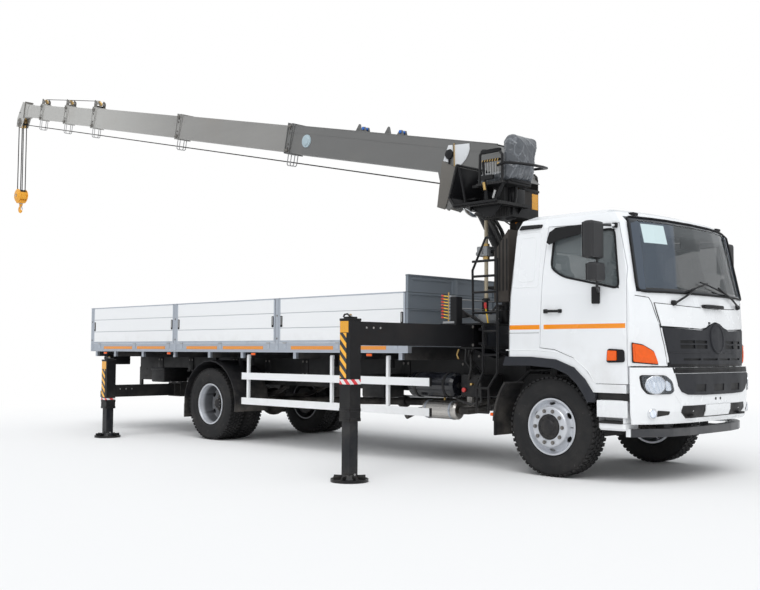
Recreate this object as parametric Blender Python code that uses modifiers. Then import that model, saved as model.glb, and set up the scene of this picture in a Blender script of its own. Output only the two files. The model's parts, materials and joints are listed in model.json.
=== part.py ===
"""Two-axle cab-over flatbed truck with a telescopic straight-boom crane behind the cab.

The model frame has X forward, Y to the left and Z up, with the front axle at x = 0 and the
ground at z = 0.  At the end the whole truck is moved so that the origin is the middle of its
bounding box on the ground.
"""
import math

import bmesh
import bpy
from mathutils import Matrix, Vector

# ---- driving dimensions (metres) ----
GAP = 0.0003                    # between two pieces that touch
RUN = 0.006                     # between pieces that move past each other

WHEELBASE = 5.99
TYRE_R = 0.522
TYRE_W = 0.28
RIM_R = 0.2985                  # over the rim flange
BEAD_R = 0.2855
BEAD_HALF = 0.1048              # half the width between the rim flanges
RIM_HALF = 0.118                # half the width over the rim flanges
FRONT_WHEEL_Y = 1.02
REAR_WHEEL_Y = 0.92             # middle of each pair of twin wheels
TWIN_STEP = 0.16                # from there to the middle of each tyre
KINGPIN_Y = 0.80
FRONT_GUARD_R = TYRE_R + 0.218      # outside of the guards about the wheels
REAR_GUARD_R = TYRE_R + 0.118

RAIL_OUT = 0.43                 # outer face of each frame rail
RAIL_FLANGE = 0.08
RAIL_WEB = 0.010
RAIL_TOP = 1.05
RAIL_H = 0.25
FRAME_FRONT = 1.08
FRAME_REAR = -9.15
SUBFRAME_FRONT = -0.84
SUBFRAME_TOP = 1.20

BED_FRONT = -1.95
BED_REAR = -9.39
BED_HALF = 1.26
BED_RAIL_BOTTOM = 1.283
DECK_TOP = 1.41
DECK_T = 0.05
GATE_TOP = 2.012
GATE_T = 0.030
POST_W = 0.07                   # along the bed, between two side gates
POST_XS = (-4.389, -6.84)
HINGE_OUT = 0.016               # gate hinge pins stand this far outside the bed
HEADBOARD_TOP = 2.211
HEADBOARD_T = 0.04

CAB_WALL = 0.045
CAB_BOTTOM = 0.90
CAB_FLOOR_TOP = 1.20
CAB_FLOOR_BOTTOM = 1.13
FRONT_PANEL_BOTTOM = 1.17
CAB_ROOF = 2.77
DOOR_GAP = 0.006
DOOR_BOTTOM = 0.985
TILT_X, TILT_Z = 1.14, 0.74     # cab tilt pin
BUMPER_TOP = 1.155
BUMPER_BOTTOM = 0.60
VALANCE_TOP = 0.55

SLEW_X = -1.25
BEAM_HALF = 0.07                # front outrigger beams, half width
BEAM_Z = (1.362, 1.602)
BEAM_R_X, BEAM_L_X = -1.176, -1.010
BOX_WALL = 0.018
BOX_HALF_Y = 1.10
FRONT_LEG_Y = 2.933
REAR_LEG_Y = 2.09
REAR_BEAM_R_X, REAR_BEAM_L_X = -7.34, -7.17
REAR_BEAM_HALF = 0.065
REAR_BEAM_Z = (0.603, 0.778)
LEG_HALF = 0.075
LEG_WALL = 0.012
FOOT_R = 0.19

PIN_X, PIN_Z = -1.16, 3.44      # boom foot pin
BOOM_ELEV = math.radians(12.4)
BOOM_AXIS_T = 0.157             # boom centre line above the foot pin
BOOM_WALL = 0.0065
COLLAR = 0.016
COLLAR_L = 0.12
CYL_X, CYL_Z = -1.45, 2.42      # lift cylinder, lower pin
CYL_TOP = (-2.02, 3.40)         # its upper pin with the boom as it stands
CYL_R = 0.082
ROD_R = 0.045
HEAD_S, HEAD_T = 14.02, -0.12   # head sheave pin along and across the boom

WHITE = (0.86, 0.87, 0.88)
BLACK = (0.03, 0.03, 0.033)
DARK = (0.09, 0.09, 0.10)
BOOM_GREY = (0.23, 0.23, 0.23)
SILVER = (0.55, 0.58, 0.62)
RUBBER = (0.035, 0.035, 0.037)
STEEL = (0.60, 0.60, 0.60)
YELLOW = (0.75, 0.36, 0.05)
GLASS = (0.10, 0.13, 0.15)


# ---- scene helpers ----
def clear_scene():
    """Remove every object that the file starts with."""
    for item in list(bpy.data.objects):
        bpy.data.objects.remove(item)


clear_scene()
PARTS = bpy.data.collections.new("flatbed_crane_truck")
bpy.context.scene.collection.children.link(PARTS)
HOLDER = bpy.data.objects.new("truck_origin", None)
PARTS.objects.link(HOLDER)


def material(name, colour, rough=0.5, metal=0.0):
    """A Principled material of one plain colour."""
    made = bpy.data.materials.new(name)
    made.use_nodes = True
    shader = made.node_tree.nodes["Principled BSDF"]
    shader.inputs["Base Color"].default_value = (*colour, 1.0)
    shader.inputs["Roughness"].default_value = rough
    shader.inputs["Metallic"].default_value = metal
    return made


def from_mesh(mesh):
    """A loose object for a mesh, linked so that its modifiers are evaluated."""
    item = bpy.data.objects.new("work", mesh)
    PARTS.objects.link(item)
    return item


def from_bmesh(bm):
    """An object for a bmesh, which is used up."""
    mesh = bpy.data.meshes.new("work")
    bm.to_mesh(mesh)
    bm.free()
    return from_mesh(mesh)


def baked(item):
    """Turn an object with modifiers, or a curve, into plain welded mesh with its place in it."""
    bpy.context.view_layer.update()
    graph = bpy.context.evaluated_depsgraph_get()
    mesh = bpy.data.meshes.new_from_object(item.evaluated_get(graph))
    mesh.transform(item.matrix_world)
    bpy.data.objects.remove(item)
    bm = bmesh.new()
    bm.from_mesh(mesh)
    bmesh.ops.remove_doubles(bm, verts=bm.verts, dist=0.00001)
    bmesh.ops.recalc_face_normals(bm, faces=bm.faces)
    bm.to_mesh(mesh)
    bm.free()
    return from_mesh(mesh)


def box(xs, ys, zs):
    """A box between two limits along each axis."""
    bm = bmesh.new()
    bmesh.ops.create_cube(bm, size=1.0)
    size = Matrix.Diagonal((xs[1] - xs[0], ys[1] - ys[0], zs[1] - zs[0], 1.0))
    middle = Vector(((xs[0] + xs[1]) / 2, (ys[0] + ys[1]) / 2, (zs[0] + zs[1]) / 2))
    bmesh.ops.transform(bm, matrix=Matrix.Translation(middle) @ size, verts=bm.verts)
    bmesh.ops.recalc_face_normals(bm, faces=bm.faces)
    return from_bmesh(bm)


def side_pair(inner, outer, side):
    """The y limits of something between two distances from the centre line, on one side."""
    return tuple(sorted((side * inner, side * outer)))


def cylinder(start, end, radius, sides=16, end_radius=None):
    """A cylinder or cone from one point to another."""
    start, end = Vector(start), Vector(end)
    bm = bmesh.new()
    bmesh.ops.create_cone(bm, cap_ends=True, segments=sides, radius1=radius,
                          radius2=radius if end_radius is None else end_radius,
                          depth=(end - start).length)
    turn = Vector((0, 0, 1)).rotation_difference(end - start).to_matrix().to_4x4()
    bmesh.ops.transform(bm, matrix=Matrix.Translation((start + end) / 2) @ turn, verts=bm.verts)
    return from_bmesh(bm)


def plate(outline, limits, axis="Y"):
    """A flat outline given thickness along an axis; outline points are (x, z), (y, z) or (x, y)."""
    curve = bpy.data.curves.new("work", "CURVE")
    curve.dimensions = "2D"
    curve.fill_mode = "BOTH"
    curve.extrude = (limits[1] - limits[0]) / 2
    spline = curve.splines.new("POLY")
    spline.points.add(len(outline) - 1)
    for point, (across, up) in zip(spline.points, outline):
        point.co = (across, up, 0, 1)
    spline.use_cyclic_u = True
    item = bpy.data.objects.new("work", curve)
    PARTS.objects.link(item)
    middle = (limits[0] + limits[1]) / 2
    item.matrix_world = {
        "Y": Matrix(((1, 0, 0, 0), (0, 0, -1, middle), (0, 1, 0, 0), (0, 0, 0, 1))),
        "X": Matrix(((0, 0, 1, middle), (1, 0, 0, 0), (0, 1, 0, 0), (0, 0, 0, 1))),
        "Z": Matrix(((1, 0, 0, 0), (0, 1, 0, 0), (0, 0, 1, middle), (0, 0, 0, 1))),
    }[axis]
    return baked(item)


def tube(points, radius, resolution=2, closed=False):
    """A round bar along straight runs."""
    curve = bpy.data.curves.new("work", "CURVE")
    curve.dimensions = "3D"
    curve.bevel_depth = radius
    curve.bevel_resolution = resolution
    curve.use_fill_caps = True
    spline = curve.splines.new("POLY")
    spline.points.add(len(points) - 1)
    for point, place in zip(spline.points, points):
        point.co = (*place, 1)
    spline.use_cyclic_u = closed
    item = bpy.data.objects.new("work", curve)
    PARTS.objects.link(item)
    return baked(item)


def turned(profile, centre, outward, steps=32):
    """A profile of (radius, offset) points turned about a line along Y through a centre.

    Offsets count outward from the centre along +Y or -Y.
    """
    bm = bmesh.new()
    points = [bm.verts.new((radius, 0, offset)) for radius, offset in profile]
    for first, second in zip(points, points[1:]):
        bm.edges.new((first, second))
    if profile[0][0] > 0:
        bm.edges.new((points[-1], points[0]))
    item = from_bmesh(bm)
    screw = item.modifiers.new("turn", "SCREW")
    screw.steps = steps
    screw.render_steps = steps
    screw.use_merge_vertices = True
    screw.merge_threshold = 0.0001
    item.matrix_world = (Matrix.Translation(centre)
                         @ Matrix.Rotation(math.radians(-90) * outward, 4, "X"))
    return baked(item)


def boolean(base, others, operation):
    """One Boolean modifier for each other object, applied, with those objects used up."""
    for other in others:
        step = base.modifiers.new("step", "BOOLEAN")
        step.operation = operation
        step.object = other
        step.solver = "EXACT"
    made = baked(base)
    for other in others:
        bpy.data.objects.remove(other)
    return made


def joined(base, *others):
    """A union of solids that overlap."""
    return boolean(base, others, "UNION")


def cut(base, *others):
    """A solid with others taken out of it."""
    return boolean(base, others, "DIFFERENCE")


def common(base, *others):
    """What a solid shares with others."""
    return boolean(base, others, "INTERSECT")


def bevelled(item, width, segments=1):
    """Rounded edges on a plain solid."""
    step = item.modifiers.new("round", "BEVEL")
    step.width = width
    step.segments = segments
    step.limit_method = "ANGLE"
    step.angle_limit = math.radians(40)
    return baked(item)


def node(name, item, colour, pivot=(0, 0, 0), rough=0.5, metal=0.0):
    """Name a finished piece, give it its material and put its origin on its joint's axis."""
    item.name = name
    item.data.name = name
    item.data.materials.clear()
    item.data.materials.append(material(name, colour, rough, metal))
    item.data.transform(Matrix.Translation(-Vector(pivot)))
    item.location = pivot
    item.parent = HOLDER
    item.data.shade_smooth()
    item.data.set_sharp_from_angle(angle=math.radians(35))
    return item


def arc(centre, radius, start, end, count):
    """Points on an arc, with angles in degrees."""
    angles = [math.radians(start + (end - start) * step / (count - 1)) for step in range(count)]
    return [(centre[0] + radius * math.cos(a), centre[1] + radius * math.sin(a)) for a in angles]


# ---- chassis ----
def channel(side):
    """One C-section frame rail with its sub-frame beam on top."""
    z0, z1 = RAIL_TOP - RAIL_H, RAIL_TOP
    inner, web = RAIL_OUT - RAIL_FLANGE, RAIL_OUT - RAIL_WEB
    outline = [(RAIL_OUT, z0), (RAIL_OUT, z1), (inner, z1), (inner, z1 - RAIL_WEB),
               (web, z1 - RAIL_WEB), (web, z0 + RAIL_WEB), (inner, z0 + RAIL_WEB), (inner, z0)]
    rail = plate([(side * y, z) for y, z in outline], (FRAME_REAR, FRAME_FRONT), "X")
    beam = box((FRAME_REAR, SUBFRAME_FRONT), side_pair(inner, RAIL_OUT, side),
               (RAIL_TOP - 0.002, SUBFRAME_TOP))
    return joined(rail, beam)


TILT_Y = 0.435                  # inner face of the tilt brackets on the frame


def chassis_frame():
    """Two rails, the crossmembers between them and the cab's mounts."""
    right, left = channel(-1), channel(1)
    bars = [box((x - 0.05, x + 0.05), (-RAIL_OUT + 0.005, RAIL_OUT - 0.005), (0.86, 0.99))
            for x in (1.02, -1.35, -3.2, -4.9, -6.9, -9.0)]
    hinge = [(0.94, 1.02), (1.05, 1.02), (TILT_X + 0.03, TILT_Z + 0.015),
             (TILT_X + 0.01, TILT_Z - 0.035), (TILT_X - 0.04, TILT_Z - 0.03), (0.94, 0.84)]
    mounts = []
    for side in (-1, 1):
        mounts.append(plate(hinge, side_pair(TILT_Y, TILT_Y + 0.02, side)))
        mounts.append(box((0.95, 1.04), side_pair(RAIL_OUT - 0.005, TILT_Y + 0.01, side),
                          (0.86, 0.99)))
        mounts.append(box((-0.50, -0.42), side_pair(0.36, 0.42, side),
                          (RAIL_TOP - 0.005, CAB_FLOOR_BOTTOM - GAP)))
    return joined(right, left, *bars, *mounts)


def front_axle():
    """A dropped axle beam with a kingpin boss at each end and a leaf spring on each side."""
    low, end_z, end_y = 0.37, TYRE_R, KINGPIN_Y
    outline = [(-end_y, end_z + 0.05), (-0.62, 0.55), (-0.50, 0.475), (0.50, 0.475), (0.62, 0.55),
               (end_y, end_z + 0.05), (end_y, end_z - 0.05), (0.66, 0.44), (0.46, low),
               (-0.46, low), (-0.66, 0.44), (-end_y, end_z - 0.05)]
    beam = plate(outline, (-0.05, 0.05), "X")
    bosses = [cylinder((0, side * end_y, end_z - 0.075), (0, side * end_y, end_z + 0.075), 0.045)
              for side in (-1, 1)]
    springs = [leaf_spring(0.0, 0.72, 0.470, side) for side in (-1, 1)]
    return joined(beam, *bosses, *springs)


def leaf_spring(x, half, centre_z, side):
    """A bowed leaf spring under a frame rail; its ends meet the rail's lower flange."""
    top = RAIL_TOP - RAIL_H - GAP
    sag = top - centre_z - 0.06
    steps = [-1 + 2 * step / 8 for step in range(9)]
    upper = [(x + half * s, centre_z + 0.06 + sag * s * s) for s in steps]
    lower = [(x + half * s, centre_z + (sag + 0.02) * s * s) for s in reversed(steps)]
    return plate(upper + lower, side_pair(RAIL_OUT - 0.075, RAIL_OUT - 0.005, side))


def rear_axle():
    """Axle tube, final drive, drive shaft and the rear leaf springs."""
    x = -WHEELBASE
    tube_end = REAR_WHEEL_Y - TWIN_STEP - 0.120 - GAP
    axle = cylinder((x, -tube_end, TYRE_R), (x, tube_end, TYRE_R), 0.075)
    drive = bmesh.new()
    bmesh.ops.create_uvsphere(drive, u_segments=16, v_segments=10, radius=0.21)
    bmesh.ops.transform(drive, matrix=Matrix.Translation((x, 0, TYRE_R)), verts=drive.verts)
    shaft = cylinder((x, 0, TYRE_R + 0.03), (ENGINE_X[0] - 0.002, 0, TYRE_R + 0.178), 0.05, 12)
    springs = [leaf_spring(x, 0.80, TYRE_R + 0.05, side) for side in (-1, 1)]
    return joined(axle, from_bmesh(drive), shaft, *springs)


ENGINE_X = (-0.60, 0.62)


def engine_block():
    """Engine and gearbox as one plain block under the cab floor."""
    half = RAIL_OUT - RAIL_FLANGE - 0.02
    return bevelled(box(ENGINE_X, (-half, half), (0.56, CAB_FLOOR_BOTTOM - 0.03)), 0.03)


def front_valance():
    """Under-run bar below the bumper, joined to a step box behind each end of it."""
    outline = front_line(1.13, 0.98, 1.22, 0.0, 0.10, 3.8)
    inner = front_line(1.13, 0.98, 1.22, 0.09, 0.10, 3.8)
    bar = cut(plate(outline + [(0.88, 1.13), (0.88, -1.13)], (0.47, VALANCE_TOP), "Z"),
              plate(inner + [(0.80, 1.04), (0.80, -1.04)], (0.40, 0.60), "Z"))
    arms = [box((0.90, 0.97), side_pair(0.36, 0.42, side), (0.48, RAIL_TOP - RAIL_H - GAP))
            for side in (-1, 1)]
    ties = [box((0.91, 1.20), side_pair(0.36, 0.42, side), (0.48, 0.54)) for side in (-1, 1)]
    steps = [step_box(side) for side in (-1, 1)]
    return joined(bar, *arms, *ties, *steps)


def step_box(side):
    """Entry step below a door: a box with its tread well open to the side."""
    shell = bevelled(box((0.612, 0.912), side_pair(0.93, 1.21, side), (0.53, 0.83)), 0.02)
    well = box((0.615, 0.895), side_pair(1.06, 1.30, side), (0.60, 0.78))
    return cut(shell, well)


def front_mudguards():
    """Plastic guard and flap behind each front wheel, carried by a tube over the frame."""
    guards = []
    for side in (-1, 1):
        outer = arc((0, TYRE_R), FRONT_GUARD_R, 142, 178, 6)
        inner = arc((0, TYRE_R), FRONT_GUARD_R - 0.025, 178, 142, 6)
        ys = side_pair(0.84, 1.19, side)
        guards.append(plate(outer + inner, ys))
        guards.append(box((-FRONT_GUARD_R + 0.008, -FRONT_GUARD_R + 0.028),
                          side_pair(0.85, 1.18, side), (TYRE_R - 0.132, TYRE_R + 0.078)))
    top = RAIL_TOP + 0.030
    end_x, low = -FRONT_GUARD_R + 0.08, TYRE_R + 0.328
    x = ENGINE_X[0] - 0.06
    carrier = tube([(end_x, -1.00, low), (x, -0.62, top), (x, 0.62, top), (end_x, 1.00, low)],
                   0.022)
    guards += [box((x - 0.03, x + 0.03), side_pair(0.36, 0.42, side), (RAIL_TOP + GAP, top))
               for side in (-1, 1)]
    return joined(guards[0], *guards[1:], carrier)


def rear_mudguards():
    """An arched guard over each pair of rear wheels, hung from two bars on the sub-frame."""
    parts = []
    for side in (-1, 1):
        ys = side_pair(0.62, 1.22, side)
        outer = arc((-WHEELBASE, TYRE_R), REAR_GUARD_R, -8, 186, 15)
        inner = arc((-WHEELBASE, TYRE_R), REAR_GUARD_R - 0.015, 186, -8, 15)
        parts.append(plate(outer + inner, ys))
        parts.append(box((-WHEELBASE - REAR_GUARD_R - 0.015, -WHEELBASE - REAR_GUARD_R + 0.012),
                         side_pair(0.63, 1.21, side), (TYRE_R - 0.222, TYRE_R - 0.022)))
        for x in (-0.30, 0.30):
            top = TYRE_R + math.sqrt((REAR_GUARD_R - 0.005) ** 2 - x * x)
            parts.append(box((-WHEELBASE + x - 0.02, -WHEELBASE + x + 0.02),
                             side_pair(0.85, 0.90, side), (top - 0.01, SUBFRAME_TOP + 0.03)))
    bars = [box((-WHEELBASE + x - 0.025, -WHEELBASE + x + 0.025), (-0.92, 0.92),
                (SUBFRAME_TOP + GAP, SUBFRAME_TOP + 0.05)) for x in (-0.30, 0.30)]
    return joined(bars[0], bars[1], *parts)


GUARD_X = (-WHEELBASE + 0.765, -1.631)      # ends ahead of the rear wheels' guards


def side_guards():
    """Two rails a side on hanging posts, which cross bars on the sub-frame carry."""
    parts = []
    for side in (-1, 1):
        for zs in ((0.551, 0.645), (0.90, 0.995)):
            parts.append(box(GUARD_X, side_pair(1.195, 1.22, side), zs))
        for x in GUARD_POSTS:
            parts.append(box((x - 0.02, x + 0.02), side_pair(1.165, 1.20, side),
                             (0.56, SUBFRAME_TOP + 0.04)))
    bars = [box((x - 0.025, x + 0.025), (-1.19, 1.19), (SUBFRAME_TOP + GAP, SUBFRAME_TOP + 0.05))
            for x in GUARD_POSTS]
    return joined(bars[0], *bars[1:], *parts)


GUARD_POSTS = (GUARD_X[0] + 0.125, -3.36, -2.35)


def air_tank():
    """Compressed-air vessel on the right of the frame, with its bracket."""
    shell = bevelled(cylinder((-2.21, -0.86, 0.905), (-1.50, -0.86, 0.905), 0.150, 20), 0.03)
    arm = box((-1.95, -1.80), (-0.80, -RAIL_OUT - GAP), (0.85, 0.95))
    return joined(shell, arm)


def muffler():
    """Silencer below the air vessel, with its strap to the frame and its pipe."""
    shell = bevelled(cylinder((-1.99, -0.88, 0.615), (-1.47, -0.88, 0.615), 0.108, 20), 0.02)
    strap = box((-1.70, -1.62), (-0.84, -RAIL_OUT - GAP), (0.60, 0.66))
    hanger = box((-1.70, -1.62), (-RAIL_OUT - 0.04, -RAIL_OUT - GAP), (0.60, 0.92))
    return joined(shell, strap, hanger)


def fuel_tank():
    """Fuel tank on the left of the frame, on two brackets."""
    shell = bevelled(box((-2.85, -1.55), (0.52, 1.10), (0.52, 1.08)), 0.07, 2)
    arms = [box((x, x + 0.08), (RAIL_OUT + GAP, 0.60), (0.84, 0.98)) for x in (-2.60, -1.88)]
    return joined(shell, *arms)


# ---- bed ----
BEARER_APART = 0.07             # middle of a crossbearer from a bar's, at least


def crossbearer_xs():
    """Places of the bed's crossbearers, moved beside any bar that lies on the sub-frame."""
    bars = GUARD_POSTS + (-WHEELBASE - 0.30, -WHEELBASE + 0.30)
    places = []
    for x in (-2.10, -3.05, -4.05, -5.20, -5.99, -6.90, -7.80, -8.65, -9.25):
        bar = min(bars, key=lambda spot: abs(spot - x))
        if abs(bar - x) < BEARER_APART:
            x = bar + math.copysign(BEARER_APART, x - bar)
        places.append(x)
    return places


def bed_floor():
    """Deck, side rails, crossbearers and the posts between the gates."""
    deck = box((BED_REAR + 0.03, BED_FRONT), (-BED_HALF + 0.06, BED_HALF - 0.06),
               (DECK_TOP - DECK_T, DECK_TOP - 0.002))
    rails = [box((BED_REAR, BED_FRONT), side_pair(BED_HALF - 0.065, BED_HALF, side),
                 (BED_RAIL_BOTTOM, DECK_TOP)) for side in (-1, 1)]
    sill = box((BED_REAR, BED_REAR + 0.065), (-BED_HALF, BED_HALF), (BED_RAIL_BOTTOM, DECK_TOP))
    bearers = [box((x - 0.03, x + 0.03), (-BED_HALF + 0.03, BED_HALF - 0.03),
                   (SUBFRAME_TOP + GAP, DECK_TOP - DECK_T + 0.01)) for x in crossbearer_xs()]
    posts = []
    for side in (-1, 1):
        ys = side_pair(BED_HALF - 0.05, BED_HALF, side)
        for x in POST_XS:
            posts.append(box((x - POST_W / 2, x + POST_W / 2), ys, (DECK_TOP - 0.02, GATE_TOP)))
        posts.append(box((BED_REAR, BED_REAR + POST_W), ys, (DECK_TOP - 0.02, GATE_TOP)))
    return joined(deck, *rails, sill, *bearers, *posts)


def headboard():
    """Front wall of the bed, with a stiffening frame."""
    zs = (DECK_TOP + GAP, HEADBOARD_TOP)
    x0 = BED_FRONT - HEADBOARD_T
    wall = box((x0 + 0.012, BED_FRONT - 0.008), (-BED_HALF + 0.01, BED_HALF - 0.01), zs)
    sides = [box((x0, BED_FRONT), side_pair(BED_HALF - 0.07, BED_HALF, side), zs)
             for side in (-1, 1)]
    ribs = [box((x0 + 0.01, BED_FRONT + 0.0), (y - 0.035, y + 0.035), zs) for y in (-0.42, 0.42)]
    top = box((x0, BED_FRONT), (-BED_HALF, BED_HALF), (HEADBOARD_TOP - 0.05, HEADBOARD_TOP))
    return joined(wall, *sides, *ribs, top)


def plank_outline(thickness, planks=3):
    """Section of a gate: planks with a groove at each joint, as (depth, height) points."""
    height = GATE_TOP - DECK_TOP - GAP
    outline = [(0, 0)]
    for joint in range(1, planks):
        z = height * joint / planks
        outline += [(0, z - 0.006), (0.005, z), (0, z + 0.006)]
    return outline + [(0, height), (thickness, height), (thickness, 0)]


def side_gate(side, xs):
    """One drop side, hinged along its lower outer edge."""
    base = DECK_TOP + GAP
    outline = [(side * (BED_HALF - depth), base + up) for depth, up in plank_outline(GATE_T)]
    return plate(outline, xs, "X")


def tailgate():
    """The rear drop side between the corner posts."""
    base = DECK_TOP + GAP
    outline = [(BED_REAR + depth, base + up) for depth, up in plank_outline(GATE_T)]
    half = BED_HALF - 0.05 - RUN
    return plate(outline, (-half, half))


def gate_spans():
    """Ends of the three gates of a side, between the headboard and the posts."""
    edges = [BED_FRONT - HEADBOARD_T, POST_XS[0], POST_XS[1], BED_REAR + POST_W]
    half = POST_W / 2
    return (("front", (edges[1] + half + RUN, edges[0] - RUN)),
            ("middle", (edges[2] + half + RUN, edges[1] - half - RUN)),
            ("rear", (edges[3] + RUN, edges[2] - half - RUN)))


# ---- outriggers ----
def square(x, y, half, zs):
    """A square upright bar about a centre."""
    return box((x - half, x + half), (y - half, y + half), zs)


def outrigger_beam(side, x, leg_y, inner_y, half, beam_z, leg_z):
    """A sliding beam with the hollow leg housing at its end."""
    beam = box((x - half, x + half), side_pair(inner_y, leg_y, side), beam_z)
    fit = RUN - GAP
    shoe = box((x - half - fit, x + half + fit), side_pair(inner_y + 0.01, inner_y + 0.09, side),
               (beam_z[0] - fit, beam_z[1] + fit))
    housing = square(x, side * leg_y, LEG_HALF, leg_z)
    bore = square(x, side * leg_y, LEG_HALF - LEG_WALL, (leg_z[0] - 0.1, leg_z[1] - 0.02))
    return cut(joined(beam, shoe, housing), bore)


def jack_leg(side, x, leg_y, top):
    """The inner leg of a jack, with its foot plate."""
    half = LEG_HALF - LEG_WALL - RUN
    leg = square(x, side * leg_y, half, (0.06, top))
    shoe = square(x, side * leg_y, half + RUN - GAP, (top - 0.08, top - 0.02))
    foot = cylinder((x, side * leg_y, 0), (x, side * leg_y, 0.025), FOOT_R, 20)
    boss = cylinder((x, side * leg_y, 0.02), (x, side * leg_y, 0.10), 0.11, 16, 0.05)
    return joined(leg, shoe, foot, boss)


def crane_base():
    """Cross box for the front beams, the seat on the sub-frame and the slewing housing."""
    x0, x1 = BEAM_R_X - BEAM_HALF - RUN - BOX_WALL, BEAM_L_X + BEAM_HALF + RUN + BOX_WALL
    z0, z1 = BEAM_Z[0] - RUN - BOX_WALL, BEAM_Z[1] + RUN + BOX_WALL
    shell = box((x0, x1), (-BOX_HALF_Y, BOX_HALF_Y), (z0, z1))
    seat = box((SLEW_X - 0.36, x1), (-0.46, 0.46), (SUBFRAME_TOP + GAP, z0 + 0.01))
    block = box((SLEW_X - 0.33, x0 + 0.02), (-0.33, 0.33), (z0 - 0.01, z1))
    ring = cylinder((SLEW_X, 0, z1 - 0.01), (SLEW_X, 0, SLEW_Z), 0.30, 32)
    levers = box((-1.50, x0 + 0.01), (-1.19, -1.07), (z1 - 0.045, z1))
    bank = box((-1.36, x0 + 0.005), (-1.18, -1.08), (z1 - 0.02, 1.93))
    tunnels = [box((x - BEAM_HALF - RUN, x + BEAM_HALF + RUN), (-2, 2),
                   (BEAM_Z[0] - RUN, BEAM_Z[1] + RUN)) for x in (BEAM_R_X, BEAM_L_X)]
    return cut(joined(shell, seat, block, ring, levers, bank), *tunnels)


SLEW_Z = 1.80


def rear_outrigger_box():
    """Cross box for the rear beams under the frame rails."""
    wall = 0.012
    x0 = REAR_BEAM_R_X - REAR_BEAM_HALF - RUN - wall
    x1 = REAR_BEAM_L_X + REAR_BEAM_HALF + RUN + wall
    zs = (REAR_BEAM_Z[0] - RUN - wall, RAIL_TOP - RAIL_H - GAP)
    shell = box((x0, x1), (-0.98, 0.98), zs)
    tunnels = [box((x - REAR_BEAM_HALF - RUN, x + REAR_BEAM_HALF + RUN), (-2, 2),
                   (REAR_BEAM_Z[0] - RUN, REAR_BEAM_Z[1] + RUN))
               for x in (REAR_BEAM_R_X, REAR_BEAM_L_X)]
    return cut(shell, *tunnels)


def ladder():
    """Steps up to the operator's seat, at the right behind the cab."""
    y, high, low = -1.155, 2.58, 0.63
    left = [(-0.99, y, low), (-0.99, y, 0.91), (-0.90, y, 1.07), (-0.90, y, 1.62),
            (-1.04, y, 1.69), (-1.05, y, 2.22), (-0.86, y, high), (-0.76, y, high)]
    right = [(-0.82, y, low), (-0.82, y, 0.91), (-0.70, y, 1.07), (-0.70, y, 2.34)]
    rungs = [[(-0.99, y, z), (-0.82, y, z)] for z in (low, 0.90)]
    rungs += [[(-0.90, y, z), (-0.70, y, z)] for z in (1.27, 1.53)]
    rungs += [[(-1.05, y, z), (-0.70, y, z)] for z in (1.74, 1.97, 2.15, 2.32)]
    bars = [tube(run, 0.014) for run in [left, right] + rungs]
    ties = [box((-0.96, -0.89), (y - 0.005, -BOX_HALF_Y - GAP), (z, z + 0.03))
            for z in (1.38, 1.54)]
    return joined(bars[0], *bars[1:], *ties)


# ---- cab ----
# height, rear x, front x at the sides, front x in the middle, half width
CAB_ROWS = (
    (CAB_BOTTOM, -0.530, 0.985, 1.270, 1.205),
    (1.25, -0.530, 1.000, 1.290, 1.220),
    (1.60, -0.525, 1.010, 1.270, 1.220),
    (1.90, -0.510, 1.000, 1.215, 1.215),
    (2.62, -0.455, 0.870, 1.040, 1.155),
    (2.72, -0.420, 0.790, 0.940, 1.110),
    (CAB_ROOF, -0.330, 0.640, 0.780, 1.000),
)


FRONT_STEPS = (-1, -0.86, -0.66, -0.42, 0, 0.42, 0.66, 0.86, 1)


def front_line(half, side_x, middle_x, inset, corner=0.10, full=2.4):
    """Plan line of the cab's bowed front from the right side to the left, inset all round."""
    half, side_x, middle_x = half - inset, side_x - inset, middle_x - inset
    points = [(side_x - corner, -half), (side_x - 0.3 * corner, -half + 0.06 * corner)]
    for along in FRONT_STEPS:
        y = along * (half - 0.35 * corner)
        points.append((side_x + (middle_x - side_x) * (1 - abs(along) ** full), y))
    return points + [(side_x - 0.3 * corner, half - 0.06 * corner), (side_x - corner, half)]


def cab_form(inset, bottom=None):
    """The cab's outer shape as a loft of plan outlines, inset by a wall thickness."""
    rows = list(CAB_ROWS)
    bm = bmesh.new()
    loops = []
    for z, rear, side_x, middle_x, half in rows:
        if z == rows[0][0] and bottom is not None:
            z = bottom
        if z == rows[-1][0]:
            z -= inset
        outline = front_line(half, side_x, middle_x, inset)
        back = rear + inset
        width = half - inset
        outline += [(back + 0.05, width), (back, width - 0.05), (back, -width + 0.05),
                    (back + 0.05, -width)]
        loops.append([bm.verts.new((x, y, z)) for x, y in outline])
    for lower, upper in zip(loops, loops[1:]):
        count = len(lower)
        for index in range(count):
            after = (index + 1) % count
            bm.faces.new((lower[index], lower[after], upper[after], upper[index]))
    bm.faces.new(list(reversed(loops[0])))
    bm.faces.new(loops[-1])
    bmesh.ops.recalc_face_normals(bm, faces=bm.faces)
    return from_bmesh(bm)


def door_outline(inset):
    """Side outline of a door opening, drawn in by a gap."""
    return [(-0.010 + inset, 2.63 - inset), (0.840 - inset, 2.60 - inset),
            (0.945 - inset, 2.14), (0.955 - inset, 1.75), (0.955 - inset, DOOR_BOTTOM + inset),
            (0.585 + inset, DOOR_BOTTOM + inset), (0.48 + inset, 1.12 + inset),
            (0.33 + inset, 1.24 + inset), (0.10 + inset, 1.325 + inset),
            (-0.085 + inset, 1.345 + inset), (-0.060 + inset, 2.14)]


def window_outline(inset):
    """Side outline of a door's window."""
    return [(0.070 + inset, 2.53 - inset), (0.790 - inset, 2.545 - inset),
            (0.865 - inset, 1.935 + inset), (0.20 + inset, 2.085 + inset),
            (0.045 + inset, 2.18 + inset)]


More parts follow.
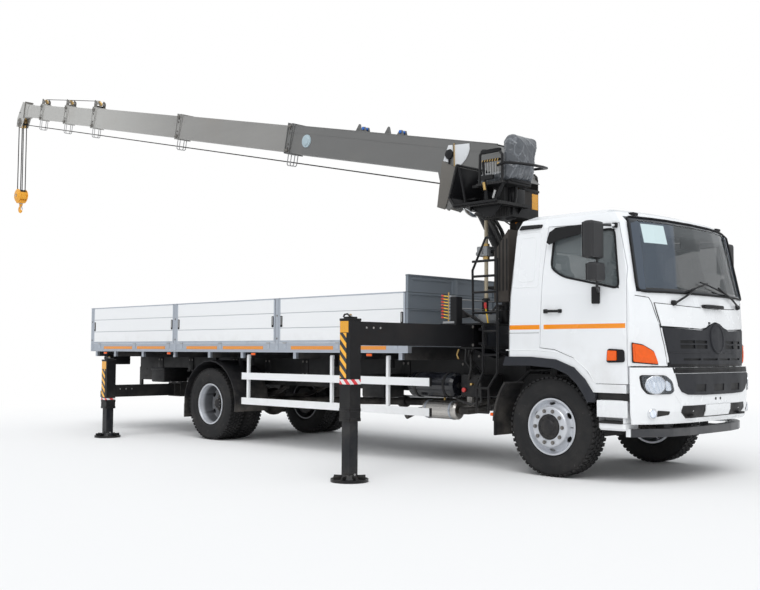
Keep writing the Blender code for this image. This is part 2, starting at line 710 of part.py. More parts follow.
def windscreen_outline(inset):
    """Front outline of the windscreen, as (y, z) points."""
    return [(-1.05 + inset, 1.925 + inset), (1.05 - inset, 1.925 + inset),
            (0.97 - inset, 2.635 - inset), (-0.97 + inset, 2.635 - inset)]


def arch_cut(side):
    """The wheel well cut out of the cab's side."""
    outline = [(-0.90, 0.40), (0.56, 0.40), (0.56, 0.88), (0.47, 1.02), (0.34, 1.14),
               (0.12, 1.22), (-0.20, 1.245), (-0.90, 1.245)]
    return plate(outline, side_pair(0.50, 1.40, side))


def cab_shell():
    """Hollow cab with openings for the doors, windscreen and rear window."""
    shell = cab_form(0.0)
    room = cab_form(CAB_WALL, bottom=CAB_FLOOR_TOP)
    under = box((-0.80, 0.94), (-1.14, 1.14), (0.60, CAB_FLOOR_BOTTOM))
    nose = box((0.93, 1.50), (-1.40, 1.40), (0.60, FRONT_PANEL_BOTTOM))
    front = plate(windscreen_outline(0), (0.70, 1.60), "X")
    back = plate([(-0.55, 2.03), (0.55, 2.03), (0.55, 2.45), (-0.55, 2.45)], (-0.80, -0.30), "X")
    arches = [arch_cut(side) for side in (-1, 1)]
    doors = [plate(door_outline(0), side_pair(1.0, 1.4, side)) for side in (-1, 1)]
    posts = []
    inner = CAB_ROWS[1][4] - CAB_WALL
    for side in (-1, 1):
        posts.append(box((0.81, 1.01), side_pair(inner - 0.09, inner - 0.037, side), (1.42, 1.58)))
        posts.append(box((0.81, 0.85), side_pair(inner - 0.05, inner - GAP, side), (1.43, 1.57)))
    return joined(cut(shell, room, under, nose, front, back, *arches, *doors), *posts)


def windscreen():
    """The bowed windscreen, seated in its opening."""
    pane = cut(cab_form(0.012), cab_form(0.020))
    return common(pane, plate(windscreen_outline(GAP), (0.70, 1.60), "X"))


def door(side):
    """A door cut from the cab's wall, with its window opening and its mirrors."""
    wall = cut(cab_form(0.0), cab_form(CAB_WALL, bottom=0.80))
    panel = common(wall, plate(door_outline(DOOR_GAP), side_pair(0.9, 1.4, side)))
    panel = cut(panel, plate(window_outline(0), side_pair(0.9, 1.4, side)))
    arm = tube([(0.62, side * 1.195, 1.90), (0.74, side * 1.41, 1.95), (0.75, side * 1.42, 2.56),
                (0.80, side * 1.150, 2.575)], 0.014)
    main = bevelled(box((0.655, 0.775), side_pair(1.32, 1.545, side), (2.225, 2.60)), 0.03, 2)
    wide = bevelled(box((0.690, 0.800), side_pair(1.335, 1.54, side), (2.00, 2.185)), 0.03, 2)
    return joined(panel, arm, main, wide)


def cab_interior():
    """Two seats and the dashboard with the steering wheel, on a floor plate."""
    base = box((-0.35, 0.80), (-0.90, 0.90), (CAB_FLOOR_TOP + GAP, CAB_FLOOR_TOP + 0.04))
    parts = []
    for y in (-0.58, 0.58):
        parts.append(bevelled(box((-0.22, 0.24), (y - 0.24, y + 0.24), (1.23, 1.62)), 0.05))
        parts.append(bevelled(box((-0.36, -0.20), (y - 0.24, y + 0.24), (1.50, 2.22)), 0.05))
    dash = [(0.62, 1.22), (0.92, 1.22), (0.92, 1.84), (0.78, 1.88), (0.60, 1.76), (0.58, 1.60)]
    parts.append(plate(dash, (-1.05, 1.05)))
    hub = Vector((0.40, 0.56, 1.80))
    turn = Matrix.Translation(hub) @ Matrix.Rotation(math.radians(-35), 4, "Y")
    ring = [(turn @ Vector((0.21 * math.cos(a), 0.21 * math.sin(a), 0)))
            for a in [math.radians(20 * step) for step in range(18)]]
    parts.append(tube(ring, 0.016, 1, closed=True))
    parts.append(tube([turn @ Vector((0, -0.21, 0)), turn @ Vector((0, 0.21, 0))], 0.016, 1))
    parts.append(tube([hub, (0.66, 0.56, 1.42)], 0.03, 1))
    return joined(base, *parts)


def bumper():
    """Front bumper with its wings, hollow behind, carried by two arms under the cab floor."""
    rows = ((BUMPER_BOTTOM, 0.995, 1.24, 1.190), (0.72, 0.995, 1.285, 1.21),
            (1.00, 0.995, 1.300, 1.215), (BUMPER_TOP, 0.995, 1.290, 1.215))
    bm = bmesh.new()
    loops = []
    for z, side_x, middle_x, half in rows:
        line = front_line(half, side_x, middle_x, 0.0, 0.02, 3.8)
        back = front_line(half - 0.055, side_x - 0.018, middle_x - 0.055, 0.0, 0.002, 3.8)
        loops.append([bm.verts.new((x, y, z)) for x, y in line + back[::-1]])
    for lower, upper in zip(loops, loops[1:]):
        count = len(lower)
        for index in range(count):
            after = (index + 1) % count
            bm.faces.new((lower[index], lower[after], upper[after], upper[index]))
    bm.faces.new(list(reversed(loops[0])))
    bm.faces.new(loops[-1])
    bmesh.ops.recalc_face_normals(bm, faces=bm.faces)
    shell = from_bmesh(bm)
    top = FRONT_PANEL_BOTTOM - GAP
    arm = [(TILT_X - 0.035, TILT_Z - 0.035), (TILT_X + 0.035, TILT_Z - 0.035), (1.25, 0.82),
           (1.25, top), (TILT_X - 0.035, top)]
    arms = [plate(arm, side_pair(0.36, 0.42, side)) for side in (-1, 1)]
    pins = [cylinder((TILT_X, side * 0.41, TILT_Z), (TILT_X, side * (TILT_Y - GAP), TILT_Z), 0.025)
            for side in (-1, 1)]
    return joined(shell, *arms, *pins)


def intake_duct():
    """Ribbed air intake behind the cab, seated on its rear wall."""
    outline = [(-0.80, 1.86), (-0.60, 1.86), (-0.60, 2.66), (-0.80, 2.42)]
    duct = plate(outline, (-1.08, -0.80))
    lower, upper = CAB_ROWS[3], CAB_ROWS[4]
    lean = (upper[1] - lower[1]) / (upper[0] - lower[0])
    foot = [(-0.62, 1.92), (lower[1] + lean * 0.02 - GAP, 1.92),
            (lower[1] + lean * 0.20 - GAP, 2.10), (-0.62, 2.10)]
    return joined(duct, plate(foot, (-1.00, -0.88)))


# ---- wheels ----
def tyre(y, side):
    """A tyre as a turned section, from bead to bead."""
    half, shoulder = TYRE_W / 2, TYRE_R
    profile = [(BEAD_R + GAP, BEAD_HALF - GAP), (0.302, BEAD_HALF - GAP), (0.315, half - 0.02),
               (0.40, half), (0.47, half - 0.008), (shoulder - 0.012, half - 0.022),
               (shoulder, half - 0.045)]
    profile += [(radius, -offset) for radius, offset in reversed(profile)]
    return turned(profile[::-1], (0, y, TYRE_R), side, 32)


def front_rim(y, side):
    """Wheel disc, rim, hub and brake drum of a front wheel."""
    profile = [(0, 0.125), (0.080, 0.125), (0.098, 0.110), (0.105, 0.052), (0.195, 0.052),
               (0.235, 0.020), (0.262, 0.020), (0.276, RIM_HALF), (RIM_R, RIM_HALF),
               (RIM_R, BEAD_HALF), (BEAD_R, BEAD_HALF), (BEAD_R, -BEAD_HALF),
               (RIM_R, -BEAD_HALF), (RIM_R, -RIM_HALF), (0.276, -RIM_HALF), (0.262, 0.004),
               (0.205, 0.004), (0.205, -0.118), (0, -0.118)]
    return turned(profile[::-1], (0, y, TYRE_R), side, 32)


def rear_wheels(side):
    """Twin tyres on their rims and hub, as one turned solid."""
    half, out, back = TYRE_W / 2, TWIN_STEP, -TWIN_STEP
    profile = [(0, 0.150), (0.095, 0.150), (0.105, 0.010), (0.235, 0.010), (0.255, 0.050),
               (0.276, out + RIM_HALF), (RIM_R, out + RIM_HALF), (0.315, out + half - 0.02),
               (0.40, out + half), (0.47, out + half - 0.008), (TYRE_R - 0.012, out + half - 0.022),
               (TYRE_R, out + half - 0.045), (TYRE_R, out - half + 0.045),
               (TYRE_R - 0.012, out - half + 0.022), (0.42, out - half + 0.006), (0.31, 0.020),
               (0.31, -0.020), (0.42, back + half - 0.006), (TYRE_R - 0.012, back + half - 0.022),
               (TYRE_R, back + half - 0.045), (TYRE_R, back - half + 0.045),
               (TYRE_R - 0.012, back - half + 0.022), (0.40, back - half),
               (0.315, back - half + 0.02), (RIM_R, back - RIM_HALF), (0.276, back - RIM_HALF),
               (0.262, -0.02), (0.205, -0.02), (0.205, back - 0.120), (0, back - 0.120)]
    return turned(profile[::-1], (-WHEELBASE, side * REAR_WHEEL_Y, TYRE_R), side, 32)


def knuckle(side):
    """Steering knuckle: a yoke over and under the axle's kingpin boss, with the hub flange."""
    pin = side * KINGPIN_Y
    flange_y = FRONT_WHEEL_Y - 0.118 - GAP
    flange = box((-0.07, 0.07), side_pair(flange_y - 0.035, flange_y, side),
                 (TYRE_R - 0.14, TYRE_R + 0.14))
    ears = [box((-0.05, 0.05), side_pair(KINGPIN_Y - 0.05, flange_y - 0.01, side),
                (TYRE_R + z0, TYRE_R + z1)) for z0, z1 in ((0.075 + GAP, 0.125), (-0.125, -0.075 - GAP))]
    hub = cylinder((0, side * (flange_y - 0.01), TYRE_R), (0, side * flange_y, TYRE_R), 0.08)
    made = joined(flange, *ears, hub)
    return made, (0, pin, TYRE_R)


# ---- crane ----
def boom_point(along, up, elevation=BOOM_ELEV):
    """A point in the boom's own axes, as (x, z)."""
    return (PIN_X - along * math.cos(elevation) + up * math.sin(elevation),
            PIN_Z + along * math.sin(elevation) + up * math.cos(elevation))


# name, start and end along the boom, depth, width
BOOM_ROWS = (
    ("boom_base", -0.14, 4.57, 0.430, 0.250),
    ("boom_section_2", 3.535, 7.685, 0.405, 0.225),
    ("boom_section_3", 6.66, 10.76, 0.380, 0.200),
    ("boom_section_4", 8.01, 11.95, 0.345, 0.175),
    ("boom_section_5", 9.21, 13.07, 0.305, 0.150),
    ("boom_section_6", 9.90, 13.85, 0.265, 0.125),
)


def boom_tube(start, end, depth, width, foot=0.0):
    """A hollow boom section with a collar round its outer end."""
    low, high = BOOM_AXIS_T - depth / 2, BOOM_AXIS_T + depth / 2
    half = width / 2
    side = [boom_point(start, low), boom_point(end, low), boom_point(end, high),
            boom_point(start + foot, high)]
    body = plate(side, (-half, half))
    ring = [boom_point(end - COLLAR_L, low - COLLAR), boom_point(end, low - COLLAR),
            boom_point(end, high + COLLAR), boom_point(end - COLLAR_L - 0.04, high + COLLAR)]
    collar = plate(ring, (-half - 0.010, half + 0.010))
    return joined(body, collar)


def boom_bore(start, end, depth, width):
    """The hollow inside a boom section."""
    low, high = BOOM_AXIS_T - depth / 2 + BOOM_WALL, BOOM_AXIS_T + depth / 2 - BOOM_WALL
    half = width / 2 - BOOM_WALL
    side = [boom_point(start, low), boom_point(end, low), boom_point(end, high),
            boom_point(start, high)]
    return plate(side, (-half, half))


def boom_base():
    """Base section with its foot and the lift cylinder's side plates."""
    _, start, end, depth, width = BOOM_ROWS[0]
    body = boom_tube(start, end, depth, width, foot=0.59)
    low = BOOM_AXIS_T - depth / 2
    ear = [boom_point(0.69, low + 0.03), boom_point(1.36, low + 0.03), boom_point(1.11, -0.52),
           boom_point(1.05, -0.545), boom_point(0.99, -0.48), boom_point(0.94, -0.33),
           boom_point(0.84, -0.325), boom_point(0.75, -0.28)]
    half = width / 2
    ears = [plate(ear, side_pair(half - 0.025, half - 0.001, side)) for side in (-1, 1)]
    lugs = []
    for along in (2.45, 3.05):
        s = [boom_point(along, low + depth - 0.01), boom_point(along + 0.12, low + depth - 0.01),
             boom_point(along + 0.06, low + depth + 0.11)]
        lugs.append(plate(s, (-0.02, 0.02)))
    foot = half + RUN - GAP
    boss = cylinder((PIN_X, -foot, PIN_Z), (PIN_X, foot, PIN_Z), 0.055, 20)
    solid = joined(body, *ears, *lugs, boss)
    return cut(solid, boom_bore(0.42, end + 0.1, depth, width))


def shoe_ring(index):
    """Wear pads round the inner end of a section, which fit the bore of the section before."""
    _, start, _, _, _ = BOOM_ROWS[index]
    _, _, _, depth, width = BOOM_ROWS[index - 1]
    depth, width = depth - 2 * (BOOM_WALL + GAP), width - 2 * (BOOM_WALL + GAP)
    low, high = BOOM_AXIS_T - depth / 2, BOOM_AXIS_T + depth / 2
    ring = [boom_point(start + 0.02, low), boom_point(start + 0.16, low),
            boom_point(start + 0.16, high), boom_point(start + 0.02, high)]
    return plate(ring, (-width / 2, width / 2))


def boom_section(index):
    """A hollow sliding section."""
    _, start, end, depth, width = BOOM_ROWS[index]
    solid = joined(boom_tube(start, end, depth, width), shoe_ring(index))
    return cut(solid, boom_bore(start - 0.1, end + 0.1, depth, width))


def boom_tip():
    """The last section, with the head plates and sheave that carry the hook."""
    _, start, end, depth, width = BOOM_ROWS[-1]
    body = boom_tube(start, end, depth, width)
    low, high = BOOM_AXIS_T - depth / 2, BOOM_AXIS_T + depth / 2
    cheek = [boom_point(end - 0.05, high + 0.03), boom_point(end + 0.12, high + 0.05),
             boom_point(end + 0.30, HEAD_T + 0.10), boom_point(end + 0.30, HEAD_T - 0.10),
             boom_point(end + 0.05, HEAD_T - 0.10), boom_point(end - 0.05, low + 0.013)]
    half = width / 2 + 0.018
    cheeks = [plate(cheek, side_pair(half - 0.014, half, side)) for side in (-1, 1)]
    x, z = boom_point(HEAD_S, HEAD_T)
    sheave = cylinder((x, -half + 0.010, z), (x, half - 0.010, z), SHEAVE_R, 24)
    bore = boom_bore(start - 0.1, end - 0.2, depth, width)
    return joined(cut(joined(body, shoe_ring(5)), bore), *cheeks, sheave)


SHEAVE_R = 0.095


def hook_block():
    """Sheave block and hook hanging on four falls of rope from the head sheave."""
    x, z = boom_point(HEAD_S, HEAD_T)
    top = z - HOOK_DROP
    shell = bevelled(box((x - 0.16, x + 0.16), (-0.075, 0.075), (top - 0.30, top)), 0.04, 2)
    reach = SHEAVE_R + 0.009 + GAP
    falls = [cylinder((x + way * FALL_X, dy, top - 0.05), (x + way * reach, dy, z), 0.009, 8)
             for way in (-1, 1) for dy in (-0.035, 0.035)]
    shank = cylinder((x, 0, top - 0.38), (x, 0, top - 0.28), 0.035)
    bend = arc((x, top - 0.43), 0.085, 90, 330, 9)
    hook = tube([(x, 0, top - 0.33)] + [(px, 0, pz) for px, pz in bend], 0.026)
    return joined(shell, *falls, shank, hook)


FALL_X = 0.115
HOOK_DROP = 1.48                # from the head sheave's pin to the top of the block


def column():
    """Slewing post with the cheeks for the boom foot and the lugs for the lift cylinder."""
    flange = cylinder((SLEW_X, 0, SLEW_Z + GAP), (SLEW_X, 0, SLEW_Z + 0.07), 0.27, 32)
    half = BOOM_ROWS[0][4] / 2 + RUN + 0.016
    lower = box((-1.35, -1.10), (-half + 0.001, half - 0.001), (SLEW_Z + 0.05, 2.52))
    upper = box((-1.29, -1.075), (-half, half), (2.48, 3.26))
    cheek = [(-1.29, 3.10), (-1.075, 3.10), (-1.075, 3.42), (-1.12, 3.50), (-1.25, 3.50),
             (-1.29, 3.44)]
    cheeks = [plate(cheek, side_pair(half - 0.016, half, side)) for side in (-1, 1)]
    lug = [(-1.20, 2.25), (-1.20, 2.50), (-1.40, 2.51), (-1.51, 2.48), (-1.54, 2.40), (-1.46, 2.32)]
    lugs = [plate(lug, side_pair(0.096, 0.118, side)) for side in (-1, 1)]
    pins = [cylinder((PIN_X, side * (half - 0.01), PIN_Z), (PIN_X, side * (half + 0.03), PIN_Z), 0.06)
            for side in (-1, 1)]
    return joined(flange, lower, upper, *cheeks, *lugs, *pins)


def winch():
    """Hoist winch on the left of the column."""
    y0 = BOOM_ROWS[0][4] / 2 + RUN + 0.016 + GAP
    x, z = -1.20, 2.58
    drum = cylinder((x, y0, z), (x, 0.50, z), 0.105, 20)
    ends = [cylinder((x, y, z), (x, y + 0.02, z), 0.155, 20) for y in (y0 + 0.001, 0.40)]
    return joined(drum, *ends)


def lift_barrel():
    """Barrel of the lift cylinder, with the eye on its lower pin."""
    low, top = Vector((CYL_X, 0, CYL_Z)), Vector((CYL_TOP[0], 0, CYL_TOP[1]))
    way = (top - low).normalized()
    eye = cylinder((CYL_X, -0.0957, CYL_Z), (CYL_X, 0.0957, CYL_Z), 0.075, 20)
    body = cylinder(low + way * 0.04, low + way * BARREL_L, CYL_R, 20)
    bore = cylinder(low + way * 0.085, low + way * (BARREL_L + 0.1), ROD_R + 2 * GAP, 16)
    return cut(joined(eye, body), bore)


BARREL_L = 0.90


def lift_rod():
    """Chromed rod of the lift cylinder, with the eye at the boom."""
    low, top = Vector((CYL_X, 0, CYL_Z)), Vector((CYL_TOP[0], 0, CYL_TOP[1]))
    way = (top - low).normalized()
    rod = cylinder(low + way * 0.24, top, ROD_R, 16)
    half = BOOM_ROWS[0][4] / 2 - 0.025 - GAP
    eye = cylinder((CYL_TOP[0], -half, CYL_TOP[1]), (CYL_TOP[0], half, CYL_TOP[1]), 0.075, 20)
    return joined(rod, eye)


PAN_TOP = 3.25                  # plate under the operator's seat
FOOT_X = -1.48                  # front edge of the operator's foot plate


def operator_platform():
    """Foot platform, guard rails and seat bracket on the right of the column."""
    y0 = -(BOOM_ROWS[0][4] / 2 + RUN + 0.016 + GAP)
    arm = box((-1.26, -0.90), (-0.68, y0), (2.88, 3.00))
    floor = box((FOOT_X, -0.80), (-0.98, -0.40), (2.985, 3.02))
    rails = [tube([(FOOT_X, y, 3.01), (FOOT_X - 0.08, y, 3.12), (FOOT_X + 0.04, y, 3.50)], 0.016)
             for y in (-0.97, -0.42)]
    bar = tube([(FOOT_X + 0.04, -0.97, 3.50), (FOOT_X + 0.04, -0.42, 3.50)], 0.016)
    post = box((-1.08, -0.92), (-0.74, -0.58), (3.00, 3.24))
    pan = box((-1.28, -0.74), (-0.88, -0.46), (PAN_TOP - 0.03, PAN_TOP))
    hoop = tube([(-1.13, -0.93, 3.24), (-1.12, -0.93, 3.58), (-1.08, -0.93, 3.63),
                 (-0.84, -0.93, 3.60), (-0.80, -0.93, 3.55), (-0.80, -0.93, 3.24)], 0.016)
    feet = box((-1.17, -0.77), (-0.945, -0.86), (PAN_TOP - 0.028, PAN_TOP - 0.002))
    return joined(arm, floor, *rails, bar, post, pan, hoop, feet)


def operator_seat():
    """Cushion and back of the operator's seat, which faces along the boom."""
    cushion = bevelled(box((-1.26, -0.84), (-0.87, -0.47), (PAN_TOP + GAP, PAN_TOP + 0.15)), 0.04)
    low = PAN_TOP + 0.02
    rest = [(-0.94, low), (-0.74, low), (-0.68, low + 0.10), (-0.62, low + 0.47),
            (-0.67, low + 0.57), (-0.80, low + 0.56)]
    return joined(cushion, bevelled(plate(rest, (-0.885, -0.445)), 0.03))


# ---- assembly ----
def build_wheels():
    """Wheels and knuckles, mirrored to both sides."""
    for side, label in ((-1, "right"), (1, "left")):
        yoke, kingpin = knuckle(side)
        hub = (0, side * FRONT_WHEEL_Y, TYRE_R)
        node("steering_knuckle_" + label, yoke, DARK, kingpin)
        node("front_rim_" + label, front_rim(hub[1], side), STEEL, hub, 0.35, 0.6)
        node("front_tyre_" + label, tyre(hub[1], side), RUBBER, hub, 0.9)
        rear_hub = (-WHEELBASE, side * REAR_WHEEL_Y, TYRE_R)
        node("rear_wheels_" + label, rear_wheels(side), RUBBER, rear_hub, 0.9)


def build_chassis():
    """Everything fixed to the frame."""
    node("chassis_frame", chassis_frame(), DARK)
    node("front_axle", front_axle(), DARK)
    node("rear_axle", rear_axle(), DARK)
    node("engine_block", engine_block(), DARK)
    node("front_valance", front_valance(), WHITE)
    node("front_mudguards", front_mudguards(), DARK)
    node("rear_mudguards", rear_mudguards(), BLACK)
    node("side_guards", side_guards(), WHITE)
    node("air_tank", air_tank(), BLACK)
    node("muffler", muffler(), STEEL, rough=0.35, metal=0.8)
    node("fuel_tank", fuel_tank(), BLACK)
    node("crane_base", crane_base(), BLACK)
    node("rear_outrigger_box", rear_outrigger_box(), BLACK)
    node("ladder", ladder(), BLACK)


def build_bed():
    """Flatbed with its headboard and drop sides."""
    node("bed_floor", bed_floor(), SILVER, metal=0.5)
    node("headboard", headboard(), DARK)
    hinge_z = DECK_TOP
    for side, label in ((-1, "right"), (1, "left")):
        for place, xs in gate_spans():
            hinge = (xs[0], side * (BED_HALF + HINGE_OUT), hinge_z)
            node("side_gate_" + label + "_" + place, side_gate(side, xs), WHITE, hinge)
    node("tailgate", tailgate(), WHITE, (BED_REAR - HINGE_OUT, 0, hinge_z))


def build_outriggers():
    """Four sliding beams, each with its jack."""
    rows = (  # label, side, x, leg y, inner end y, half width, beam z, leg z, inner leg top
        ("front_right", -1, BEAM_R_X, FRONT_LEG_Y, 0.67, BEAM_HALF, BEAM_Z, (0.60, 1.62), 1.10),
        ("front_left", 1, BEAM_L_X, FRONT_LEG_Y, 0.67, BEAM_HALF, BEAM_Z, (0.60, 1.62), 1.10),
        ("rear_right", -1, REAR_BEAM_R_X, REAR_LEG_Y, 0.60, REAR_BEAM_HALF, REAR_BEAM_Z,
         (0.43, 1.15), 0.68),
        ("rear_left", 1, REAR_BEAM_L_X, REAR_LEG_Y, 0.60, REAR_BEAM_HALF, REAR_BEAM_Z,
         (0.43, 1.15), 0.68),
    )
    for label, side, x, leg_y, inner_y, half, beam_z, leg_z, leg_top in rows:
        pivot = (x, side * leg_y, leg_z[0])
        beam = outrigger_beam(side, x, leg_y, inner_y, half, beam_z, leg_z)
        node("outrigger_beam_" + label, beam, BLACK, pivot)
        node("jack_leg_" + label, jack_leg(side, x, leg_y, leg_top), BLACK, pivot)


def build_cab():
    """Tilting cab with its doors."""
    tilt = (TILT_X, 0, TILT_Z)
    node("cab_shell", cab_shell(), WHITE, tilt, 0.3)
    node("windscreen", windscreen(), GLASS, tilt, 0.1)
    node("cab_interior", cab_interior(), DARK, tilt, 0.8)
    node("bumper", bumper(), WHITE, tilt, 0.3)
    node("intake_duct", intake_duct(), DARK, tilt)
    for side, label in ((-1, "right"), (1, "left")):
        node("door_" + label, door(side), WHITE, (DOOR_HINGE_X, side * DOOR_HINGE_Y, 1.5), 0.3)


DOOR_HINGE_X, DOOR_HINGE_Y = 0.922, 1.214


def build_crane():
    """Column, boom, lift cylinder, hook and the operator's place."""
    pin = (PIN_X, 0, PIN_Z)
    slew = (SLEW_X, 0, SLEW_Z)
    node("column", column(), DARK, slew)
    node("winch", winch(), DARK, slew)
    node("operator_platform", operator_platform(), BLACK, slew)
    node("operator_seat", operator_seat(), DARK, slew, 0.9)
    node("boom_base", boom_base(), BOOM_GREY, pin)
    for index in range(1, 5):
        node(BOOM_ROWS[index][0], boom_section(index), BOOM_GREY, pin)
    node("boom_section_6", boom_tip(), BOOM_GREY, pin)
    node("lift_cylinder_barrel", lift_barrel(), BLACK, (CYL_X, 0, CYL_Z))
    node("lift_cylinder_rod", lift_rod(), STEEL, (CYL_X, 0, CYL_Z), 0.15, 0.9)
    head = boom_point(HEAD_S, HEAD_T)
    node("hook_block", hook_block(), YELLOW, (head[0], 0, head[1]))


def centre_origin():
    """Move the truck so that the origin is under the middle of its bounding box."""
    bpy.context.view_layer.update()
    xs = [(item.matrix_world @ vert.co).x for item in PARTS.objects if item.type == "MESH"
          for vert in item.data.vertices]
    ys = [(item.matrix_world @ vert.co).y for item in PARTS.objects if item.type == "MESH"
          for vert in item.data.vertices]
    HOLDER.location = (-(min(xs) + max(xs)) / 2, -(min(ys) + max(ys)) / 2, 0)


def main():
    """Build every piece."""
    build_chassis()
    build_bed()
    build_outriggers()
    build_wheels()
    build_cab()
    build_crane()
    centre_origin()


main()
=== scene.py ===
import json
import math

import bmesh
import bpy
from bpy.props import FloatProperty, FloatVectorProperty, IntProperty, PointerProperty
from mathutils import Matrix, Vector


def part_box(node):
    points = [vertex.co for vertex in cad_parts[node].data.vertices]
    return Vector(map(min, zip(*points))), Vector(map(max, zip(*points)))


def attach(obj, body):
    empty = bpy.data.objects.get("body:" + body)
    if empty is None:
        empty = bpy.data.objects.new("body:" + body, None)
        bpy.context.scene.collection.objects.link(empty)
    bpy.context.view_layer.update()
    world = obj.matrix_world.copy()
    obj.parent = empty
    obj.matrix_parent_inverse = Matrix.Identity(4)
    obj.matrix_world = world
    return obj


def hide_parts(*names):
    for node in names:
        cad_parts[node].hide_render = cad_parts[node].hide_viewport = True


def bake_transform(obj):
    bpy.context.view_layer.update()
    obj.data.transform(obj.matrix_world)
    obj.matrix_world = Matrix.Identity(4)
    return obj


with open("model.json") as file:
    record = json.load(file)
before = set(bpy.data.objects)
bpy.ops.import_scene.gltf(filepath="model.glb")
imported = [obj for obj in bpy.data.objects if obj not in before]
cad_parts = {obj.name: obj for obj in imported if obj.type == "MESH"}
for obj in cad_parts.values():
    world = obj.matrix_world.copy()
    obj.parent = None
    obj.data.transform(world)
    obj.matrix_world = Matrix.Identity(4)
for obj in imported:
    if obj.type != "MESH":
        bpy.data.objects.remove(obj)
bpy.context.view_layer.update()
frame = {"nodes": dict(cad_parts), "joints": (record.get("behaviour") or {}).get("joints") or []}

bl_info = {
    "name": "Flatbed crane truck finish", "version": (1, 0, 0), "blender": (4, 5, 0),
    "location": "View3D > Sidebar > Crane truck",
    "description": "Finishes and fine pieces for a flatbed truck with a telescopic crane",
    "category": "Object", }

JOINTS = {joint["name"]: joint for joint in frame["joints"]}
FRONT_AXLE = JOINTS["steer_right"]["pos_m"][0]      # every x below is measured from here
NODES = frame["nodes"]


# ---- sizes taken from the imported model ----
def limits(node):
    """A node's limits along each axis, with x measured from the front axle."""
    low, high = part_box(node)
    return ((low.x - FRONT_AXLE, high.x - FRONT_AXLE), (low.y, high.y), (low.z, high.z))


TYRE_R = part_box("front_tyre_right")[1].z / 2
WHEELBASE = FRONT_AXLE - JOINTS["rear_wheel_right_spin"]["pos_m"][0]
FRONT_WHEEL_Y = abs(sum(limits("front_tyre_right")[1])) / 2
REAR_WHEEL_Y = abs(JOINTS["rear_wheel_right_spin"]["pos_m"][1])
TWIN_STEP = 0.16
(BED_REAR, BED_FRONT), (_, BED_HALF), (_, GATE_TOP) = limits("bed_floor")
BED_FLOOR_TOP = JOINTS["gate_right_front_fold"]["pos_m"][2]
PIN = Vector((JOINTS["boom_luff"]["pos_m"][0] - FRONT_AXLE, 0, JOINTS["boom_luff"]["pos_m"][2]))
BOOM_WAY = Vector(JOINTS["boom_extend_2"]["axis"])
BOOM_WAY = BOOM_WAY if BOOM_WAY.x < 0 else -BOOM_WAY
BOOM_UP = Vector((-BOOM_WAY.z, 0, BOOM_WAY.x)) * -1.0
BOOM_AXIS = 0.157                                   # centre line above the foot pin
# start and end along the boom, depth, width
SECTIONS = ((-0.14, 4.57, 0.43, 0.25), (3.535, 7.685, 0.405, 0.225), (6.66, 10.76, 0.38, 0.2),
            (8.01, 11.95, 0.345, 0.175), (9.21, 13.07, 0.305, 0.15), (9.9, 13.85, 0.265, 0.125), )
HEAD = (14.02, -0.12)                               # head sheave, along and up
# height, side x, middle x, half width of the cab's front; then the same for the bumper
CAB_FRONT = ((0.9, 0.985, 1.27, 1.205), (1.25, 1.0, 1.29, 1.22), (1.6, 1.01, 1.27, 1.22),
             (1.9, 1.0, 1.215, 1.215), (2.62, 0.87, 1.04, 1.155), (2.72, 0.79, 0.94, 1.11),
             (2.77, 0.64, 0.78, 1.0))
BUMPER_FRONT = ((0.6, 0.995, 1.24, 1.19), (0.72, 0.995, 1.285, 1.21), (1.0, 0.995, 1.3, 1.215),
                (1.155, 0.995, 1.29, 1.215))
CUT_XS = (0.9, 1.5)                                 # reach of a cutter through the front
FRONT_STEPS = (-1, -0.86, -0.66, -0.42, 0, 0.42, 0.66, 0.86, 1)
SCREEN_LOW, SCREEN_TOP = 1.905, 2.672               # the windscreen's glass, then its half widths
SCREEN_WIDE, SCREEN_NARROW = 1.142, 1.082
GATE_SEAM, GATE_PLANK = 1.4103, 0.20057             # height of a seam, and from seam to seam
REAR_WALL, REAR_SLOPE = -0.51, 0.055 / 0.72         # the cab's rear wall at a height of 1.9
HOOK_DROP = 1.48                                    # from the head's sheave to the hook block
DOOR_WINDOW = ((0.07, 2.53), (0.79, 2.545), (0.865, 1.935), (0.2, 2.085), (0.045, 2.18))


def row_at(rows, z):
    """One row of a front table, worked out at a height between its rows."""
    z = min(max(z, rows[0][0]), rows[-1][0])
    for lower, upper in zip(rows, rows[1:]):
        if z <= upper[0]:
            share = (z - lower[0]) / (upper[0] - lower[0])
            return [a + share * (b - a) for a, b in zip(lower, upper)]
    return list(rows[-1])


def cab_x(y, z):
    """How far forward the cab's front is at a height and distance from the middle."""
    _, side, middle, half = row_at(CAB_FRONT, z)
    return front_x(y, side, middle, half - 0.035, 2.4)


def bumper_x(y, z):
    """How far forward the bumper is."""
    _, side, middle, half = row_at(BUMPER_FRONT, z)
    return front_x(y, side, middle, half - 0.007, 3.8)


def front_x(y, side, middle, reach, full):
    """The bowed front line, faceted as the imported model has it."""
    along = min(abs(y) / reach, 1.0)
    knots = [step for step in FRONT_STEPS if step >= 0]
    for near, far in zip(knots, knots[1:]):
        if along <= far:
            first, last = (side + (middle - side) * (1 - knot ** full) for knot in (near, far))
            return first + (last - first) * (along - near) / (far - near)
    return side


def cab_half(z):
    """Half width of the cab at a height."""
    return row_at(CAB_FRONT, z)[3]


def along_boom(along, up, across=0.0):
    """A point given along the boom from its foot pin, above the pin's line, and across."""
    return PIN + BOOM_WAY * along + BOOM_UP * up + Vector((0, across, 0))


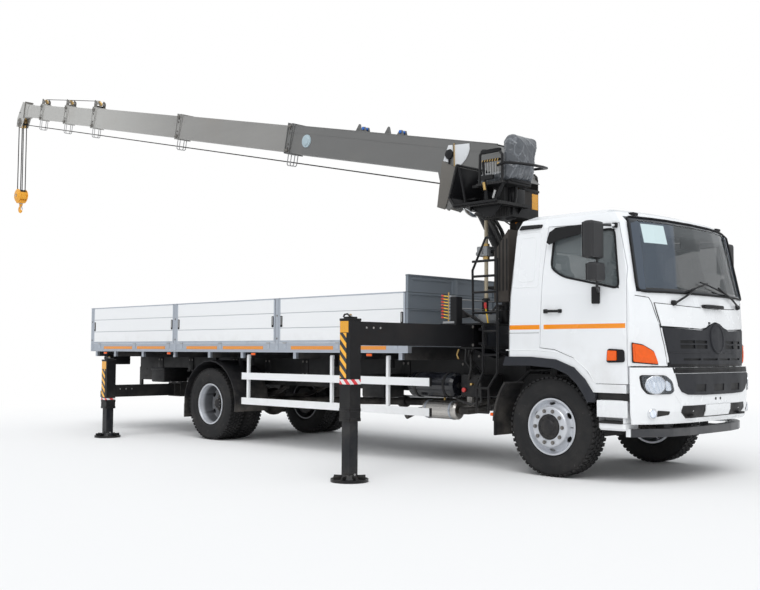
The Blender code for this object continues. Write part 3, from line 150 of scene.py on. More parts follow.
# ---- shader maths ----
class Flow:
    """A shader socket on which Python's operators work, each adding its Math node."""

    def __init__(self, tree, socket):
        self.tree = tree
        self.socket = socket

    def maths(self, operation, *values):
        """A Math node of this socket and other values."""
        made = self.tree.nodes.new("ShaderNodeMath")
        made.operation = operation
        for slot, value in zip(made.inputs, (self,) + values):
            feed(self.tree, slot, value)
        return Flow(self.tree, made.outputs[0])

    def __add__(self, other):
        return self.maths("ADD", other)

    def __radd__(self, other):
        return self.maths("ADD", other)

    def __sub__(self, other):
        return self.maths("SUBTRACT", other)

    def __rsub__(self, other):
        return (self * -1.0).maths("ADD", other)

    def __mul__(self, other):
        return self.maths("MULTIPLY", other)

    def __rmul__(self, other):
        return self.maths("MULTIPLY", other)

    def __truediv__(self, other):
        return self.maths("DIVIDE", other)

    def __pow__(self, other):
        return self.maths("POWER", other)

    def __abs__(self):
        return self.maths("ABSOLUTE")

    def fraction(self):
        """What is left over a whole number, which repeats a pattern."""
        return self.maths("FRACT")

    def least(self, other):
        """The smaller of two."""
        return self.maths("MINIMUM", other)

    def most(self, other):
        """The larger of two."""
        return self.maths("MAXIMUM", other)


def feed(tree, slot, value):
    """Link a flow to a socket, or set the socket to a plain value."""
    if isinstance(value, Flow):
        tree.links.new(value.socket, slot)
    elif slot.type == "RGBA" and len(value) == 3:
        slot.default_value = (*value, 1.0)
    else:
        slot.default_value = value


class Finish:
    """A material being mixed, which ends in one Principled shader."""

    def __init__(self, name):
        self.material = bpy.data.materials.new(name)
        self.material.use_nodes = True
        self.tree = self.material.node_tree
        self.shader = self.tree.nodes["Principled BSDF"]
        spot = self.add("ShaderNodeTexCoord", {}, {}, "Object")
        self.spot = self.add(
            "ShaderNodeVectorMath", {"operation": "SUBTRACT"}, {0: spot, 1: (FRONT_AXLE, 0, 0)})
        self.x, self.y, self.z = (
            self.add("ShaderNodeSeparateXYZ", {}, {0: self.spot}, axis) for axis in "XYZ")

    def add(self, kind, settings, sockets, out=0):
        """Any node: its settings first, then its sockets, then the flow of one output."""
        made = self.tree.nodes.new(kind)
        for key, value in settings.items():
            if key == "stops":
                ramp = made.color_ramp
                while len(ramp.elements) < len(value):
                    ramp.elements.new(1.0)
                for element, (place, colour) in zip(ramp.elements, value):
                    element.position = place
                    element.color = (*colour, 1.0)
            else:
                setattr(made, key, value)
        for key, value in sockets.items():
            feed(self.tree, made.inputs[key], value)
        return Flow(self.tree, made.outputs[out])

    def noise(self, scale, detail=3.0, rough=0.55, stretch=(1, 1, 1)):
        """Cloudy noise from 0 to 1 over the piece, in waves of about 1/scale metres."""
        spot = self.add("ShaderNodeMapping", {}, {"Vector": self.spot, "Scale": stretch})
        return self.add("ShaderNodeTexNoise", {}, {
            "Vector": spot, "Scale": scale, "Detail": detail, "Roughness": rough})

    def cells(self, scale):
        """A cell pattern: the distance from each cell's middle."""
        return self.add("ShaderNodeTexVoronoi", {"feature": "F1"},
                        {"Vector": self.spot, "Scale": scale}, "Distance")

    def rise(self, value, start, end):
        """0 below start and 1 above end, smooth between them; the other way if end is less."""
        return self.add("ShaderNodeMapRange", {"interpolation_type": "SMOOTHSTEP", "clamp": True},
                        {"Value": value, "From Min": start, "From Max": end})

    def band(self, value, low, high, soft=0.001):
        """1 between two values and 0 outside."""
        return (self.rise(value, low - soft, low + soft)
                * self.rise(value, high + soft, high - soft))

    def blend(self, mask, first, second):
        """One colour turning into another where the mask is 1."""
        return self.add("ShaderNodeMix", {"data_type": "RGBA"}, {0: mask, 6: first, 7: second}, 2)

    def bump(self, height, strength=0.5, distance=0.001, under=None):
        """Surface relief from a height."""
        sockets = {"Height": height, "Strength": strength, "Distance": distance}
        if under is not None:
            sockets["Normal"] = under
        return self.add("ShaderNodeBump", {}, sockets)

    def dust(self, colour, tone=(0.42, 0.38, 0.33), amount=0.25, low=0.3, high=1.3):
        """Road dust that settles in patches and thickens towards the ground."""
        patches = self.rise(self.noise(3.2, 5.0, 0.62), 0.35, 0.8)
        near = self.rise(self.z, high, low)
        return self.blend((patches * near * amount).least(1.0), colour, tone)

    def done(self, colour, rough, metal=0.0, normal=None, **fixed):
        """Connect the shader and return the material."""
        sockets = {"Base Color": colour, "Roughness": rough, "Metallic": metal}
        if normal is not None:
            sockets["Normal"] = normal
        for name, value in fixed.items():
            sockets[name.replace("_", " ").title().replace("Ior", "IOR")] = value
        for name, value in sockets.items():
            feed(self.tree, self.shader.inputs[name], value)
        return self.material


FINISHES = {}


def finish(name):
    """The material of a name, mixed the first time that it is asked for."""
    if name not in FINISHES:
        FINISHES[name] = RECIPES[name](Finish(name))
    return FINISHES[name]


def paint(colour, rough=0.32, coat=0.35, dusty=0.2, speck=0.06, peel=0.25):
    """A recipe for sprayed paint: orange peel, faint tone patches and dust low down."""
    def mix(mat):
        tone = mat.noise(1.7, 4.0)
        shade = mat.blend(tone * speck * 2, colour, tuple(c * 0.72 for c in colour))
        shade = mat.dust(shade, amount=dusty)
        peeled = mat.bump(mat.noise(260, 2.0), peel, 0.0004)
        gloss = rough + 0.16 * mat.rise(mat.noise(5.0, 4.0), 0.45, 0.85)
        return mat.done(shade, gloss, 0.0, peeled, coat_weight=coat, coat_roughness=0.12)
    return mix


def worn_paint(colour, under=(0.16, 0.15, 0.145), rough=0.42, chips=0.5, dusty=0.3, metal=0.0):
    """A recipe for hard-used paint: fine chips to primer, rubbed patches and dust."""
    def mix(mat):
        tone = mat.noise(2.3, 5.0)
        shade = mat.blend(tone * 0.5, colour, tuple(min(c * 1.7 + 0.004, 1) for c in colour))
        grain = mat.noise(70, 4.0, 0.7)
        chip = mat.rise(grain, 0.7, 0.74) * mat.rise(mat.noise(4.1, 3.0), 0.48, 0.62) * chips
        shade = mat.dust(mat.blend(chip, shade, under), amount=dusty)
        relief = mat.bump(mat.noise(180, 3.0) - chip * 0.6, 0.35, 0.0006)
        gloss = rough + 0.22 * mat.rise(mat.noise(6.5, 4.0), 0.4, 0.8)
        return mat.done(
            shade, gloss, metal, relief, coat_weight=0.04 if sum(colour) < 0.1 else 0.12,
            coat_roughness=0.25, specular_ior_level=0.22 if sum(colour) < 0.1 else 0.5)
    return mix


def moulded(colour, rough=0.55, grain=420, relief=0.35, dusty=0.25):
    """A recipe for moulded plastic or rubber with a fine leather grain."""
    def mix(mat):
        cell = mat.cells(grain)
        shade = mat.blend(
            mat.noise(4.0, 4.0) * 0.5, colour, tuple(min(c * 1.5 + 0.004, 1) for c in colour))
        shade = mat.dust(shade, amount=dusty)
        gloss = rough + 0.14 * mat.rise(mat.noise(9.0, 3.0), 0.4, 0.8)
        return mat.done(shade, gloss, 0.0, mat.bump(cell, relief, 0.0005),
                        specular_ior_level=0.25 if sum(colour) < 0.1 else 0.5)
    return mix


def bare_metal(colour, rough=0.32, brushed=(1, 1, 1), dusty=0.1, metal=0.9):
    """A recipe for bare or plated metal with a drawn grain."""
    def mix(mat):
        lines = mat.noise(90, 3.0, 0.6, brushed)
        stain = mat.rise(mat.noise(6.0, 4.0), 0.5, 0.9)
        shade = mat.blend(stain * 0.5, colour, tuple(c * 0.6 for c in colour))
        shade = mat.dust(shade, amount=dusty)
        return mat.done(shade, rough + 0.2 * lines, metal, mat.bump(lines, 0.12, 0.0004))
    return mix


def lens(colour, glow=0.0):
    """A recipe for a moulded lamp lens with fine upright flutes."""
    def mix(mat):
        flutes = mat.add("ShaderNodeMath", {"operation": "SINE"}, {0: mat.y * 900})
        rings = mat.add("ShaderNodeMath", {"operation": "SINE"}, {0: mat.z * 700})
        shade = mat.blend(mat.noise(24, 2.0) * 0.6, colour, tuple(c * 0.55 for c in colour))
        relief = mat.bump(flutes + rings, 0.25, 0.0006)
        return mat.done(
            shade, 0.1 + 0.08 * mat.noise(30), 0.0, relief, coat_weight=0.25, coat_roughness=0.04,
            specular_ior_level=0.35, emission_color=shade, emission_strength=glow)
    return mix


def glass(tint, clear):
    """A recipe for tinted safety glass, clear by a fixed share, with faint dust."""
    def mix(mat):
        film = mat.rise(mat.noise(2.6, 5.0, 0.65), 0.35, 0.9) * 0.12
        shade = mat.blend(film, tint, (0.55, 0.55, 0.52))
        return mat.done(shade, 0.02 + 0.1 * film, 0.0, None, alpha=film * 0.6 + (1 - clear),
                        specular_ior_level=0.6, coat_weight=0.5, coat_roughness=0.02)
    return mix


# ---- the finishes ----
WHITE = (0.89, 0.905, 0.92)
ORANGE = (0.95, 0.29, 0.001)


def cab_white(mirrors):
    """White cab paint with an orange band along the side; mirrors beyond the wall stay black."""
    def mix(mat):
        tone = mat.noise(1.1, 3.0)
        shade = mat.blend(tone * 0.35, WHITE, (0.82, 0.85, 0.89))
        side = mat.rise(abs(mat.y), 1.12, 1.16)
        run = mat.band(mat.x, -0.5, -0.085) + mat.band(mat.x, -0.035, 0.935)
        shade = mat.blend(mat.band(mat.z, 1.542, 1.59, 0.0015) * run * side, shade, ORANGE)
        shade = mat.dust(shade, (0.5, 0.48, 0.45), 0.35, 0.9, 1.7)
        gloss = 0.22 + 0.12 * mat.rise(mat.noise(3.0, 4.0), 0.4, 0.9)
        coat = 0.5
        if mirrors:
            black = mat.rise(abs(mat.y), 1.228, 1.232)
            shade = mat.blend(black, shade, (0.018, 0.018, 0.02))
            gloss = gloss + 0.25 * black
            coat = 0.5 - 0.45 * black
        relief = mat.bump(mat.noise(240, 2.0), 0.12, 0.0003)
        return mat.done(shade, gloss, 0.0, relief, coat_weight=coat, coat_roughness=0.06)
    return mix


def valance_mix(mat):
    """White step boxes at the ends of a dark under-run bar."""
    steps = mat.rise(mat.x, 0.935, 0.925) * mat.rise(abs(mat.y), 0.915, 0.925)
    tread = mat.band(mat.z, 0.598, 0.606) * steps
    shade = mat.blend(steps, (0.024, 0.026, 0.032), WHITE)
    shade = mat.dust(mat.blend(tread, shade, (0.42, 0.43, 0.45)), amount=0.12, low=0.4, high=1.0)
    return mat.done(shade, 0.34 + 0.2 * mat.noise(8.0), 0.0, mat.bump(mat.noise(200), 0.2, 0.0004),
                    coat_weight=0.3, coat_roughness=0.15)


def windscreen_mix(mat):
    """Tinted windscreen with its black printed border, a darker sun band at the top, and a painted
    blue sky reflection over its near side.
    """
    slope = (SCREEN_WIDE - SCREEN_NARROW) / (SCREEN_TOP - SCREEN_LOW)
    reach = SCREEN_WIDE - (mat.z - SCREEN_LOW) * slope
    edge = (reach - abs(mat.y)).least(SCREEN_TOP - mat.z).least(mat.z - SCREEN_LOW)
    border = mat.rise(edge, 0.046, 0.038)
    # Painted sky reflection: the glass's near side turns blue and lets less through.
    near = mat.rise(mat.y - mat.z * 0.28, -1.1, -1.13) * (1 - border)
    page = mat.band(mat.y, -0.9, -0.56, 0.004) * mat.band(mat.z, 2.41, 2.605, 0.004)
    band = mat.rise(mat.z, 2.44, 2.56) * 0.35
    film = mat.rise(mat.noise(2.2, 5.0, 0.65), 0.4, 0.9) * 0.1
    shade = mat.blend(
        border, mat.blend(film, (0.035, 0.045, 0.05), (0.5, 0.5, 0.48)), (0.01, 0.01, 0.011))
    # The blue of the painted sky reflection on the near side.
    shade = mat.blend(near * 0.85, shade, (0.055, 0.078, 0.11))
    shade = mat.blend(page, shade, (0.62, 0.76, 0.78))
    return mat.done(
        shade, 0.02 + 0.15 * film, 0.0, None,
        alpha=(0.42 + band + border + page + near * 0.35 + film * 0.5).least(1.0), coat_weight=0.6,
        coat_roughness=0.02)


def gate_mix(mat):
    """White coated planks, faintly streaked, with splashes along the bottom."""
    streak = mat.noise(5.0, 4.0, 0.6, (1.0, 1.0, 9.0))
    shade = mat.blend(streak * 0.4, (0.88, 0.89, 0.9), (0.79, 0.81, 0.84))
    groove = abs(((mat.z - GATE_SEAM) / GATE_PLANK + 0.5).fraction() - 0.5) * GATE_PLANK
    line = mat.rise(groove, 0.0065, 0.0035) * mat.band(mat.z, 1.45, 1.97)
    shade = mat.blend(line * 0.75, shade, (0.36, 0.38, 0.42))
    low = mat.rise(mat.z, 1.62, 1.42) * mat.rise(mat.noise(7.0, 5.0, 0.65), 0.35, 0.85)
    shade = mat.blend(low * 0.2, shade, (0.45, 0.42, 0.38))
    return mat.done(shade, 0.34 + 0.12 * streak, 0.0, mat.bump(mat.noise(230), 0.15, 0.0004),
                    coat_weight=0.2, coat_roughness=0.2)


def bed_mix(mat):
    """Anodised bed rails and posts round a deck of dark grained ply with a wire pattern."""
    inside = mat.rise(abs(mat.y), 1.205, 1.198) * mat.band(mat.z, 1.39, 1.42)
    under = mat.rise(mat.z, 1.362, 1.358) * mat.rise(abs(mat.y), 1.192, 1.186)
    drawn = mat.noise(60, 3.0, 0.6, (0.15, 1.0, 1.0))
    metal = mat.blend(drawn * 0.5, (0.5, 0.54, 0.6), (0.38, 0.41, 0.46))
    mesh = (mat.x * 90).fraction() * (mat.y * 90).fraction()
    ply = mat.blend(mat.noise(3.0, 5.0), (0.075, 0.058, 0.045), (0.13, 0.11, 0.09))
    shade = mat.blend(inside, metal, ply)
    shade = mat.blend(under, shade, (0.03, 0.03, 0.032))
    shade = mat.dust(shade, amount=0.25, low=1.2, high=1.45)
    both = inside.most(under)
    relief = mat.bump(drawn + mesh * inside, 0.2, 0.0008)
    return mat.done(shade, 0.36 + 0.2 * drawn + 0.2 * both, 0.75 - 0.75 * both, relief)


def headboard_mix(mat):
    """Dark blue-grey headboard in four drawn planks."""
    drawn = mat.noise(40, 3.0, 0.6, (1.0, 0.03, 1.0))
    groove = abs(((mat.z - 1.41) / 0.2).fraction() - 0.5)
    line = mat.rise(groove, 0.48, 0.492)
    shade = mat.blend(drawn * 0.5, (0.19, 0.22, 0.255), (0.25, 0.285, 0.32))
    shade = mat.blend(line * 0.8, shade, (0.02, 0.022, 0.026))
    return mat.done(mat.dust(shade, amount=0.3, low=1.3, high=2.0), 0.42 + 0.15 * drawn, 0.35,
                    mat.bump(drawn - line * 2.0, 0.3, 0.0012), coat_weight=0.1, coat_roughness=0.3)


def guard_mix(mat):
    """White side rails on white posts, with the black cross bars above them."""
    white = mat.rise(abs(mat.y), 1.16, 1.164)
    shade = mat.blend(white, (0.012, 0.012, 0.013), (0.88, 0.89, 0.9))
    shade = mat.dust(shade, amount=0.2, low=0.4, high=1.1)
    rust = mat.rise(mat.noise(45, 4.0, 0.7), 0.66, 0.72) * mat.rise(mat.noise(3.0), 0.5, 0.7)
    shade = mat.blend(rust * white * 0.6, shade, (0.22, 0.11, 0.06))
    return mat.done(shade, 0.38 + 0.2 * mat.noise(6.0), 0.0,
                    mat.bump(mat.noise(200), 0.25, 0.0004), coat_weight=0.15, coat_roughness=0.2)


def stripes_mix(first, second, pitch, lean=1.0, rough=0.3):
    """Diagonal reflective stripes along a vertical tape."""
    def mix(mat):
        run = ((mat.z * lean + mat.x + mat.y) / pitch).fraction()
        bar = mat.rise(run, 0.0, 0.02) * mat.rise(run, 0.52, 0.5)
        shade = mat.dust(mat.blend(bar, first, second), amount=0.25, low=0.4, high=1.4)
        hive = mat.cells(260)
        return mat.done(shade, rough + 0.15 * mat.noise(12), 0.0, mat.bump(hive, 0.25, 0.0004),
                        coat_weight=0.6, coat_roughness=0.1)
    return mix


def reflector(colour, rough=0.22):
    """Prismatic tape or reflector of one colour, in small cells."""
    def mix(mat):
        hive = mat.cells(230)
        shade = mat.blend(hive * 1.2, colour, tuple(c * 0.72 for c in colour))
        shade = mat.dust(shade, amount=0.15)
        return mat.done(
            shade, rough, 0.0, mat.bump(hive, 0.3, 0.0005), coat_weight=0.7, coat_roughness=0.08)
    return mix


def tyre_mix(mat):
    """Tyre rubber: dusty patches with pale flecks, and fine mould ribs."""
    ribs = mat.add("ShaderNodeMath", {"operation": "SINE"}, {0: mat.noise(30) * 40})
    patch = mat.rise(mat.noise(5.0, 5.0, 0.62), 0.38, 0.75)
    shade = mat.blend(patch * 0.5, (0.015, 0.015, 0.016), (0.052, 0.049, 0.047))
    flecks = mat.rise(mat.noise(26, 5.0, 0.7), 0.62, 0.7) * 0.35
    shade = mat.blend(flecks * patch, shade, (0.34, 0.34, 0.34))
    return mat.done(shade, 0.68 + 0.2 * patch, 0.0,
                    mat.bump(ribs + mat.noise(160) * 2, 0.2, 0.0006), specular_ior_level=0.3)


def rim_mix(mat):
    """Silver-grey enamelled steel wheel with patches of brake dust, and painted shade in the rear
    wheels' deep dish.
    """
    tone = mat.noise(6.0, 4.0)
    shade = mat.blend(tone * 0.5, (0.68, 0.7, 0.74), (0.52, 0.54, 0.58))
    shade = mat.blend(
        mat.rise(mat.noise(14, 5.0, 0.65), 0.55, 0.8) * 0.35, shade, (0.2, 0.18, 0.16))
    # Painted shade: the deep dish of each rear wheel, and its inner wheel, are darkened.
    deep = (mat.rise(mat.x, -5.0, -5.3)
            * mat.rise(abs(mat.y), REAR_WHEEL_Y + 0.235, REAR_WHEEL_Y + 0.165))
    shade = mat.blend(deep * 0.85, shade, (0.05, 0.052, 0.058))
    return mat.done(shade, 0.3 + 0.15 * tone, 0.55, mat.bump(mat.noise(220), 0.15, 0.0003),
                    coat_weight=0.2, coat_roughness=0.15)


def boom_mix(colour, streaked):
    """Boom enamel: weathered grey with long faint streaks and rubbed grease along the slides."""
    def mix(mat):
        streak = mat.noise(3.0, 5.0, 0.6, (0.35, 1.0, 2.2))
        lighter = tuple(min(c * 1.35, 1) for c in colour)
        shade = mat.blend(streak * (0.9 if streaked else 0.4), colour, lighter)
        if streaked:
            shade = mat.blend(mat.rise(mat.x, -7.5, -12.0), shade, (0.46, 0.455, 0.435))
        rub = mat.rise(mat.noise(1.4, 4.0), 0.5, 0.8) * mat.noise(50, 4.0, 0.7, (0.1, 1, 1))
        shade = mat.blend(rub * (0.6 if streaked else 0.25), shade, (0.3, 0.27, 0.235))
        chip = mat.rise(mat.noise(80, 4.0, 0.7), 0.71, 0.74) * mat.rise(mat.noise(3.0), 0.5, 0.62)
        shade = mat.blend(chip * 0.4, shade, (0.1, 0.09, 0.085))
        return mat.done(
            shade, 0.4 + 0.18 * streak, 0.0, mat.bump(mat.noise(150, 3.0) - chip, 0.22, 0.0005),
            coat_weight=0.15, coat_roughness=0.25)
    return mix


def rope_mix(mat):
    """Greased steel wire rope with its lay."""
    twist = mat.add(
        "ShaderNodeMath", {"operation": "SINE"}, {0: (mat.x + mat.z * 1.3 + mat.y * 2.0) * 420})
    shade = mat.blend(mat.rise(twist, -0.6, 0.8), (0.012, 0.012, 0.012), (0.07, 0.066, 0.06))
    return mat.done(shade, 0.5 + 0.1 * mat.noise(60), 0.35, mat.bump(twist, 0.6, 0.0015))


def hose_mix(mat):
    """Black hydraulic hose with a woven cover."""
    weave = mat.cells(520)
    shade = mat.blend(mat.noise(9.0, 3.0) * 0.6, (0.014, 0.014, 0.015), (0.045, 0.043, 0.041))
    return mat.done(shade, 0.55 + 0.15 * mat.noise(20), 0.0, mat.bump(weave, 0.4, 0.0006))


def vinyl_mix(mat):
    """Grey film-wrapped vinyl with soft creases, painted darker in their hollows and lighter on
    their crests as shade and light, and painted highlights along the fold edges.
    """
    folds = mat.noise(5.0, 3.0, 0.5, (1.0, 1.3, 0.45))
    fine = mat.noise(22, 3.0, 0.5, (1.0, 1.0, 0.35))
    ridge = mat.rise(abs(folds - 0.5), 0.03, 0.0)
    # Painted shade and light: the colour follows the creases' height, dark in the hollows and
    # light on the crests.
    shade = mat.blend(folds, (0.06, 0.066, 0.076), (0.12, 0.13, 0.145))
    # Painted highlights along the fold edges.
    shade = mat.blend(ridge * 0.35, shade, (0.34, 0.36, 0.39))
    return mat.done(
        shade, 0.22 + 0.15 * fine, 0.0,
        mat.bump(folds * 2 + ridge * 0.3 + fine * 0.15, 0.45, 0.006),
        coat_weight=0.35, coat_roughness=0.12)


def duct_mix(mat):
    """Brown-black intake duct with upright slots between its ribs; the slots are painted near
    black as shade.
    """
    run = ((mat.x + 0.8) / 0.05).fraction()
    slot = mat.band(run, 0.3, 0.78, 0.05) * mat.band(mat.z, 1.98, 2.56, 0.01)
    # Painted shade: the slots are near black, standing for the shaded inside of the openings, and
    # pressed in by bump only.
    shade = mat.blend(slot, (0.045, 0.038, 0.033), (0.006, 0.006, 0.006))
    return mat.done(
        mat.dust(shade, amount=0.1, low=1.0, high=3.0), 0.5 + 0.1 * mat.noise(9.0), 0.0,
        mat.bump(mat.noise(200) * 0.05 - slot, 0.6, 0.004), specular_ior_level=0.3)


def tread_mix(mat):
    """Raised-bar floor plate in worn black paint."""
    u, v = (mat.x + mat.y) * 28, (mat.x - mat.y) * 28
    bars = mat.band(u.fraction(), 0.3, 0.7, 0.05) * mat.band(v.fraction(), 0.42, 0.58, 0.04)
    shade = mat.blend(bars * mat.noise(12), (0.009, 0.009, 0.01), (0.08, 0.078, 0.075))
    return mat.done(mat.dust(shade, amount=0.08, low=1.0, high=4.0), 0.45 + 0.2 * mat.noise(8.0),
                    0.2, mat.bump(bars, 0.8, 0.002))


def lamp_bowl_mix(mat):
    """Bright reflector bowl in upright facets, with a painted blue-white reflection in its facets
    and a faint glow.
    """
    facets = (mat.y * 22 + mat.z * 9).fraction()
    # Painted reflection: the facets alternate between bright silver and sky blue.
    shade = mat.blend(facets * 0.5, (0.9, 0.92, 0.95), (0.5, 0.58, 0.7))
    # The faint blue-white glow is painted reflection.
    return mat.done(shade, 0.08 + 0.1 * facets, 0.9, mat.bump(facets, 0.3, 0.002),
                    emission_color=(0.55, 0.7, 0.95, 1.0), emission_strength=0.16)


RECIPES = {
    "cab_white": cab_white(False),
    "door_white": cab_white(True),
    "panel_white": paint(WHITE, 0.24, 0.5, 0.08, 0.04, 0.12),
    "valance": valance_mix,
    "windscreen": windscreen_mix,
    "door_glass": glass((0.16, 0.19, 0.2), 0.5),
    "lamp_glass": glass((0.3, 0.34, 0.38), 0.9),
    "grille_grey": moulded((0.022, 0.023, 0.027), 0.5, 300, 0.25, 0.08),
    "black_plastic": moulded((0.009, 0.009, 0.01), 0.45, 380, 0.3, 0.1),
    "flare_grey": moulded((0.024, 0.026, 0.032), 0.55, 300, 0.3, 0.12),
    "black_rubber": moulded((0.008, 0.008, 0.009), 0.65, 500, 0.2, 0.1),
    "cab_trim": moulded((0.085, 0.082, 0.078), 0.7, 260, 0.4, 0.1),
    "chassis_black": worn_paint((0.011, 0.011, 0.012), (0.1, 0.08, 0.06), 0.42, 0.4, 0.22),
    "axle_black": worn_paint((0.014, 0.013, 0.013), (0.1, 0.07, 0.05), 0.5, 0.5, 0.3),
    "engine_grey": worn_paint((0.055, 0.058, 0.06), (0.04, 0.035, 0.03), 0.5, 0.6, 0.25),
    "mudguard": moulded((0.012, 0.012, 0.014), 0.6, 260, 0.3, 0.3),
    "guard_rail": guard_mix,
    "tank_black": paint((0.007, 0.008, 0.012), 0.16, 0.3, 0.1, 0.08, 0.1),
    "silencer": bare_metal((0.6, 0.58, 0.55), 0.2, (0.2, 3, 3), 0.12, 1.0),
    "tyre": tyre_mix,
    "rim": rim_mix,
    "hub_black": worn_paint((0.016, 0.016, 0.018), (0.08, 0.06, 0.05), 0.45, 0.4, 0.15),
    "nut_steel": bare_metal((0.22, 0.21, 0.2), 0.45, (1, 1, 1), 0.3, 0.7),
    "bed_silver": bed_mix,
    "bed_white": gate_mix,
    "silver": bare_metal((0.5, 0.54, 0.6), 0.34, (0.2, 1, 1), 0.2, 0.75),
    "headboard_blue": headboard_mix,
    "crane_black": worn_paint((0.007, 0.007, 0.008), (0.09, 0.08, 0.07), 0.28, 0.25, 0.08),
    "post_grey": worn_paint((0.022, 0.019, 0.017), (0.1, 0.08, 0.07), 0.36, 0.3, 0.1),
    "leg_black": worn_paint((0.008, 0.009, 0.012), (0.1, 0.09, 0.08), 0.3, 0.35, 0.12),
    "boom_dark": boom_mix((0.14, 0.14, 0.137), False),
    "boom_light": boom_mix((0.235, 0.23, 0.221), True),
    "cover_grey": worn_paint((0.12, 0.112, 0.1), (0.05, 0.05, 0.05), 0.5, 0.3, 0.2),
    "chrome": bare_metal((0.82, 0.83, 0.85), 0.06, (1, 1, 1), 0.05, 1.0),
    "steel": bare_metal((0.5, 0.5, 0.5), 0.32, (1, 1, 1), 0.2, 0.85),
    "brass": bare_metal((0.62, 0.42, 0.16), 0.3, (1, 1, 0.2), 0.1, 0.9),
    "rope": rope_mix,
    "hose": hose_mix,
    "hook_orange": worn_paint((0.8, 0.33, 0.02), (0.25, 0.12, 0.06), 0.32, 0.6, 0.05),
    "yellow": worn_paint((0.9, 0.5, 0.03), (0.2, 0.18, 0.12), 0.36, 0.4, 0.05),
    "red": paint((0.62, 0.03, 0.025), 0.3, 0.4, 0.1),
    "blue": paint((0.02, 0.16, 0.62), 0.3, 0.4, 0.1),
    "boss_blue": paint((0.42, 0.53, 0.58), 0.34, 0.3, 0.15),
    "valve_grey": bare_metal((0.36, 0.37, 0.38), 0.45, (1, 1, 1), 0.25, 0.6),
    "orange_tape": reflector((0.93, 0.32, 0.02)),
    "yellow_tape": reflector((0.98, 0.44, 0.012)),
    "white_tape": reflector((0.8, 0.8, 0.8)),
    "hazard": stripes_mix((0.008, 0.008, 0.009), (0.96, 0.46, 0.02), 0.105),
    "red_white": stripes_mix((0.8, 0.8, 0.8), (0.7, 0.02, 0.03), 0.11, 1.0, 0.22),
    "amber_lens": lens((0.88, 0.115, 0.001), 0.14),
    "red_lens": lens((0.7, 0.02, 0.01), 0.08),
    "clear_lens": lens((0.8, 0.83, 0.86)),
    "lamp_bowl": lamp_bowl_mix,
    "mirror": bare_metal((0.8, 0.82, 0.84), 0.03, (1, 1, 1), 0.02, 1.0),
    "vinyl": vinyl_mix,
    "tread_plate": tread_mix,
    "duct_brown": duct_mix,
    "dial_white": paint((0.72, 0.74, 0.76), 0.35, 0.2, 0.1),
    "paper": paint((0.7, 0.76, 0.74), 0.6, 0.0, 0.05),
    "tan_pipe": paint((0.5, 0.43, 0.31), 0.35, 0.2, 0.15),
    "screen_edge": paint((0.02, 0.024, 0.03), 0.12, 0.0, 0.05),
    # Blue-grey of tinted glass with its painted sky reflection, for the strips beside the
    # windscreen.
    "screen_tint_and_sky_reflection": paint((0.05, 0.068, 0.095), 0.08, 0.5, 0.05),
}

NODE_FINISHES = {
    "cab_white": ("cab_shell",),
    "door_white": ("door_left", "door_right"),
    "panel_white": ("bumper",),
    "valance": ("front_valance",),
    "windscreen": ("windscreen",),
    "cab_trim": ("cab_interior",),
    "chassis_black": ("chassis_frame", "rear_outrigger_box"),
    "axle_black": ("front_axle", "rear_axle", "steering_knuckle_left", "steering_knuckle_right"),
    "engine_grey": ("engine_block",),
    "mudguard": ("front_mudguards", "rear_mudguards"),
    "guard_rail": ("side_guards",),
    "tank_black": ("air_tank", "fuel_tank"),
    "silencer": ("muffler",),
    "tyre": ("front_tyre_left", "front_tyre_right"),
    "rim": ("front_rim_left", "front_rim_right"),
    "bed_silver": ("bed_floor",),
    "bed_white": ("tailgate",) + tuple("side_gate_%s_%s" % (side, place)
                                       for side in ("left", "right")
                                       for place in ("front", "middle", "rear")),
    "headboard_blue": ("headboard",),
    "crane_black": ("crane_base", "ladder", "winch", "lift_cylinder_barrel") + tuple(
        "outrigger_beam_%s_%s" % (end, side) for end in ("front", "rear")
        for side in ("left", "right")),
    "post_grey": ("column",),
    "duct_brown": ("intake_duct",),
    "leg_black": tuple("jack_leg_%s_%s" % (end, side) for end in ("front", "rear")
                       for side in ("left", "right")),
    "tread_plate": ("operator_platform",),
    "boom_dark": ("boom_base",),
    "boom_light": tuple("boom_section_%d" % number for number in range(2, 7)),
    "chrome": ("lift_cylinder_rod",),
    "hook_orange": ("hook_block",),
    "vinyl": ("operator_seat",),
}


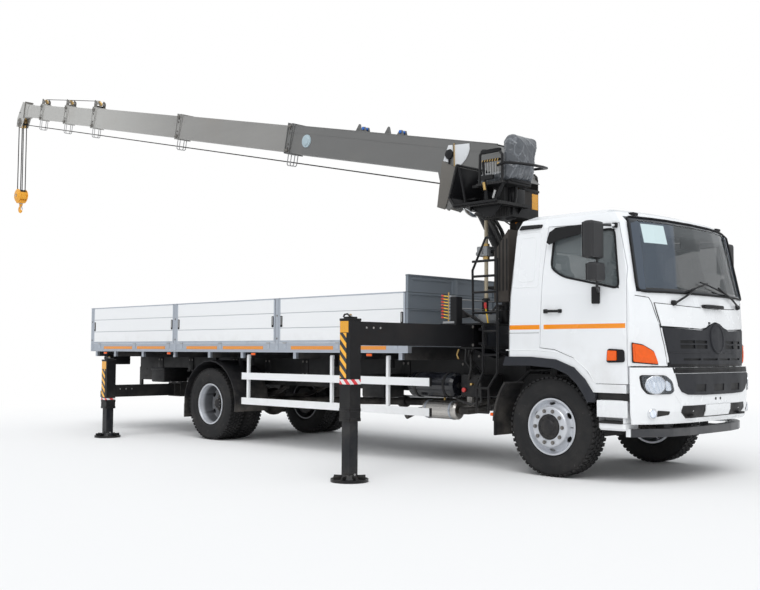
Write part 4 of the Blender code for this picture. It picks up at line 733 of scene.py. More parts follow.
# ---- making meshes ----
class Form:
    """A mesh under construction, in metres from the front axle, that ends as one piece."""

    def __init__(self, *names):
        self.bm = bmesh.new()
        self.names = list(names)
        self.active = 0

    def using(self, name):
        """Later shapes take this finish."""
        if name not in self.names:
            self.names.append(name)
        self.active = self.names.index(name)
        return self

    def own(self, before):
        """Give the finish in use to the faces added since a count."""
        self.bm.faces.index_update()
        for face in list(self.bm.faces)[before:]:
            face.material_index = self.active
        return self

    def take(self, bm, round_by=0.0, steps=2, turn=None):
        """Merge a small closed bmesh into the piece, with its edges rounded."""
        if round_by:
            sharp = [edge for edge in bm.edges
                     if len(edge.link_faces) == 2 and edge.calc_face_angle(0) > 0.6]
            bmesh.ops.bevel(bm, geom=sharp, offset=round_by, segments=steps, affect="EDGES",
                            profile=0.5, clamp_overlap=True)
        if turn is not None:
            bmesh.ops.transform(bm, matrix=turn, verts=bm.verts)
        bmesh.ops.remove_doubles(bm, verts=bm.verts, dist=0.00002)
        bmesh.ops.recalc_face_normals(bm, faces=bm.faces)
        mesh = bpy.data.meshes.new("shape")
        bm.to_mesh(mesh)
        bm.free()
        before = len(self.bm.faces)
        self.bm.from_mesh(mesh)
        bpy.data.meshes.remove(mesh)
        return self.own(before)

    def box(self, xs, ys, zs, round_by=0.003, turn=None, steps=2):
        """A box between two limits along each axis."""
        bm = bmesh.new()
        bmesh.ops.create_cube(bm, size=1.0)
        size = Matrix.Diagonal((xs[1] - xs[0], ys[1] - ys[0], zs[1] - zs[0], 1.0))
        middle = Vector((sum(xs) / 2, sum(ys) / 2, sum(zs) / 2))
        bmesh.ops.transform(bm, matrix=Matrix.Translation(middle) @ size, verts=bm.verts)
        return self.take(bm, round_by, steps, turn)

    def rod(self, start, end, radius, sides=16, end_radius=None, round_by=0.0):
        """A round bar or cone from one point to another."""
        start, end = Vector(start), Vector(end)
        bm = bmesh.new()
        bmesh.ops.create_cone(
            bm, cap_ends=True, segments=sides, radius1=radius,
            radius2=radius if end_radius is None else end_radius, depth=(end - start).length)
        turn = Vector((0, 0, 1)).rotation_difference(end - start).to_matrix().to_4x4()
        place = Matrix.Translation((start + end) / 2) @ turn
        return self.take(bm, round_by, 2, place)

    def slab(self, outline, ends, axis="Y", round_by=0.002, steps=2):
        """An outline given thickness: (x, z) along Y, (y, z) along X or (x, y) along Z."""
        bm = bmesh.new()
        loops = []
        for depth in ends:
            spots = {"Y": [(a, depth, b) for a, b in outline],
                     "X": [(depth, a, b) for a, b in outline],
                     "Z": [(a, b, depth) for a, b in outline]}[axis]
            loops.append([bm.verts.new(spot) for spot in spots])
        lower, upper = loops
        for index in range(len(lower)):
            after = (index + 1) % len(lower)
            bm.faces.new((lower[index], lower[after], upper[after], upper[index]))
        bm.faces.new(lower[::-1])
        bm.faces.new(upper)
        bmesh.ops.recalc_face_normals(bm, faces=bm.faces)
        return self.take(bm, round_by, steps)

    def boom_slab(self, outline, ends, round_by=0.002):
        """A slab whose outline is given along the boom and above its foot pin."""
        spots = [along_boom(along, up) for along, up in outline]
        return self.slab([(spot.x, spot.z) for spot in spots], ends, "Y", round_by)

    def tube(self, points, radius, sides=8, closed=False):
        """A round bar along a path, with square-cut closed ends."""
        points = [Vector(point) for point in points]
        bm = bmesh.new()
        loops = []
        count = len(points)
        across = None
        for index, point in enumerate(points):
            before = points[index - 1] if index or closed else None
            after = points[(index + 1) % count] if index < count - 1 or closed else None
            ways = [(point - before).normalized()] if before is not None else []
            ways += [(after - point).normalized()] if after is not None else []
            way = sum(ways, Vector()).normalized()
            if across is None:
                guide = Vector((0, 0, 1)) if abs(way.z) < 0.9 else Vector((1, 0, 0))
                across = way.cross(guide).normalized()
            across = (across - way * across.dot(way)).normalized()
            up = way.cross(across)
            if len(ways) == 2:
                stretch = 1.0 / max(math.sqrt((1 + ways[0].dot(ways[1])) / 2), 0.45)
                bend = (ways[1] - ways[0])
            else:
                stretch, bend = 1.0, Vector()
            bend = bend.normalized() if bend.length > 1e-6 else None
            loop = []
            for side in range(sides):
                angle = 2 * math.pi * side / sides
                arm = across * math.cos(angle) * radius + up * math.sin(angle) * radius
                if bend is not None:
                    arm += bend * arm.dot(bend) * (stretch - 1)
                loop.append(bm.verts.new(point + arm))
            loops.append(loop)
        pairs = list(zip(loops, loops[1:])) + ([(loops[-1], loops[0])] if closed else [])
        for lower, upper in pairs:
            for side in range(sides):
                turn = (side + 1) % sides
                bm.faces.new((lower[side], lower[turn], upper[turn], upper[side]))
        if not closed:
            bm.faces.new(loops[0][::-1])
            bm.faces.new(loops[-1])
        bmesh.ops.recalc_face_normals(bm, faces=bm.faces)
        return self.take(bm)

    def turned(self, profile, centre, way=(0, 1, 0), steps=48, closed=False, wave=None):
        """A profile of (radius, offset) points turned about an axis through a centre."""
        way = Vector(way).normalized()
        turn = Vector((0, 0, 1)).rotation_difference(way).to_matrix().to_4x4()
        place = Matrix.Translation(Vector(centre)) @ turn
        bm = bmesh.new()
        loops = []
        for radius, offset in profile:
            if radius < 1e-6:
                loops.append([bm.verts.new(place @ Vector((0, 0, offset)))])
                continue
            loop = []
            for step in range(steps):
                angle = 2 * math.pi * step / steps
                reach = radius - (wave(step, radius, offset) if wave else 0)
                spot = Vector((reach * math.cos(angle), reach * math.sin(angle), offset))
                loop.append(bm.verts.new(place @ spot))
            loops.append(loop)
        pairs = list(zip(loops, loops[1:])) + ([(loops[-1], loops[0])] if closed else [])
        for lower, upper in pairs:
            for step in range(steps):
                after = (step + 1) % steps
                if len(lower) == 1 and len(upper) == 1:
                    continue
                if len(lower) == 1:
                    bm.faces.new((lower[0], upper[step], upper[after]))
                elif len(upper) == 1:
                    bm.faces.new((lower[step], lower[after], upper[0]))
                else:
                    bm.faces.new((lower[step], lower[after], upper[after], upper[step]))
        for loop, flip in ((loops[0], True), (loops[-1], False)):
            if not closed and len(loop) > 1:
                bm.faces.new(loop[::-1] if flip else loop)
        bmesh.ops.recalc_face_normals(bm, faces=bm.faces)
        return self.take(bm)

    def draped(self, outline, surface, lift, thick, cell=0.06, side=None):
        """A sheet cut to an outline that lies on a surface, lifted off it by a little."""
        def laid(a, b, off):
            """A point of the outline laid on the surface and moved off it."""
            depth = surface(a, b) + off
            return Vector((depth, a, b)) if side is None else Vector((a, side * depth, b))
        bm = bmesh.new()
        face = bm.faces.new([bm.verts.new((0, a, b)) for a, b in outline])
        bmesh.ops.triangulate(bm, faces=[face])
        lows = [min(point[axis] for point in outline) for axis in (0, 1)]
        highs = [max(point[axis] for point in outline) for axis in (0, 1)]
        for axis in (0, 1):
            normal = (0, 1, 0) if axis == 0 else (0, 0, 1)
            count = int((highs[axis] - lows[axis]) / cell)
            for step in range(1, count + 1):
                at = lows[axis] + (highs[axis] - lows[axis]) * step / (count + 1)
                bmesh.ops.bisect_plane(
                    bm, geom=bm.verts[:] + bm.edges[:] + bm.faces[:],
                    plane_co=(0, at, 0) if axis == 0 else (0, 0, at), plane_no=normal, dist=0.0001)
        bmesh.ops.dissolve_limit(bm, angle_limit=0.001, verts=[], edges=[])
        edge = [e for e in bm.edges if len(e.link_faces) == 1]
        fronts = list(bm.verts)
        backs = {}
        for vert in fronts:
            a, b = vert.co.y, vert.co.z
            backs[vert] = bm.verts.new(laid(a, b, lift - thick))
            vert.co = laid(a, b, lift)
        for face in list(bm.faces):
            bm.faces.new([backs[vert] for vert in reversed(face.verts)])
        for e in edge:
            a, b = e.verts
            bm.faces.new((a, b, backs[b], backs[a]))
        bmesh.ops.recalc_face_normals(bm, faces=bm.faces)
        return self.take(bm)

    def item(self, name):
        """A loose object of the shapes so far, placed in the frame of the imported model."""
        mesh = bpy.data.meshes.new(name)
        bmesh.ops.translate(self.bm, vec=(FRONT_AXLE, 0, 0), verts=self.bm.verts)
        self.bm.to_mesh(mesh)
        self.bm.free()
        for finish_name in self.names:
            mesh.materials.append(finish(finish_name))
        made = bpy.data.objects.new(name, mesh)
        bpy.context.scene.collection.objects.link(made)
        return made

    def piece(self, name, body, slot, smooth=35):
        """End as a piece that rides on a body; the slot is not used."""
        return settle(self.item(name), body, smooth)


def settle(made, body, smooth=35):
    """Shade a finished mesh, and let it ride on a body."""
    made.data.polygons.foreach_set("use_smooth", [True] * len(made.data.polygons))
    made.data.set_sharp_from_angle(angle=math.radians(smooth))
    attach(made, body)
    return made


def cut_away(made, cutters):
    """Cut closed loose objects out of another."""
    for cutter in cutters:
        step = made.modifiers.new("cut", "BOOLEAN")
        step.operation = "DIFFERENCE"
        step.object = cutter
        step.solver = "EXACT"
    return to_mesh(made, cutters)


def to_mesh(made, spent=()):
    """Replace an object's mesh with what its modifiers make of it."""
    bpy.context.view_layer.update()
    graph = bpy.context.evaluated_depsgraph_get()
    result = bpy.data.meshes.new_from_object(made.evaluated_get(graph))
    made.modifiers.clear()
    made.data = result
    for item in spent:
        bpy.data.objects.remove(item)
    return made


def y_span(inner, outer, side):
    """The y limits between two distances from the centre line on one side."""
    return tuple(sorted((side * inner, side * outer)))


SIDES = ((-1, "right"), (1, "left"))


# ---- node trees for what repeats ----
def new_tree(name, inputs):
    """An empty geometry tree with named inputs after its geometry."""
    tree = bpy.data.node_groups.new(name, "GeometryNodeTree")
    tree.interface.new_socket("Geometry", in_out="INPUT", socket_type="NodeSocketGeometry")
    for label, kind in inputs:
        tree.interface.new_socket(label, in_out="INPUT", socket_type="NodeSocket" + kind)
    tree.interface.new_socket("Geometry", in_out="OUTPUT", socket_type="NodeSocketGeometry")
    return tree


def tree_node(tree, kind, settings=(), **sockets):
    """A geometry node with its settings and sockets; a link is given as (node, output)."""
    made = tree.nodes.new(kind)
    for key, value in dict(settings).items():
        setattr(made, key, value)
    for key, value in sockets.items():
        slot = made.inputs[key.replace("_", " ")]
        if isinstance(value, tuple) and len(value) == 2 and isinstance(value[0], bpy.types.Node):
            tree.links.new(value[0].outputs[value[1]], slot)
        else:
            slot.default_value = value
    return made


def finished_tree(tree, instances, given):
    """Realise the instances, give them the finish and end the tree."""
    real = tree_node(tree, "GeometryNodeRealizeInstances", Geometry=(instances, 0))
    painted = tree_node(
        tree, "GeometryNodeSetMaterial", Geometry=(real, 0), Material=(given, "Finish"))
    out = tree.nodes.new("NodeGroupOutput")
    tree.links.new(painted.outputs[0], out.inputs[0])
    return tree


def screw_tree():
    """A six-sided head on a washer at each point, standing along the point's aim."""
    tree = new_tree("screws", (("Radius", "Float"), ("Height", "Float"), ("Finish", "Material")))
    given = tree.nodes.new("NodeGroupInput")
    head = tree_node(tree, "GeometryNodeMeshCylinder", Vertices=6, Radius=(given, "Radius"),
                     Depth=(given, "Height"))
    wide = tree_node(tree, "ShaderNodeMath", {"operation": "MULTIPLY"})
    tree.links.new(given.outputs["Radius"], wide.inputs[0])
    wide.inputs[1].default_value = 1.35
    thin = tree_node(tree, "ShaderNodeMath", {"operation": "MULTIPLY"})
    tree.links.new(given.outputs["Height"], thin.inputs[0])
    thin.inputs[1].default_value = 0.3
    washer = tree_node(
        tree, "GeometryNodeMeshCylinder", Vertices=12, Radius=(wide, 0), Depth=(thin, 0))
    both = tree.nodes.new("GeometryNodeJoinGeometry")
    tree.links.new(head.outputs[0], both.inputs[0])
    tree.links.new(washer.outputs[0], both.inputs[0])
    aim = tree_node(
        tree, "GeometryNodeInputNamedAttribute", {"data_type": "FLOAT_VECTOR"}, Name="aim")
    turn = tree_node(tree, "FunctionNodeAlignRotationToVector", {"axis": "Z"}, Vector=(aim, 0))
    placed = tree_node(tree, "GeometryNodeInstanceOnPoints", Points=(given, "Geometry"),
                       Instance=(both, 0), Rotation=(turn, 0))
    return finished_tree(tree, placed, given)


def tread_tree():
    """A ring of rubber blocks about the upright axis."""
    tree = new_tree("tread", (("Count", "Int"), ("Radius", "Float"), ("Block", "Vector"),
                              ("Skew", "Float"), ("Finish", "Material")))
    given = tree.nodes.new("NodeGroupInput")
    ring = tree_node(
        tree, "GeometryNodeMeshCircle", Vertices=(given, "Count"), Radius=(given, "Radius"))
    block = tree_node(tree, "GeometryNodeMeshCube", Size=(given, "Block"))
    spot = tree.nodes.new("GeometryNodeInputPosition")
    turn = tree_node(tree, "FunctionNodeAlignRotationToVector", {"axis": "X"}, Vector=(spot, 0))
    skew = tree_node(
        tree, "FunctionNodeAxisAngleToRotation", Axis=(1, 0, 0), Angle=(given, "Skew"))
    both = tree_node(tree, "FunctionNodeRotateRotation", {"rotation_space": "LOCAL"},
                     Rotation=(turn, 0), Rotate_By=(skew, 0))
    placed = tree_node(tree, "GeometryNodeInstanceOnPoints", Points=(ring, 0),
                       Instance=(block, 0), Rotation=(both, 0))
    return finished_tree(tree, placed, given)


TREES = {}


def grown(tree_name, spots, **values):
    """The plain mesh that a tree makes of some (point, aim) spots, as a loose object."""
    if tree_name not in TREES:
        TREES[tree_name] = {"screws": screw_tree, "tread": tread_tree}[tree_name]()
    tree = TREES[tree_name]
    mesh = bpy.data.meshes.new(tree_name)
    shift = Vector((FRONT_AXLE, 0, 0))
    mesh.from_pydata([tuple(Vector(point) + shift) for point, _ in spots], [], [])
    aims = mesh.attributes.new("aim", "FLOAT_VECTOR", "POINT")
    aims.data.foreach_set("vector", [value for _, aim in spots for value in aim])
    made = bpy.data.objects.new(tree_name, mesh)
    bpy.context.scene.collection.objects.link(made)
    grow = made.modifiers.new("grow", "NODES")
    grow.node_group = tree
    for item in tree.interface.items_tree:
        if item.item_type == "SOCKET" and item.in_out == "INPUT" and item.name in values:
            grow[item.identifier] = values[item.name]
    return to_mesh(made)


def screws(name, body, spots, radius=0.011, height=0.012, tone="nut_steel"):
    """Screw heads at (point, aim) spots, as one piece."""
    made = grown("screws", spots, Radius=radius, Height=height, Finish=finish(tone))
    made.name = name
    return settle(made, body, 30)


# ---- sizes and colours a user would change ----
class CabSizes(bpy.types.PropertyGroup):
    """Sizes of the cab's fine pieces."""
    seal: FloatProperty(name="Seal radius", description="Rubber seal round each window",
                        default=0.009, min=0.004, max=0.02, unit="LENGTH")
    lamp_lift: FloatProperty(name="Lamp height", description="How far a lens stands off the cab",
                             default=0.014, min=0.005, max=0.02, unit="LENGTH")
    grille_lift: FloatProperty(name="Grille height", description="How far the grille stands off",
                               default=0.016, min=0.006, max=0.025, unit="LENGTH")


class WheelSizes(bpy.types.PropertyGroup):
    """Sizes of the tyres and wheels."""
    lugs: IntProperty(name="Tread blocks", description="Blocks in each row of a tyre's tread",
                      default=56, min=30, max=90)
    depth: FloatProperty(name="Tread depth", description="Height of the tread blocks",
                         default=0.014, min=0.006, max=0.02, unit="LENGTH")
    studs: IntProperty(
        name="Wheel nuts", description="Nuts on each wheel", default=10, min=6, max=12)
    hand_holes: IntProperty(
        name="Hand holes", description="Openings in each wheel disc", default=6, min=4, max=12)


class CraneSizes(bpy.types.PropertyGroup):
    """Sizes of the crane's fine pieces."""
    rope: FloatProperty(name="Rope radius", description="Hoist rope", default=0.009, min=0.005,
                        max=0.015, unit="LENGTH")
    hose: FloatProperty(name="Hose radius", description="Hydraulic hoses", default=0.013,
                        min=0.006, max=0.02, unit="LENGTH")
    levers: IntProperty(
        name="Levers", description="Levers in the side control bank", default=8, min=4, max=10)


class StageLook(bpy.types.PropertyGroup):
    """Floor and light."""
    floor: FloatVectorProperty(name="Floor colour", description="Pale studio floor",
                               subtype="COLOR", size=3, default=(0.86, 0.86, 0.86), min=0, max=1)
    sky: FloatProperty(
        name="Sky light", description="Strength of the even light", default=0.88, min=0.1, max=2.0)
    lamp: FloatProperty(name="Key light", description="Strength of the large soft lamp",
                        default=1.3, min=0.0, max=6.0)


def sizes(context, group):
    """One of the scene's groups of sizes."""
    return getattr(context.scene, group)


class PieceOperator:
    """What every operator of this file has in common."""
    bl_options = {"REGISTER", "UNDO"}

    def execute(self, context):
        """Make the pieces of this operator."""
        self.make(context)
        return {"FINISHED"}


# ---- stage ----
class CRANE_OT_stage(PieceOperator, bpy.types.Operator):
    """Floor, even sky, soft lamp and camera"""
    bl_idname = "crane_truck.stage"
    bl_label = "Stage and camera"

    def make(self, context):
        """Set the stage."""
        look = sizes(context, "stage_look")
        self.floor(look)
        self.light(context, look)
        self.camera(context)
        context.scene.view_settings.view_transform = "Standard"

    def floor(self, look):
        """A floor that turns plain white well away from the truck."""
        mesh = bpy.data.meshes.new("floor")
        reach = 400
        mesh.from_pydata([(-reach, -reach, 0), (reach, -reach, 0), (reach, reach, 0),
                          (-reach, reach, 0)], [], [(0, 1, 2, 3)])
        floor = bpy.data.objects.new("studio_floor", mesh)
        bpy.context.scene.collection.objects.link(floor)
        mat = Finish("studio_floor")
        far = (mat.x * mat.x + mat.y * mat.y) ** 0.5
        away = mat.rise(far, 9.0, 17.0)
        seen = mat.add("ShaderNodeLightPath", {}, {}, "Is Camera Ray")
        plain = mat.add("ShaderNodeBsdfDiffuse", {}, {"Color": tuple(look.floor)})
        white = mat.add("ShaderNodeEmission", {}, {"Color": (1, 1, 1), "Strength": 1.0})
        both = mat.add("ShaderNodeMixShader", {}, {0: away * seen, 1: plain, 2: white})
        end = mat.tree.nodes["Material Output"]
        mat.tree.links.new(both.socket, end.inputs["Surface"])
        mat.tree.nodes.remove(mat.shader)
        mesh.materials.append(mat.material)

    def light(self, context, look):
        """White to look at, an even grey sky to be lit by, and one large soft lamp."""
        world = bpy.data.worlds.new("studio")
        context.scene.world = world
        world.use_nodes = True
        tree = world.node_tree
        sky = tree.nodes["Background"]
        seen = tree.nodes.new("ShaderNodeLightPath")
        white = tree.nodes.new("ShaderNodeBackground")
        white.inputs["Color"].default_value = (1, 1, 1, 1)
        tone = tree.nodes.new("ShaderNodeTexCoord")
        split = tree.nodes.new("ShaderNodeSeparateXYZ")
        ramp = tree.nodes.new("ShaderNodeMapRange")
        ramp.inputs["From Min"].default_value = -0.1
        ramp.inputs["To Min"].default_value = 0.72
        ramp.inputs["To Max"].default_value = 1.0
        strength = tree.nodes.new("ShaderNodeMath")
        strength.operation = "MULTIPLY"
        strength.inputs[1].default_value = look.sky
        sky.inputs["Color"].default_value = (0.96, 0.98, 1.0, 1)
        tree.links.new(tone.outputs["Generated"], split.inputs[0])
        tree.links.new(split.outputs["Z"], ramp.inputs["Value"])
        tree.links.new(ramp.outputs[0], strength.inputs[0])
        tree.links.new(strength.outputs[0], sky.inputs["Strength"])
        mix = tree.nodes.new("ShaderNodeMixShader")
        tree.links.new(seen.outputs["Is Camera Ray"], mix.inputs[0])
        tree.links.new(sky.outputs[0], mix.inputs[1])
        tree.links.new(white.outputs[0], mix.inputs[2])
        tree.links.new(mix.outputs[0], tree.nodes["World Output"].inputs["Surface"])
        lamp = bpy.data.lights.new("soft_lamp", "SUN")
        lamp.energy = look.lamp
        lamp.angle = math.radians(50)
        made = bpy.data.objects.new("soft_lamp", lamp)
        context.scene.collection.objects.link(made)
        made.rotation_euler = Vector((-0.38, 0.42, -0.82)).to_track_quat("-Z", "Y").to_euler()

    def camera(self, context):
        """The camera low at the front right corner, looking a little up."""
        azimuth, pitch = math.radians(44.8), math.radians(3.29)
        way = Vector((-math.sin(azimuth) * math.cos(pitch), math.cos(azimuth) * math.cos(pitch),
                      math.sin(pitch)))
        right = way.cross(Vector((0, 0, 1))).normalized()
        upward = right.cross(way)
        turn = Matrix((right, upward, -way)).transposed()
        turn = turn @ Matrix.Rotation(math.radians(0.28), 3, "Z")
        lens_data = bpy.data.cameras.new("camera")
        lens_data.lens = 46.82
        lens_data.sensor_width = 36.0
        lens_data.clip_end = 1000
        made = bpy.data.objects.new("camera", lens_data)
        context.scene.collection.objects.link(made)
        place = Vector((FRONT_AXLE + 6.066, -9.805, 1.297))
        made.matrix_world = Matrix.Translation(place) @ turn.to_4x4()
        context.scene.camera = made


class CRANE_OT_frame_finishes(PieceOperator, bpy.types.Operator):
    """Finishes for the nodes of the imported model"""
    bl_idname = "crane_truck.frame_finishes"
    bl_label = "Finishes of the packed model"

    def make(self, context):
        """Give every node its finish."""
        for name, nodes in NODE_FINISHES.items():
            for node in nodes:
                mesh = NODES[node].data
                mesh.materials.clear()
                mesh.materials.append(finish(name))
                mesh.polygons.foreach_set("material_index", [0] * len(mesh.polygons))


# ---- cab ----
def mirrored(points):
    """An outline in (across, up), carried on to the other side of the middle."""
    return points + [(-across, up) for across, up in reversed(points)]


def four(across, ups):
    """The corners of a rectangle between two limits each way."""
    (left, right), (low, high) = across, ups
    return [(left, low), (right, low), (right, high), (left, high)]


def oval(centre, reach, steps=20):
    """An oval outline about a centre."""
    return [(centre[0] + reach[0] * math.cos(2 * math.pi * step / steps),
             centre[1] + reach[1] * math.sin(2 * math.pi * step / steps)) for step in range(steps)]


def finer(points, reach=0.08, closed=True):
    """More points along an outline's edges, so that it can follow a bowed surface."""
    ends = points[1:] + points[:1] if closed else points[1:]
    fine = []
    for first, last in zip(points, ends):
        first, last = Vector(first), Vector(last)
        count = max(int((last - first).length / reach), 1)
        fine += [tuple(first.lerp(last, step / count)) for step in range(count)]
    return fine if closed else fine + [tuple(points[-1])]


def rounded(points, radius, steps=4):
    """An outline with each of its corners cut to a curve."""
    out = []
    count = len(points)
    for index in range(count):
        corner = Vector(points[index])
        arms = [Vector(points[index - 1]) - corner, Vector(points[(index + 1) % count]) - corner]
        reach = min(radius, 0.45 * arms[0].length, 0.45 * arms[1].length)
        first, last = (corner + arm.normalized() * reach for arm in arms)
        for step in range(steps + 1):
            share = step / steps
            out.append(tuple(first.lerp(corner, share).lerp(corner.lerp(last, share), share)))
    return out


def on_front(points, surface, lift):
    """Points (across, up) laid on the cab's front."""
    return [(surface(a, b) + lift, a, b) for a, b in points]


def on_side(points, side, lift):
    """Points (x, z) laid on the cab's side."""
    return [(a, side * (cab_half(b) + lift), b) for a, b in points]


def side_wall(_, z):
    """Surface of the cab's side for a draped sheet."""
    return cab_half(z)


def rear_wall(_, z):
    """Surface of the cab's rear wall for a draped sheet."""
    return REAR_WALL + (z - 1.9) * REAR_SLOPE


WINDSCREEN = [(-SCREEN_WIDE, SCREEN_LOW), (SCREEN_WIDE, SCREEN_LOW),
              (SCREEN_NARROW, SCREEN_TOP), (-SCREEN_NARROW, SCREEN_TOP)]


class CRANE_OT_cab_front(PieceOperator, bpy.types.Operator):
    """Bonnet flap, grille, seals, wipers and grab handle on the cab's front"""
    bl_idname = "crane_truck.cab_front"
    bl_label = "Cab front"

    def make(self, context):
        """Make what the cab's front carries."""
        own = sizes(context, "cab_sizes")
        flap = mirrored([(-0.94, 1.792), (-0.885, 1.568), (-0.3, 1.548), (-0.2, 1.563),
                         (-0.12, 1.603), (-0.02, 1.622)])
        top = [(0.5, 1.768), (0.02, 1.758), (-0.5, 1.768)]
        gap = mirrored([(-0.948, 1.8), (-0.893, 1.55), (-0.02, 1.54)])
        form = Form("panel_white", "black_rubber")
        form.draped(flap + top, cab_x, 0.008, 0.009)
        form.using("black_rubber").draped(
            gap + [(0.5, 1.776), (0.02, 1.766), (-0.5, 1.776)], cab_x, 0.002, 0.004)
        form.piece("bonnet_flap", "cab", "cab_white")
        self.grille(own)
        self.trim(own)
        self.wipers()

    def grille(self, own):
        """Upper grille with its slots over a black backing, and a bare oval boss."""
        lift = own.grille_lift
        outline = mirrored([(-0.872, 1.552), (-0.795, 1.19), (-0.02, 1.183)])
        outline += [(0.3, 1.532), (0.2, 1.546), (0.13, 1.586), (0.05, 1.606), (-0.05, 1.606),
                    (-0.13, 1.586), (-0.2, 1.546), (-0.3, 1.532)]
        grille = Form("grille_grey").draped(outline, cab_x, lift, lift + 0.004).item("grille")
        cuts = Form("grille_grey")
        for z0, z1 in ((1.398, 1.428), (1.345, 1.382)):
            for side in (-1, 1):
                for inner, outer in ((0.205, 0.42), (0.43, 0.66)):
                    cuts.box(CUT_XS, y_span(inner, outer, side), (z0, z1), 0)
        for first in (-0.62, -0.3, 0.02, 0.34):
            cuts.box(CUT_XS, (first, first + 0.28), (1.226, 1.246), 0)
        settle(cut_away(grille, [cuts.item("cuts")]), "cab")
        back = Form("black_plastic")
        back.draped(mirrored([(-0.8, 1.49), (-0.76, 1.2)]), cab_x, 0.003, 0.004)
        back.piece("grille_backing", "cab", "cab_trim")
        boss = Form("grille_grey")
        boss.draped(oval((0, 1.448), (0.128, 0.138), 28), cab_x, lift + 0.006, 0.02)
        boss.tube(
            on_front(oval((0, 1.448), (0.134, 0.145), 36), cab_x, lift + 0.004), 0.011, 8, True)
        for side in (-1, 1):
            fold = [(side * 0.8, 1.305), (side * 0.14, 1.3)]
            boss.tube(on_front(finer(fold, 0.08, False), cab_x, lift), 0.006, 6)
        boss.piece("grille_boss", "cab", "cab_trim")

    def trim(self, own):
        """Seals, panel joints and the grab handle."""
        form = Form("black_rubber", "screen_edge", "screen_tint_and_sky_reflection")
        screen = finer(rounded(WINDSCREEN, 0.09), 0.07)
        form.tube(on_front(screen, cab_x, 0.012), own.seal * 1.15, 8, True)
        border = [(1.108, SCREEN_LOW), (SCREEN_WIDE, SCREEN_LOW), (SCREEN_NARROW, SCREEN_TOP),
                  (0.945, SCREEN_TOP), (0.945, 2.63), (1.046, 2.6)]
        # Strips in the blue-grey of the glass and its painted sky reflection, over the pillars
        # beside the windscreen.
        shade = [(1.032, 1.928), (1.106, 1.928), (1.047, 2.6), (0.945, 2.632), (0.945, 2.6)]
        for side in (-1, 1):
            for tone, outline, thick in (
                    ("screen_edge", border, 0.009), ("screen_tint_and_sky_reflection", shade, 0.008)):
                form.using(tone).draped(
                    [(side * a, b) for a, b in outline], cab_x, 0.005, thick, 0.05)
        form.using("screen_edge")
        for half, ups in ((0.96, (2.636, SCREEN_TOP)), (1.12, (SCREEN_LOW, 1.93))):
            form.draped(four((-half, half), ups), cab_x, 0.005, 0.009, 0.05)
        form.using("black_rubber")
        for side in (-1, 1):
            joint = [(side * a, b) for a, b in (
                (1.16, 1.865), (1.005, 1.848), (0.975, 1.8), (0.9, 1.56), (0.855, 1.38),
                (0.82, 1.185))]
            form.tube(on_front(finer(joint, 0.07, False), cab_x, -0.001), 0.0035, 6)
        form.piece("windscreen_seal", "cab", "cab_trim")
        rail = Form("black_plastic")
        rail.draped([(-0.2, 1.8), (0.2, 1.8), (0.215, 1.782), (0.195, 1.766),
                     (-0.195, 1.766), (-0.215, 1.782)], cab_x, 0.046, 0.016)
        for side in (-1, 1):
            rail.draped(oval((side * 0.178, 1.783), (0.026, 0.017), 12), cab_x, 0.044, 0.05)
        rail.piece("front_grab_handle", "cab", "cab_trim")
        dish = Form("panel_white")
        dish.tube(on_front(oval((0, 1.782), (0.25, 0.03), 32), cab_x, -0.001), 0.005, 6, True)
        dish.piece("handle_dish", "cab", "cab_white")

    def wipers(self):
        """Two wipers with their caps, arms and blades."""
        form = Form("black_plastic")
        for pivot, elbow, blade in (((-0.7, 1.8), (-0.33, 1.955), ((-0.55, 1.905), (-0.02, 2.03))),
                                    ((0.72, 1.8), (0.2, 1.99), ((0.42, 1.93), (-0.16, 2.035)))):
            x = cab_x(*pivot)
            form.turned([(0, 0.045), (0.018, 0.043), (0.026, 0.03), (0.03, 0.0), (0, -0.01)][::-1],
                        (x, *pivot), (1, 0, 0.1), 16)
            arm = on_front(finer([pivot, elbow], 0.06, False), cab_x, 0.034)
            form.tube(arm, 0.011, 6)
            form.tube(on_front(finer(blade, 0.06, False), cab_x, 0.022), 0.008, 6)
            form.tube(on_front(finer(blade, 0.06, False), cab_x, 0.013), 0.0035, 4)
        form.piece("wipers", "cab", "cab_trim")


